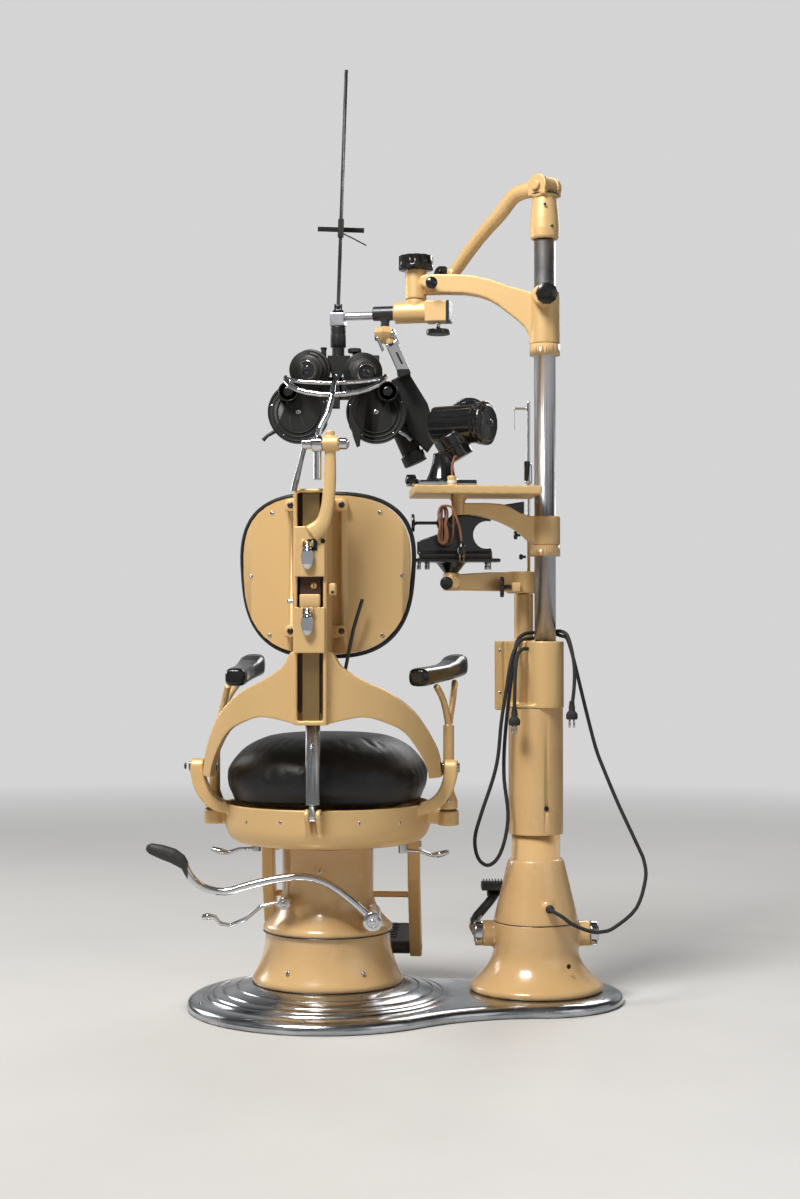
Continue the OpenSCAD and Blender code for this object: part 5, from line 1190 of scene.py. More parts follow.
@dataclass
class Studio(Assembly):
    """Camera, floor, lamps and surroundings.

    Attributes:
        eye: the camera's place in metres.
        pitch: how far the camera looks up, in degrees.
        lens: focal length in mm.
        pale: brightness of the surroundings that the camera sees.
        ambient: brightness of the light from all sides.
        aim: the point that every lamp faces.
        lamps: name, place and side in metres, power in watts and tint of each lamp.
        floor_r: the floor's radius in metres.
        floor_z: its height, just below the base plate.
    """

    eye: Point = (0.155, -3.975, 0.805)
    pitch: float = 1.0
    lens: float = 55.25
    pale: float = 0.66
    ambient: float = 0.11
    aim: Point = (0.1, 0, 0.95)
    lamps: tuple = (("key_lamp", (-1.2, -2.0, 4.1), 1.3, 225, (1, 0.985, 0.96)),
                    ("fill_lamp", (2.9, -2.4, 1.9), 2.0, 9, (0.96, 0.98, 1)),
                    ("rim_lamp", (1.6, 2.8, 2.8), 1.6, 45, (1, 1, 1)),
                    ("edge_lamp", (-2.6, 1.9, 1.6), 1.2, 28, (1, 1, 1)))
    floor_r: float = 14.0
    floor_z: float = -0.0006

    def camera(self) -> None:
        """Puts the camera where the photograph was taken."""
        data = bpy.data.cameras.new("camera")
        data.lens, data.sensor_width, data.sensor_fit = self.lens, 36.0, "AUTO"
        data.clip_end = 60.0
        made = bpy.data.objects.new("camera", data)
        made.location = self.eye
        made.rotation_euler = (math.radians(90 + self.pitch), 0, 0)
        bpy.context.scene.collection.objects.link(made)
        bpy.context.scene.camera = made

    def lamp(self, name: str, at: Point, size: float, power: float, tint: Colour) -> None:
        """A soft square lamp.

        Args:
            name: its name.
            at: its place in metres.
            size: its side in metres.
            power: its power in watts.
            tint: its colour.
        """
        data = bpy.data.lights.new(name, "AREA")
        data.size, data.energy, data.color = size, power, tint
        made = bpy.data.objects.new(name, data)
        made.location = at
        made.rotation_euler = (Vector(self.aim) - Vector(at)).to_track_quat("-Z", "Y").to_euler()
        bpy.context.scene.collection.objects.link(made)

    def details(self) -> None:
        """Lamps, floor and world."""
        for name, at, size, power, tint in self.lamps:
            self.lamp(name, at, size, power, tint)
        self.world()
        floor = bpy.data.meshes.new("floor")
        disc = bmesh.new()
        bmesh.ops.create_circle(disc, cap_ends=True, segments=96, radius=self.floor_r)
        disc.to_mesh(floor)
        disc.free()
        made = bpy.data.objects.new("floor", floor)
        bpy.context.scene.collection.objects.link(made)
        made.location.z = self.floor_z
        floor.materials.append(self.floor_finish())
        made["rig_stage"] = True
        bpy.context.scene.view_settings.view_transform = "Standard"

    def world(self) -> None:
        """Pale surroundings for the camera, a shaded room for reflections."""
        world = bpy.data.worlds.new("studio")
        bpy.context.scene.world = world
        world.use_nodes = True
        tree = world.node_tree
        sky = tree.nodes["Background"]
        path = node(tree, "ShaderNodeLightPath")
        place = node(tree, "ShaderNodeTexCoord").outputs["Generated"]
        ways = node(tree, "ShaderNodeSeparateXYZ", Vector=place).outputs
        band = span(tree, ways[2], -0.05, 0.7, 0.5, 0.12)
        patches = span(tree, noise(tree, place, 1.8, 1), 0.43, 0.55, 0.3, 1.3)
        band = sums(tree, "MULTIPLY", band, patches)
        band = sums(tree, "MAXIMUM", band, span(tree, ways[1], -0.98, -0.92, 0.5, 0))
        room = node(tree, "ShaderNodeCombineColor", Red=band, Green=band, Blue=band).outputs[0]
        soft = tuple([self.ambient] * 3)
        seen = tuple([self.pale] * 3)
        colour = blend_colours(tree, path.outputs["Is Glossy Ray"], soft, room)
        colour = blend_colours(tree, path.outputs["Is Transmission Ray"], colour, seen)
        colour = blend_colours(tree, path.outputs["Is Camera Ray"], colour, seen)
        plug(tree, colour, sky.inputs["Color"])
        sky.inputs["Strength"].default_value = 1.0

    def floor_finish(self) -> bpy.types.Material:
        """Pale floor that fades into the surroundings.

        Returns:
            Its material.
        """
        made = bpy.data.materials.new("pale_floor")
        made.use_nodes = True
        tree = made.node_tree
        shader = tree.nodes["Principled BSDF"]
        place = node(tree, "ShaderNodeTexCoord").outputs["Object"]
        clouds = span(tree, noise(tree, place, 1.6, 4), 0.3, 0.7, 0, 1)
        plug(tree, blend_colours(tree, clouds, (0.6, 0.59, 0.575), (0.64, 0.63, 0.615)),
             shader.inputs["Base Color"])
        shader.inputs["Roughness"].default_value = 0.55
        far = node(tree, "ShaderNodeVectorMath", {"operation": "LENGTH"})
        plug(tree, place, far.inputs[0])
        seen = node(tree, "ShaderNodeLightPath").outputs["Is Camera Ray"]
        fade = sums(tree, "MULTIPLY", span(tree, far.outputs["Value"], 1.6, 6.0, 0, 1), seen)
        glow = node(tree, "ShaderNodeEmission", Color=(self.pale, self.pale, self.pale, 1))
        mixed = node(tree, "ShaderNodeMixShader", Fac=fade)
        plug(tree, shader.outputs[0], mixed.inputs[1])
        plug(tree, glow.outputs[0], mixed.inputs[2])
        plug(tree, mixed.outputs[0], tree.nodes["Material Output"].inputs["Surface"])
        return made


# Cords


@dataclass
class Cords(Assembly):
    """The leads of the stand and the flex of the instrument, along the source's routes, in mm.

    Attributes:
        lead_r: radius of the leads.
        flex_r: radius of the flex.
        hank_at: middle of the hank.
        hank_wide: half its width.
        hank_half: half its height.
        hank_pitch: spacing of its turns.
        turn_steps: how many points a turn has.
        hank_steps: the first point of its turns and the one after the last.
        waisted: how many points the hank is waisted for.
        mains: route from the gland on the cone up behind the sleeve.
        head: route from there along the pole to the plug.
        short: route of the short lead.
        flex: route from the instrument down to the hank.
        tail: route from the hank to the flex's plug.
    """

    lead_r: float = 4.0
    flex_r: float = 2.5
    hank_at: Point = (247, -62, 1032)
    hank_wide: float = 14.0
    hank_half: float = 40.0
    hank_pitch: float = 5.8
    turn_steps: int = 24
    hank_steps: tuple[int, int] = (-12, 97)
    waisted: int = 84
    mains: tuple = ((474, -48, 214), (474, -51, 214), (474, -54, 214), (482, -62, 210), (500, -66, 200),
                    (521, -68, 185), (558, -64, 170), (585, -58, 168), (612, -48, 176), (661, -24, 213),
                    (684, 0, 272), (682, 10, 310), (670, 14, 340), (629, 24, 430), (598, 28, 505),
                    (580, 30, 554), (556, 22, 645), (532, 20, 744), (520, 35, 788), (510, 44, 795),
                    (507, 47, 796), (504, 50, 797))
    head: tuple = ((498, 56, 799), (486, 62, 795), (470, 64, 791), (452, 58, 791),
                   (434, 40, 790), (418, 20, 786), (405, 5, 770), (394, -4, 738), (384, -10, 680),
                   (373, -11, 610), (366, -10, 537), (354, -10, 485), (330, -10, 414), (316, -9, 360),
                   (323, -7, 318), (344, -4, 302), (366, -1, 318), (382, 2, 360), (388, 3, 414),
                   (380, 4, 485), (380, 6, 545), (385, 8, 610), (393, 9, 680), (402, 16, 742),
                   (410, 33, 784), (428, 50, 800), (450, 67, 803), (472, 72, 804), (492, 66, 805),
                   (506, 46, 806), (518, 20, 797), (526, 4, 766), (531, -5, 727), (530, -8, 684),
                   (525, -10, 644))
    short: tuple = ((433, 16, 768), (428, 14, 768), (418, 4, 766), (408, -10, 754), (403, -22, 722),
                    (401, -28, 680), (400, -30, 632))
    flex: tuple = ((280, -34, 1176), (274, -44, 1180), (269, -54, 1170), (266, -61, 1152),
                   (266, -62, 1138), (266, -62, 1098), (267, -61, 1080), (269, -56, 1050),
                   (268, -50, 1015), (264, -48, 997), (257, -47.5, 992))
    tail: tuple = ((257, -73.6, 1072), (266, -77, 1067), (274, -82, 1048), (282, -80, 1022), (286, -78, 994))

    def plug(self, name: str, at: Point, body: str) -> bpy.types.Object:
        """A black moulded plug that points down, with ribs, a seam and two pins.

        Args:
            name: the piece's name.
            at: the cord's end, in millimetres.
            body: the body that it rides on.

        Returns:
            The plug.
        """
        made = Shaper(name, CORD, Matrix.Translation(at))
        made.lathe([(4.2, 12), (5.2, 11.5), (5.6, 4), (7, 0), (7, -9.5), (9.6, -12), (11.4, -14.5),
                    (12, -16), (12, -26.8), (11.2, -28), (0.1, -28)][::-1], steps=32)
        for z in (1.5, 4.5, 7.5):
            made.lathe([(5.2, -0.9), (6.3, -0.5), (6.3, 0.5), (5.2, 0.9)], (0, 0, z), steps=24)
        made.add(repeated(Repeat.RING, lambda s: s.block((-0.7, -1.1, -25), (0.7, 1.1, -17)), CORD, 18, 11.9),
                 IDENTITY)
        made.using(CHROME)
        for side in (-1, 1):
            made.rod((side * 4.75, 0, -45.8), (side * 4.75, 0, -27.5), 2.4, 0.9, 16)
        return made.made(body)

    def lead(self, name: str, nodes: Sequence[str], route: Sequence[Point], steps: int,
             relief: Sequence[Shaper] = ()) -> None:
        """One black lead of the stand with its plug.

        Args:
            name: the lead's name.
            nodes: the solids that it stands for.
            route: the points that it passes.
            steps: how many parts each stretch gets.
            relief: more pieces that belong to it, which are made here.
        """
        path = curved(route, steps)
        lead = Shaper(name, CORD, smooth=60).tube(path, self.lead_r, 12).made("stand")
        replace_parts(lead, *nodes)
        end = self.plug(name.removesuffix("_tube") + "_plug", route[-1], "stand")
        more = [each.made("stand") for each in relief]
        self.declare(lead, path, self.lead_r, "medium", "hanging", [end, *more])

    @staticmethod
    def declare(lead: bpy.types.Object, path: Sequence[Vector], radius: float, stiffness: str, lay: str,
                pieces: Sequence[bpy.types.Object]) -> None:
        """Works out the length of a cord's middle line, and keeps nothing of it.

        Args:
            lead: the cord; not used.
            path: its middle line, in millimetres.
            radius: its radius, in millimetres; not used.
            stiffness: how stiff it is; not used.
            lay: how it lies; not used.
            pieces: what belongs to it; not used.
        """
        walked = [p * MM for p in path]
        tuple(walked[0])
        span_of(walked)

    def details(self) -> None:
        """Makes the leads first, then the flex."""
        relief = Shaper("stand_lead_relief", RUBBER).lathe(
            [(9.4, -0.5), (9.4, 1.5), (7.4, 3.2), (6.3, 5), (5, 5.8), (4.1, 6)], self.mains[0], Pose.REAR, 28)
        self.lead("stand_lead", ("mains_lead", "head_lead"), (*self.mains, *self.head), 4, [relief])
        self.lead("short_lead_tube", ("short_lead",), self.short, 5)
        self.braided()

    def hank(self) -> list[Vector]:
        """The hank's turns, which the flex is wound in below the table.

        Returns:
            Their points.
        """
        points = []
        for k in range(*self.hank_steps):
            a = math.tau * k / self.turn_steps
            wide = self.hank_wide
            if 0 < k < self.waisted:
                wide *= 0.66 + 0.34 * math.cos(math.tau * k / (self.waisted / 2))
            aside = wide * math.sin(a) * (0.45 + 0.55 * abs(math.cos(a)) * 1.3)
            points.append(Vector((self.hank_at[0] + aside,
                                  self.hank_at[1] + self.hank_pitch * (2 - k / self.turn_steps),
                                  self.hank_at[2] + self.hank_half * math.cos(a))))
        return points

    def braided(self) -> None:
        """The braided flex: down from the instrument, round its hank and on to its plug."""
        hank = self.hank()
        path = [*curved([*self.flex, hank[0]], 4)[:-1], *curved(hank, 2)[:-1],
                *curved([hank[-1], *self.tail], 4)]
        flex = Shaper("braided_flex", FLEX, smooth=60).tube(path, self.flex_r, 10).made("table")
        flex.parent = None
        if "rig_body" in flex:
            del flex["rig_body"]
        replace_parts(flex, "flex_lead", "flex_hank", "flex_tail")
        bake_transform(flex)
        end = Shaper("flex_plug", BAKELITE, Matrix.Translation(self.tail[-1]))
        end.lathe([(0.1, -24), (8.4, -24), (9.2, -23), (9.2, -10), (8.4, -8), (5.2, -4), (4.6, 3.5), (3, 4)],
                  steps=28)
        end.using(BRASS)
        for side in (-1, 1):
            end.rod((side * 4, 0, -40), (side * 4, 0, -23.5), 1.8, 0.7, 14)
        self.declare(flex, path, self.flex_r, "limp", "coiled", [end.made("table")])


def span_of(points: Sequence[Vector]) -> float:
    """How long a line of points is."""
    return sum((b - a).length for a, b in zip(points, points[1:]))


# Base


@dataclass
class BasePlate(Assembly):
    """The chromed plate: a disc that narrows to a smaller lobe under the stand, with a grooved crown.

    Attributes:
        disc: radius under the chair.
        lobe: radius under the stand.
        waist: radius of the hollow between them.
        far: where the straight far side lies.
        rim: (inset, height) pairs of the rim, from below.
        crown: (radius, height) pairs of the crown, from its rim inward.
        screw_ring: radius of the ring of screws.
        screw_angles: where they stand on it, in degrees.
    """

    disc: float = 302.0
    lobe: float = 190.0
    waist: float = 400.0
    far: float = 205.0
    rim: tuple = ((7, 0), (2, 1.2), (0.2, 5), (0, 9), (1.2, 14), (4, 18.5), (9, 22), (16, 24.4), (26, 26))
    crown: tuple = ((268, 24), (265, 27.6), (260, 26.6), (258, 29.5), (256, 31), (250, 33), (247, 30.5),
                    (245, 33.5), (243, 34.8), (228, 38), (225, 35.5), (223, 38.5), (221, 40), (198, 46),
                    (195, 43.5), (193, 46.5), (190, 47.7), (170, 54), (166, 55), (150, 55), (0.1, 55))
    screw_ring: float = 281.0
    screw_angles: tuple = (200, 262, 318)

    @staticmethod
    def arc(middle: Vector, radius: float, start: float, end: float, steps: int) -> list[Vector]:
        """Points of an arc, without its last point.

        Args:
            middle: the arc's middle.
            radius: its radius.
            start: its first angle.
            end: its last angle.
            steps: how many parts it has.

        Returns:
            The points.
        """
        return [middle + radius * Vector((math.cos(a), math.sin(a)))
                for a in (start + (end - start) * k / steps for k in range(steps))]

    def outline(self) -> list[Vector]:
        """The plate's outline, counter-clockwise from above.

        Returns:
            Its points.
        """
        stand = Vector(STAND_SPOT).xy
        gap, axis = stand.length, math.atan2(stand.y, stand.x)
        along = ((self.disc + self.waist) ** 2 - (self.lobe + self.waist) ** 2 + gap ** 2) / (2 * gap)
        aside = math.sqrt((self.disc + self.waist) ** 2 - along ** 2)
        first = axis - math.atan2(aside, along)
        hollow = (self.disc + self.waist) * Vector((math.cos(first), math.sin(first)))
        toward = math.atan2(stand.y - hollow.y, stand.x - hollow.x)
        left = math.atan2(self.far, math.sqrt(self.disc ** 2 - self.far ** 2))
        rise = self.far - stand.y
        right = math.atan2(rise, -math.sqrt(self.lobe ** 2 - rise ** 2))
        points = self.arc(Vector((0, 0)), self.disc, left, first + math.tau, 120)
        points += self.arc(hollow, self.waist, first + math.pi, toward, 40)
        points += self.arc(stand, self.lobe, toward - math.pi, right, 84)
        end = stand + self.lobe * Vector((math.cos(right), math.sin(right)))
        return points + [end.lerp(points[0], k / 8) for k in range(8)]

    def inset(self, outline: Sequence[Vector], reach: float, z: float) -> list[Vector]:
        """The outline moved inward, at a height.

        Args:
            outline: the outline, counter-clockwise from above.
            reach: how far it moves inward.
            z: the height.

        Returns:
            The ring's points.
        """
        ring = []
        for k, spot in enumerate(outline):
            a = (spot - outline[k - 1]).normalized()
            b = (outline[(k + 1) % len(outline)] - spot).normalized()
            inward = Vector((-a.y - b.y, a.x + b.x)).normalized()
            inward /= max(0.5, inward.dot(Vector((-a.y, a.x))))
            ring.append(Vector((spot.x + inward.x * reach, spot.y + inward.y * reach, z)))
        return ring

    def details(self) -> None:
        """The plate and the screws on its crown."""
        plate = Shaper("base_plate_dressed", OLD_CHROME, smooth=50)
        outline = self.outline()
        plate.skin([self.inset(outline, reach, z) for reach, z in self.rim])
        plate.lathe(self.crown, steps=144)
        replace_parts(plate.made("base"), "base_plate")
        made = Shaper("plate_screws", CHROME)
        for angle in self.screw_angles:
            a = math.radians(angle)
            made.screw((self.screw_ring * math.cos(a), self.screw_ring * math.sin(a), 25.2), Pose.UP, 5,
                       angle, 1.6)
        made.made("base")


@dataclass
class Pedestal(Assembly):
    """Skirt, pump drum, cylinder and ram of the chair, with the two levers.

    Attributes:
        seams: (radius, height) of the dark seam rings between the castings; the lowest, where the skirt
            stands on the plate, is also painted shadow under the skirt.
        screws: (angle, radius, height) of the set screws.
        grip_x: where the pump lever's rubber tread starts.
        release_at: face of the release lever's hub.
        pump_at: face of the pump lever's hub.
    """

    seams: tuple = ((162.3, 55.2), (138.8, 164))
    screws: tuple = ((238, 150, 92), (302, 150, 92), (262, 98.4, 300))
    grip_x: float = -284.0
    release_at: Point = (-87.7, -113, 235)
    pump_at: Point = (98.8, -167.5, 206)

    def solids(self) -> Iterable[Solid]:
        """The turned castings.

        Yields:
            Each solid with its finish.
        """
        yield Solid("pedestal_skirt", CREAM_LATHED)
        yield Solid("pump_housing", CREAM_LATHED, angle=30)
        yield Solid("lift_cylinder", STEEL)
        yield Solid("lift_ram", CREAM_LATHED)
        yield Solid("pump_lever", CHROME, Edges.FINE, ((lambda p: p.x < self.grip_x, RUBBER),))
        yield Solid("release_lever", CHROME, Edges.FINE)

    def details(self) -> None:
        """Seams, set screws and the hubs' nuts."""
        made = Shaper("pedestal_seams", DARK_STEEL)
        # The lowest ring is partly a dark joint and partly painted shadow at the skirt's foot.
        for (r, z), lip in zip(self.seams, (0.3, 0.5)):
            made.lathe([(r, 0), (r + lip, 0.6), (r, 1.2)], (0, 0, z), steps=72)
        made.using(CHROME)
        for angle, r, z in self.screws:
            a = math.radians(angle)
            made.screw((r * math.cos(a), r * math.sin(a), z), Vector((math.cos(a), math.sin(a), 0.2)), 5, 0.7)
        made.made("base")
        nut = Shaper("release_nut", CHROME)
        nut.lathe([(9.5, 0), (10.2, 0.8), (10.2, 4.2), (9.5, 5)], self.release_at, Pose.REAR, 6, True)
        nut.dome((self.release_at[0], self.release_at[1] - 4.9, self.release_at[2]), Pose.REAR, 6.6, 4)
        nut.made("release")
        cap = Shaper("pump_cap", CHROME)
        cap.lathe([(19, 0), (20, 1), (20, 4), (18.5, 5.2), (12, 5.8), (11, 4.6), (6.4, 4.6), (5.6, 6),
                   (0.1, 6.6)], self.pump_at, Pose.REAR, 36)
        cap.made("pump")


@dataclass
class StandFoot(Assembly):
    """Foot, cone and foot pedal of the instrument stand.

    Attributes:
        seam: (radius, height) of the seam between foot and cone.
        hub: (distance from the stand's axis, height) of the pedal's hubs.
        ribs: how many ribs the tread has.
        rib_step: their spacing.
        ribs_at: the first rib's place.
    """

    seam: tuple[float, float] = (92.2, 174.8)
    hub: tuple[float, float] = (131.5, 147)
    ribs: int = 9
    rib_step: float = 6.6
    ribs_at: Point = (344.5, 184, 242.6)

    def solids(self) -> Iterable[Solid]:
        """Turned castings and the pedal.

        Yields:
            Each solid with its finish.
        """
        yield Solid("stand_foot", CREAM_LATHED, Edges.HEAVY, rounds=4)
        yield Solid("stand_cone", CREAM_LATHED, angle=30)
        yield Solid("pedal_arm", GREY, Edges.FINE,
                    ((lambda p: abs(p.x - STAND_SPOT[0]) > 112 and p.y < 90, CHROME),))
        yield Solid("pedal_tread", RUBBER, Edges.FINE)

    def details(self) -> None:
        """The seam, a dark disc as a hole's painted shade, the pedal's caps and the tread's ribs."""
        made = Shaper("stand_foot_marks", DARK_STEEL, STAND)
        r, z = self.seam
        made.lathe([(r, 0), (r + 0.4, 0.5), (r, 1)], (0, 0, z), steps=64)
        # Painted shade: a dark disc stands for the inside of a hole.
        made.using(HOLE_SHADE)
        made.lathe([(5.2, -1), (5.2, 0.5), (4, 0.6), (3.6, -0.4), (0.1, -0.5)], (62.5, -100.5, 92),
                   Vector((0.5, -0.84, 0.1)), 20)
        made.made("base")
        caps = Shaper("pedal_caps", CHROME, STAND)
        for side in (-1, 1):
            caps.lathe([(18, 0), (19.5, 1), (19.5, 3), (17, 4.6), (9, 5.4), (8, 4.2), (0.1, 4.2)],
                       (side * self.hub[0], 0, self.hub[1]), Pose.sideways(side), 36)
        caps.made("pedal")
        tread = Shaper("pedal_ribs", RUBBER)
        tread.add(repeated(Repeat.ROW, lambda s: s.block((-1.4, -25, 0), (1.4, 25, 2.4), 0.8), RUBBER,
                           self.ribs, self.rib_step), Matrix.Translation(self.ribs_at))
        tread.made("pedal")


# Chair


def swollen(name: str, finish: Finish, body: str, cap: float, voxel: float = 5.0, shrink: float = 0.985,
            pressure: float = 4.0) -> None:
    """A cushion that replaces its solid, swollen by cloth simulation.

    Args:
        name: the node.
        finish: the cover.
        body: the body that it rides on.
        cap: how far a point may move, in millimetres.
        voxel: the copy's voxel size, in millimetres.
        shrink: how much smaller the copy starts.
        pressure: the cloth's inner pressure.
    """
    solid = FRAME["nodes"][name]
    mesh = solid.data.copy()
    piece = bpy.data.objects.new(name + "_cover", mesh)
    bpy.context.scene.collection.objects.link(piece)
    middle = sum((Vector(c) for c in solid.bound_box), Vector()) / 8
    mesh.transform(Matrix.Translation(middle) @ Matrix.Scale(shrink, 4) @ Matrix.Translation(-middle))
    rounding(piece, voxel, 8)
    scene = bpy.context.scene
    start = [v.co.copy() for v in piece.data.vertices]
    cloth = piece.modifiers.new("cloth", "CLOTH")
    cloth.settings.use_pressure = True
    cloth.settings.uniform_pressure_force = pressure
    cloth.settings.effector_weights.gravity = 0
    cloth.settings.quality = 5
    for frame in range(1, 21):
        scene.frame_set(frame)
    bake_modifiers(piece)
    scene.frame_set(1)
    for vertex, before in zip(piece.data.vertices, start):
        move = vertex.co - before
        if move.length > cap * MM:
            vertex.co = before + move.normalized() * cap * MM
    level = piece.modifiers.new("finer", "SUBSURF")
    level.levels = level.render_levels = 1
    bake_modifiers(piece)
    piece.data.materials.clear()
    piece.data.materials.append(finish.material())
    piece.data.shade_smooth()
    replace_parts(piece, name)
    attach(piece, body)


@dataclass
class Seat(Assembly):
    """Bowl, brackets, pins and cushion.

    Attributes:
        bowl_r: radius of the bowl's rim.
        pin_ends: X of the pivot pins' ends.
        pin: Y and Z of the pins.
        screws: X and Z of the bowl's screws.
    """

    bowl_r: float = 221.0
    pin_ends: tuple[float, float] = (-293.0, 281.0)
    pin: tuple[float, float] = (-75.0, 519.0)
    screws: tuple = ((-150, 409), (168, 409), (-72, 413), (90, 413))

    def solids(self) -> Iterable[Solid]:
        """The seat's castings and levers.

        Yields:
            Each solid with its finish.
        """
        yield Solid("seat_frame", CREAM, Edges.HEAVY, angle=30)
        yield Solid("pivot_pins", OLD_CHROME)
        yield Solid("turn_lock_lever", OLD_CHROME, Edges.FINE)
        yield Solid("legrest_lever", CHROME, Edges.FINE)

    def details(self) -> None:
        """Cushion, pin heads and screws."""
        swollen("seat_cushion", LEATHER, "seat", 6)
        made = Shaper("pivot_heads", DARK_STEEL, CHAIR)
        for side, x in zip((-1, 1), self.pin_ends):
            made.dome((x + 3 * side, *self.pin), Pose.sideways(side), 7, 3)
        made.using(CHROME)
        for x, z in self.screws:
            y = -math.sqrt(self.bowl_r ** 2 - x * x) + 0.5
            made.screw((x, y, z), Vector((x / self.bowl_r, y / self.bowl_r, 0)), 4.2, 0.8, 1.2)
        made.made("seat")


@dataclass
class Armrests(Assembly):
    """Both armrests.

    Attributes:
        posts: X of the posts, by side.
        seam_z: height of the seams at the cups.
    """

    posts: tuple = (("left", -242), ("right", 262))
    seam_z: float = 424.6

    def solids(self) -> Iterable[Solid]:
        """Castings and pads."""
        for side, _ in self.posts:
            yield Solid("arm_frame_" + side, CREAM, Edges.CAST)
            yield Solid("arm_pad_" + side, BAKELITE, Edges.CAST, rounds=6)

    def details(self) -> None:
        """Seams at the cups and screws under the pads."""
        for side, x in self.posts:
            made = Shaper("arm_seams_" + side, DARK_STEEL, CHAIR)
            made.lathe([(20.2, 0), (20.5, 0.5), (20.2, 1)], (x, -30, self.seam_z), steps=36)
            made.using(CHROME)
            made.screw((x, -50, 446), Pose.REAR, 3.4, 0.4, 1.4)
            made.made("arm_" + side)


@dataclass
class Legrest(Assembly):
    """Legs, steel guide and tread.

    Attributes:
        hinge: the tread's hinge.
        tilt: how far the tread is tilted, in degrees.
        ribs: how many ribs it has.
        rib_step: their spacing.
    """

    hinge: Point = (0, 202.4, 94.3)
    tilt: float = 14.0
    ribs: int = 6
    rib_step: float = 14.0

    def solids(self) -> Iterable[Solid]:
        """Legs and tread."""
        yield Solid("legrest_frame", CREAM, Edges.CAST)
        yield Solid("foot_tread", RUBBER, Edges.CAST)

    def details(self) -> None:
        """The tread's ribs."""
        made = Shaper("tread_ribs", RUBBER, CHAIR @ turn(self.tilt, "X", self.hinge))
        made.add(repeated(Repeat.ROW, lambda s: s.block((-1, -118, -1), (3, 118, 1.6), 0.8), RUBBER,
                          self.ribs, self.rib_step),
                 Matrix.Translation((11, 222, 109.6)) @ turn(90))
        made.made("tread")


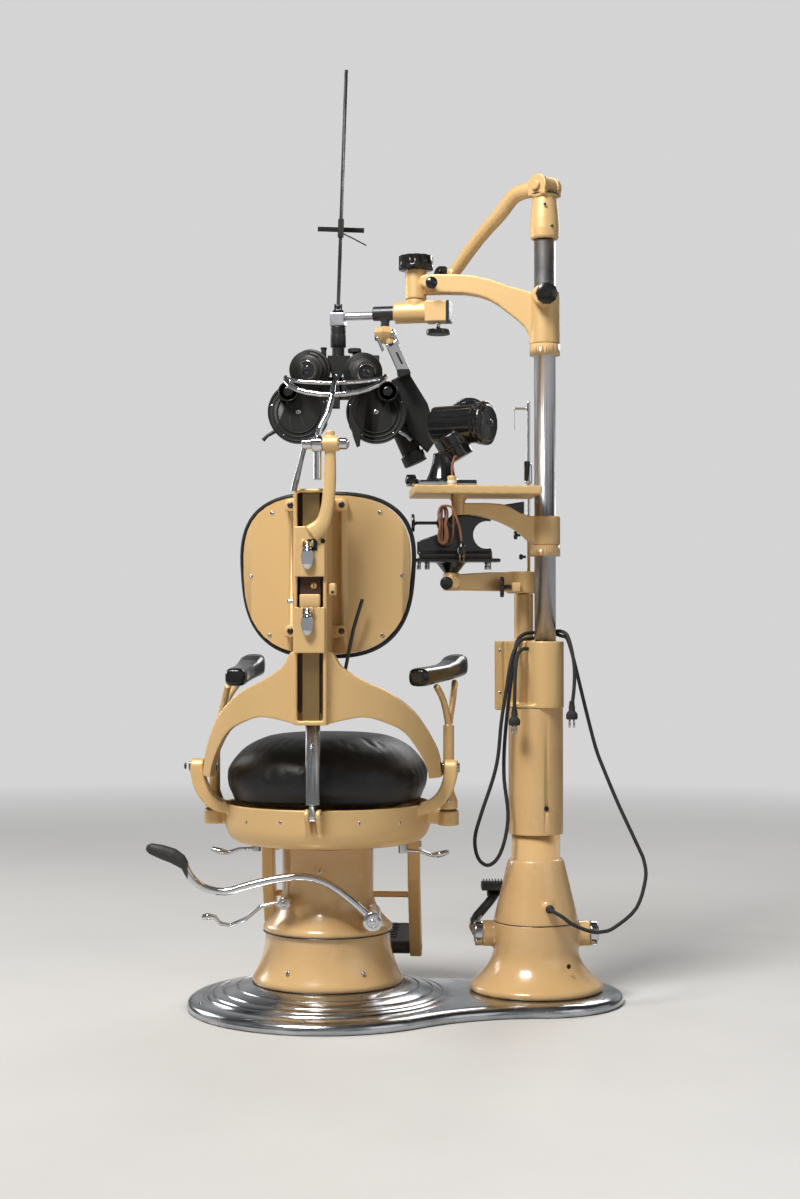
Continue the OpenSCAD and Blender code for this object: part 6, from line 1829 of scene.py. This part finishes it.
@dataclass
class Backrest(Assembly):
    """Yoke, rail, carriage, panel and cushion.

    Attributes:
        face_y: where the panel's rear face lies in its middle.
        bend: radius of the panel's curve.
        lug_x: distance of the panel's lugs from the chair's middle.
        lug_z: heights of the lugs.
        screws: (distance from the middle, height, slot's turn) of the panel's screws.
        middle: X of the panel's middle.
        height: Z of the panel's middle.
        half: half its width and height.
        square: how square it is, from 1 for round towards 0.
    """

    face_y: float = -189.2
    bend: float = 700.0
    lug_x: float = 53.0
    lug_z: tuple[float, float] = (1065, 806)
    screws: tuple = ((112, 1050, 0.3), (157, 920, 0.9), (117, 797, 1.4))
    middle: float = 18.0
    height: float = 922.0
    half: tuple[float, float] = (174.0, 164.0)
    square: float = 0.72

    def outline(self, grow: float, forward: float, steps: int = 96) -> list[Point]:
        """The panel's outline on the curved back's surface.

        Args:
            grow: how many millimetres it is grown.
            forward: how far it lies in front of the surface.
            steps: how many points it has.

        Returns:
            The points.
        """
        points = []
        for k in range(steps):
            a = math.tau * k / steps
            c, s = math.cos(a), math.sin(a)
            x = (self.half[0] + grow) * math.copysign(abs(c) ** self.square, c)
            z = (self.half[1] + grow) * math.copysign(abs(s) ** self.square, s)
            x *= 1 + 0.07 * z / self.half[1]
            points.append((self.middle + x, self.face_y + self.wrap(x) + forward, self.height + z))
        return points

    def wrap(self, x: float) -> float:
        """How far the back curves forward at a distance from its middle."""
        return self.bend - math.sqrt(self.bend ** 2 - x * x)

    def solids(self) -> Iterable[Solid]:
        """Castings, rail and rods.

        Yields:
            Each solid with its finish.
        """
        # The brown region paints the shade on the inner walls of the rail's slot.
        yield Solid("back_yoke", CREAM, Edges.BROAD, (
            (lambda p: -64 < p.x < -33 and abs(p.z - 866) < 15 and p.y < -250, CHROME),
            (lambda p: abs(p.x + 1) < 25 and p.y > -288 and 645 < p.z < 1090, BROWN_SHADE)), CHAIR)
        yield Solid("slide_rail", RAIL)
        yield Solid("recline_handle", DARK_STEEL, Edges.FINE)
        yield Solid("strut_rod", OLD_CHROME)
        # The brown region paints the shade in the window's recess.
        yield Solid("back_carriage", CREAM, Edges.FINE, (
            (lambda p: abs(p.x) < 24 and p.y > -299 and 850 < p.z < 918, BROWN_SHADE),), CHAIR)
        yield Solid("back_panel", CREAM)
        yield Solid("back_latch", CHROME, angle=50)

    def details(self) -> None:
        """Cushion with its welt, screws, the window in the carriage with painted shade in its recess, and
        dark strips of painted shade in the gaps and groove lines of the rail.
        """
        swollen("back_cushion", LEATHER, "carriage", 5)
        welt = Shaper("back_welt", LEATHER, CHAIR, smooth=60)
        for grow, forward in ((3.2, 9.5), (5.4, 15.5)):
            welt.tube(self.outline(grow, forward), 3.2, 10, loop=True, up=(0, 1, 0))
        welt = welt.made("carriage")
        made = Shaper("back_screws", CHROME, CHAIR)
        for x, z, turned in self.screws:
            for side in (-1, 1):
                made.screw((self.middle + side * x, self.face_y + self.wrap(x), z), Pose.REAR, 4.6,
                           turned * side, 1.6)
        lugs = [(x, z) for x in (-self.lug_x, self.lug_x) for z in self.lug_z]
        made.using(CREAM)
        for x, z in lugs:
            made.rod((x, -194, z), (x, -201.5, z), 13, 2.2, 32)
            made.block((x - 12.5, -201, z - 12), (x + 12.5, -194, z + 4), 2.4)
        made.block((39, -296, 878), (52, -270, 902), 3)
        made.using(DARK_STEEL)
        for x, z in lugs:
            made.screw((x, -201.5, z), Pose.REAR, 6.4, x / 40 + z, 2.6)
        made.screw((46, -296, 884), Pose.REAR, 3.4, 0.4, 2)
        made.made("carriage")
        # Painted shade: a dark brown plate at the back of the window's recess; the screw and the lip in front
        # are cream.
        window = Shaper("rail_window", BROWN_SHADE, CHAIR)
        window.block((-21, -284, 853), (21, -277.5, 916), 1)
        window.using(CREAM)
        window.screw((7, -284, 897), Pose.REAR, 6.4, 0.8, 3.4)
        window.block((-20.5, -296, 853), (20.5, -283, 880), 2.4)
        window.made("carriage")
        # Painted shade: dark brown strips in the gaps beside the rail and thin dark lines for its groove
        # lines.
        groove_shade = Shaper("rail_grooves", BROWN_SHADE, CHAIR)
        for x in (-29, 17):
            groove_shade.block((x, -268, 642), (x + 10, -264, 1085), 0.6)
        for x in (-15.4, 12.4):
            groove_shade.block((x, -275.4, 642), (x + 1.2, -270, 1080), 0.3)
        groove_shade.made("back")


@dataclass
class Headrest(Assembly):
    """Arm, catch, bow and clamp.

    Attributes:
        nut_at: the nut of the cross pin.
        nut_x: where the pin comes out of the post.
    """

    nut_at: Point = (77, -306, 1180)
    nut_x: float = 60.5

    def solids(self) -> Iterable[Solid]:
        """Casting and chromed parts.

        Yields:
            Each solid with its finish.
        """
        yield Solid("headrest_arm", CREAM, Edges.FINE,
                    ((lambda p: p.x > self.nut_x and p.z > 1160, CHROME),), CHAIR)
        yield Solid("headrest_latch", CHROME, angle=50)
        yield Solid("headrest_bow", CHROME, Edges.FINE)
        yield Solid("headrest_clamp", CHROME, Edges.FINE)

    def details(self) -> None:
        """Dark pieces that paint the shade of the slot over the catch and of a hole beside it, and the nut of
        the cross pin.
        """
        # Painted shade: a dark block for the slot and a dark disc for the hole.
        made = Shaper("head_slot", HOLE_SHADE, CHAIR)
        made.block((-4, -301, 967), (16, -297, 990), 0.8)
        made.lathe([(4.8, -1), (4.6, 0.8), (3.8, 0.9), (3.4, 0.2), (0.1, 0)], (27, -300, 986), Pose.REAR, 18)
        made.using(CHROME)
        made.lathe([(7.4, 0), (8, 0.6), (8, 2.4), (7, 3.2), (0.1, 3.8)], self.nut_at, Pose.RIGHT, 24)
        made.made("headrest")


# Stand


@dataclass
class StandColumn(Assembly):
    """Sleeve, head casting and pole.

    Attributes:
        seam: (radius, height) of the sleeve's upper seam.
        collars: lowest and highest Z of the pole's painted collars.
        pole_r: a face farther from the pole's axis belongs to a collar.
        box_screws: heights of the side box's screws.
    """

    seam: tuple[float, float] = (59.7, 638.4)
    collars: tuple = ((968, 994), (1406, 1432))
    pole_r: float = 24.0
    box_screws: tuple[float, float] = (672, 764)

    def solids(self) -> Iterable[Solid]:
        """Turned and cast parts.

        Yields:
            Each solid with its finish.
        """
        yield Solid("stand_sleeve", CREAM_LATHED)
        yield Solid("stand_head", CREAM, Edges.CAST)
        yield Solid("pole", STEEL, regions=((self.on_collar, CREAM_LATHED),))

    def on_collar(self, spot: Vector) -> bool:
        """Whether a place on the pole belongs to a painted collar."""
        away = (spot.xy - Vector(POLE_SPOT).xy).length
        return any(low < spot.z < high for low, high in self.collars) and away > self.pole_r

    def details(self) -> None:
        """Seams, screws and a dark disc as the painted shade of the hole in the sleeve."""
        made = Shaper("stand_marks", DARK_STEEL, STAND)
        r, z = self.seam
        made.lathe([(r, 0), (r + 0.3, 0.6), (r, 1.2)], (0, 0, z), steps=56)
        # Painted shade: a dark disc stands for the inside of the hole.
        made.using(HOLE_SHADE)
        made.lathe([(5.4, -1), (5.4, 0.4), (4.2, 0.5), (3.6, -0.3), (0.1, -0.4)], (19, -57, 423),
                   Vector((0.32, -0.95, 0)), 20)
        made.using(CHROME)
        for z in self.box_screws:
            made.screw((-79.5, -30, z), Pose.REAR, 3.6, 0.4, 1.5)
        made.made("stand")


@dataclass
class LampArm(Assembly):
    """Cap and bent arm at the pole's top.

    Attributes:
        bolt_turn: which way the clevis bolt points, in degrees from the rear.
        bolt_z: its height.
    """

    bolt_turn: float = 42.0
    bolt_z: float = 1776.0

    def solids(self) -> Iterable[Solid]:
        """Castings."""
        yield Solid("pole_cap", CREAM, Edges.FINE)
        yield Solid("lamp_arm", CREAM, Edges.CAST,
                    ((lambda p: p.z < 1655 and p.x < 262, BAKELITE),))

    def details(self) -> None:
        """The clevis bolt and set screws."""
        made = Shaper("clevis_bolt", GREY, POLE)
        a = math.radians(self.bolt_turn)
        way = Vector((-math.sin(a), -math.cos(a), 0))
        foot = way * 29.5 + Vector((0, 0, self.bolt_z))
        made.lathe([(9.6, 0), (10.6, 1), (10.6, 6), (9.4, 7.4)], foot, way, 6, True)
        made.using(DARK_STEEL)
        made.screw(Vector((-2, -32.6, 1732)), Pose.REAR, 3.4, 0.5, 1.2)
        made.screw(Vector((14, -29.4, 1685)), Vector((0.4, -0.9, 0)), 3.4, 0.5, 1.2)
        made.lathe([(32.3, 0), (32.6, 0.6), (32.3, 1.2)], (0, 0, 1758.2), steps=48)
        made.made("lamp_cap")


@dataclass
class RefractorArm(Assembly):
    """Bracket, knob and hanging arm.

    Attributes:
        knob_at: the large knob's foot, from the pole's axis.
        flutes: how many flutes it has.
        small_at: the small knob's foot.
        set_screws: X and Z of the arm's set screws.
    """

    knob_at: Point = (-1, -60.4, 1531)
    flutes: int = 10
    small_at: Point = (224, 44.4, 1568)
    set_screws: tuple = ((152, 1523), (152, 1501), (176, 1526))

    def solids(self) -> Iterable[Solid]:
        """Castings, knob and arm.

        Yields:
            Each solid with its finish.
        """
        yield Solid("refractor_bracket", CREAM, Edges.CAST)
        yield Solid("handwheel", BAKELITE, angle=40)
        yield Solid("refractor_arm", CREAM, Edges.FINE, (
            (lambda p: p.x < 139, GREY), (lambda p: p.x < 94, STEEL),
            (lambda p: p.z < 1487 and abs(p.x - 231) < 10, CHROME),
            (lambda p: p.z < 1478 and p.x > 200, BAKELITE), (lambda p: p.x > 255, GREY)))

    def details(self) -> None:
        """Boss knobs, screws and the knob below the clamp."""
        made = Shaper("bracket_knobs", BAKELITE, POLE)
        made.lathe([(7, -4), (7, 2), (13, 4), (21, 5), (23, 8), (22.4, 13), (15, 16.5), (0.1, 17.5)],
                   self.knob_at, Pose.REAR, 40)
        made.add(repeated(Repeat.RING, lambda s: s.rod((0, 0, 5.5), (0, 0, 12), 3.2, 1.2, 14), BAKELITE,
                          self.flutes, 21), Matrix.Translation(self.knob_at) @ turn(90, "X"))
        made.made("bracket")
        small = Shaper("bracket_small_knob", BAKELITE)
        small.lathe([(4, -1), (4, 4), (11.4, 5), (13, 7), (13, 11), (9.6, 14), (0.1, 14.8)], self.small_at,
                    Pose.REAR, 32)
        small.made("bracket")
        marks = Shaper("arm_set_screws", DARK_STEEL)
        for x, z in self.set_screws:
            marks.screw((x, 84, z), Pose.REAR, 3, 0.5, 1)
        marks.made("hanger")


@dataclass
class Refractor(Assembly):
    """The refractor's bar, halves and dials, in millimetres from its own axis.

    Attributes:
        front: Y of the drums' rear faces.
        drum_z: height of the drums' middles.
        dial_z: height of the dials' middles.
        dial_y: where the dials' caps start.
        eye_y: Y of the eyecups' feet.
        rings: (radius, height) of the rings on each drum.
        halves: side, way outward, eyecup's foot, drum's middle and dial's middle of each half.
    """

    front: float = -20.0
    drum_z: float = 1293.0
    dial_z: float = 1336.0
    dial_y: float = -42.7
    eye_y: float = -16.0
    rings: tuple = ((65, 1.6), (56, 1.2), (47, 2.4))
    halves: tuple = (("left", -1, (-58, 1388), -88, -109), ("right", 1, (54, 1381), 85, 111))

    def solids(self) -> Iterable[Solid]:
        """Housings and dials.

        Yields:
            Each solid with its finish.
        """
        yield Solid("refractor_frame", INSTRUMENT, Edges.FINE)
        for side, *_ in self.halves:
            yield Solid("refractor_" + side, INSTRUMENT, angle=30)
            yield Solid("dial_" + side, BAKELITE, angle=40)
        yield Solid("near_rod", DARK_STEEL)
        yield Solid("card_holder", INSTRUMENT)

    def details(self) -> None:
        """Everything on the halves, then the bar between them."""
        for side, way, eye, drum, dial in self.halves:
            self.half(side, way, eye, drum)
            self.dial(side, dial)
        self.bar()

    def half(self, side: str, way: int, eye: tuple[float, float], drum: float) -> None:
        """Eyecup, drum rings and levers of one half.

        Args:
            side: left or right.
            way: -1 or 1, outward.
            eye: X and Z of the eyecup's foot.
            drum: X of the drum's middle.
        """
        front, foot = self.front, Vector((eye[0], self.eye_y, eye[1]))
        made = Shaper("eyepiece_" + side, RUBBER, REFRACTOR)
        lean = Vector((way * 0.3, -1, -0.16))
        made.lathe([(42, -8), (44.5, 4), (44.8, 8), (43, 10), (40, 10.6), (38.6, 12), (39.4, 15), (38, 18),
                    (34.5, 19.4), (32.6, 20.6), (33.4, 24), (32, 27), (28.6, 28.6), (27, 30.6), (27.2, 34),
                    (25, 36.4), (22, 36.8), (20.4, 35.4)], foot, lean, 64)
        # Painted shade: a dark disc across the eyecup's opening stands for its shaded inside.
        made.using(HOLE_SHADE)
        made.lathe([(20.6, 33), (20.4, 35.6), (0.1, 35.7)], foot, lean, 40)
        made.using(CHROME)
        made.lathe([(18.6, 35.2), (19.2, 36.8), (20.4, 37), (20.8, 35)], foot, lean, 40)
        made.using(GLASS)
        made.dome(foot + lean.normalized() * 35.6, lean, 9, 1.6)
        made.using(INSTRUMENT)
        for r, lift in self.rings:
            made.lathe([(r + 2, -1), (r + 1.4, lift * 0.7), (r + 0.5, lift), (r - 0.5, lift),
                        (r - 1.4, lift * 0.7), (r - 2, -1)], (drum, front, self.drum_z), Pose.REAR, 72)
        made.plate([(drum - way * across, z) for across, z in (
            (40, 1262), (33, 1252), (36, 1217), (43, 1214), (52, 1240), (60, 1282), (52, 1284))],
            front - 4, front + 4, 1)
        low, high = sorted((-10 * way, 42 * way))
        made.block((low, -13, 1322), (high, 6, 1372), 3)
        made.using(OLD_CHROME if side == "right" else INSTRUMENT)
        spot = Vector((drum + way * 52, front - 4, self.drum_z - 44))
        made.tube([spot, spot + Vector((way * 16, -3, -10)), spot + Vector((way * 26, -3, -20))],
                  (4.6, 3.6, 4.4), 12)
        made.using(CHROME)
        for k in range(5):
            a = math.tau * (k + 0.3) / 5
            made.screw((drum + 60.5 * math.cos(a), front, self.drum_z + 60.5 * math.sin(a)), Pose.REAR, 2.2,
                       a, 1.0)
        made.screw((drum, front - 0.6, self.drum_z), Pose.REAR, 6, 0.4, 2)
        made.made("half_" + side)

    def dial(self, side: str, middle: float) -> None:
        """Flutes and cap of one half's dial.

        Args:
            side: left or right.
            middle: X of the dial's middle.
        """
        knob = Shaper("dial_flutes_" + side, BAKELITE, REFRACTOR)
        knob.add(repeated(Repeat.RING, lambda s: s.rod((0, 0, 1.5), (0, 0, 18), 1.5, 0.6, 8),
                          BAKELITE, 26, 21.6),
                 Matrix.Translation((middle, self.front - 1, self.dial_z)) @ turn(90, "X"))
        knob.lathe([(22.4, 0), (21.4, 2), (19.6, 1.6), (18.4, 0)], (middle, self.dial_y, self.dial_z),
                   Pose.REAR, 44)
        knob.dome((middle, self.dial_y - 0.3, self.dial_z), Pose.REAR, 11, 3)
        knob.made(side + "_dial")

    def bar(self) -> None:
        """Keystone plate, collar, post and disc knob between the halves."""
        made = Shaper("refractor_bar", INSTRUMENT, REFRACTOR)
        made.plate([(-23, 1419), (27, 1419), (14, 1392), (5, 1366), (4, 1302), (-12, 1302), (-12, 1366),
                    (-18, 1392)], -19, 2, 2)
        made.block((28, -8, 1408), (92, 4, 1419), 2)
        made.block((70, -12, 1366), (92, 4, 1421), 2)
        made.add(repeated(Repeat.RING, lambda s: s.block((-0.9, -0.9, 1440), (0.9, 0.9, 1467), 0.4),
                          INSTRUMENT, 40, 16.4), IDENTITY)
        made.rod((-32, -10, 1414), (-32, -10, 1436), 6, 1.4, 24)
        made.rod((-32, -10, 1433), (-32, -10, 1438), 7.2, 1, 24)
        made.using(GREY)
        made.rod((37, -8, 1416), (37, -8, 1427), 5, 1, 20)
        made.lathe([(13, 0), (15.2, 1.4), (15.2, 8.6), (13, 10), (0.1, 10.4)], (37, -8, 1425.6), Pose.UP, 40)
        # Painted shade: a dark disc stands for a hole in the plate.
        made.using(HOLE_SHADE)
        made.lathe([(6, -1), (5.8, 0.6), (4.8, 0.8), (4.2, 0.1), (0.1, 0)], (-3, -19, 1391), Pose.REAR, 20)
        made.using(CHROME)
        made.screw((-3, -19.2, 1374), Pose.REAR, 3.2, 0.5, 1.6)
        made.made("refractor")


@dataclass
class SideBox(Assembly):
    """The tapered box that hangs from the arm, with its tube.

    Attributes:
        chrome_z: the tube's rod is chromed above this height.
        knuckle_at: middle of the cream knuckle.
    """

    chrome_z: float = 1386.0
    knuckle_at: Point = (120, 104, 1464)

    def solids(self) -> Iterable[Solid]:
        """The box."""
        yield Solid("side_tube", INSTRUMENT, Edges.FINE, ((lambda p: p.z > self.chrome_z, CHROME),))

    def details(self) -> None:
        """The cream knuckle, the square rod below it and a dark bar that paints the shade of the rod's slot.
        """
        made = Shaper("side_knuckle", CREAM)
        made.lathe([(0.1, -19), (9, -18), (22, -4), (25, 4), (21, 14), (13, 18), (0.1, 18)], self.knuckle_at,
                   Pose.UP, 7)
        made.lathe([(0.1, -8), (10, -7), (12, 2), (9, 10), (0.1, 11)], (131, 100, 1450), (0.5, 0, -0.86), 7)
        made.using(DARK_STEEL)
        made.rod((133, 102, 1446), (137.5, 102, 1438.5), 11.4, 1.6, 28)
        made.using(CHROME)
        made.rod((136.5, 102, 1440), (165, 102, 1384), 12.4, 1.2, 4, True)
        # Painted shade: a dark bar stands for the shaded slot.
        made.using(HOLE_SHADE)
        made.beam(Vector((147, 92.6, 1424)), Vector((160, 92.6, 1398)), Vector((0, -1, 0)), 2.2, 0.9)
        made.made("lamp_box")


@dataclass
class Instruments(Assembly):
    """Table, keratometer, lower arm and its instrument.

    Attributes:
        grommet_at: foot of the porcelain grommet.
        pivot_knob_at: the knob on the lower arm's pivot.
        side_knob_at: middle of the large knurled knob.
        stem_knobs: (X, Z, radius) of the knobs on the steel stem.
        handle_at: foot of the lever's black handle.
        feet: (X, radius) of the lower instrument's feet.
    """

    grommet_at: Point = (266, -62, 1120)
    pivot_knob_at: Point = (255, -14, 909)
    side_knob_at: Point = (377, 30, 902)
    stem_knobs: tuple = ((412, 1018, 9.6), (424, 970, 6))
    handle_at: Point = (434, 86, 1138)
    feet: tuple = ((346, 7.5), (214, 5.5), (196, 4.5))

    def solids(self) -> Iterable[Solid]:
        """Castings and housings.

        Yields:
            Each solid with its finish.
        """
        yield Solid("instrument_table", CREAM, Edges.CAST)
        yield Solid("keratometer", GLOSS_BLACK, Edges.CAST, ((lambda p: p.z < 1123.5, CHROME),), rounds=5)
        yield Solid("lower_arm", CREAM, Edges.CAST, (
            (lambda p: p.z > 1080 or (p.x > 400 and p.z > 1020), CHROME),))
        yield Solid("lower_instrument", GLOSS_BLACK, Edges.CAST, rounds=4)

    def details(self) -> None:
        """Grommet, slide plate, knobs, handle and feet."""
        made = Shaper("porcelain_grommet", PORCELAIN)
        made.lathe([(9.4, 0), (10.4, 1), (10.4, 6), (8, 8), (7, 14), (6, 16), (3, 16.4)], self.grommet_at,
                   Pose.UP, 32)
        made.using(CHROME)
        made.block((194.5, -35.5, 1116.9), (262, -32.6, 1128), 1)
        made.made("scope")
        knob = Shaper("side_arm_knobs", BAKELITE)
        knob.lathe([(6, -1), (6, 3), (12.4, 4), (14, 6), (14, 11), (11, 14), (0.1, 15)], self.pivot_knob_at,
                   Pose.REAR, 36)
        knob.lathe([(4, -6), (8, -5), (18, -4.2), (20.4, -3), (20.4, 3), (18, 4.2), (8, 5), (0.1, 5.4)],
                   self.side_knob_at, Pose.LEFT, 40)
        knob.add(repeated(Repeat.RING, lambda s: s.rod((0, 0, -4), (0, 0, 4), 2.6, 1, 12),
                          BAKELITE, 12, 19.6),
                 Matrix.Translation(self.side_knob_at) @ turn(90, "Y"))
        knob.rod((380, 30, 902), (402, 30, 902), 4.6, 0.8, 20)
        for x, z, r in self.stem_knobs:
            knob.lathe([(3, -9), (3, -3), (r * 0.8, -2), (r, -0.5), (r, 4), (r * 0.7, 6), (0.1, 6.4)],
                       (x, 86, z), Pose.LEFT, 24)
        knob.lathe([(4, 0), (4.6, 1), (7.2, 40), (6.4, 43), (0.1, 44)], self.handle_at, (0.05, 0, 1), 24)
        knob.using(CREAM)
        knob.block((398, 20, 892), (418, 64, 912), 3)
        knob.made("side_arm")
        feet = Shaper("side_instrument_feet", CHROME)
        for x, r in self.feet:
            feet.rod((x, 28, 962), (x, 28, 940), r, 1.2, 24)
        feet.made("side_instrument")


def plain(box: Sequence[Sequence[float]]) -> list[list[float]]:
    """A box as lists of numbers."""
    return [[round(float(v), 5) for v in corner] for corner in box]


def main() -> None:
    logging.basicConfig(level=logging.INFO, format="%(message)s")
    studio = Studio()
    studio.camera()
    Cords().build()
    studio.details()
    for part in (BasePlate(), Pedestal(), StandFoot(), Seat(), Armrests(), Legrest(), Backrest(), Headrest(),
                 StandColumn(), LampArm(), RefractorArm(), Refractor(), SideBox(), Instruments()):
        part.build()
    {"cad": plain(CAD_BOX), "visual": plain(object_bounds())}


if __name__ == "__main__":
    main()
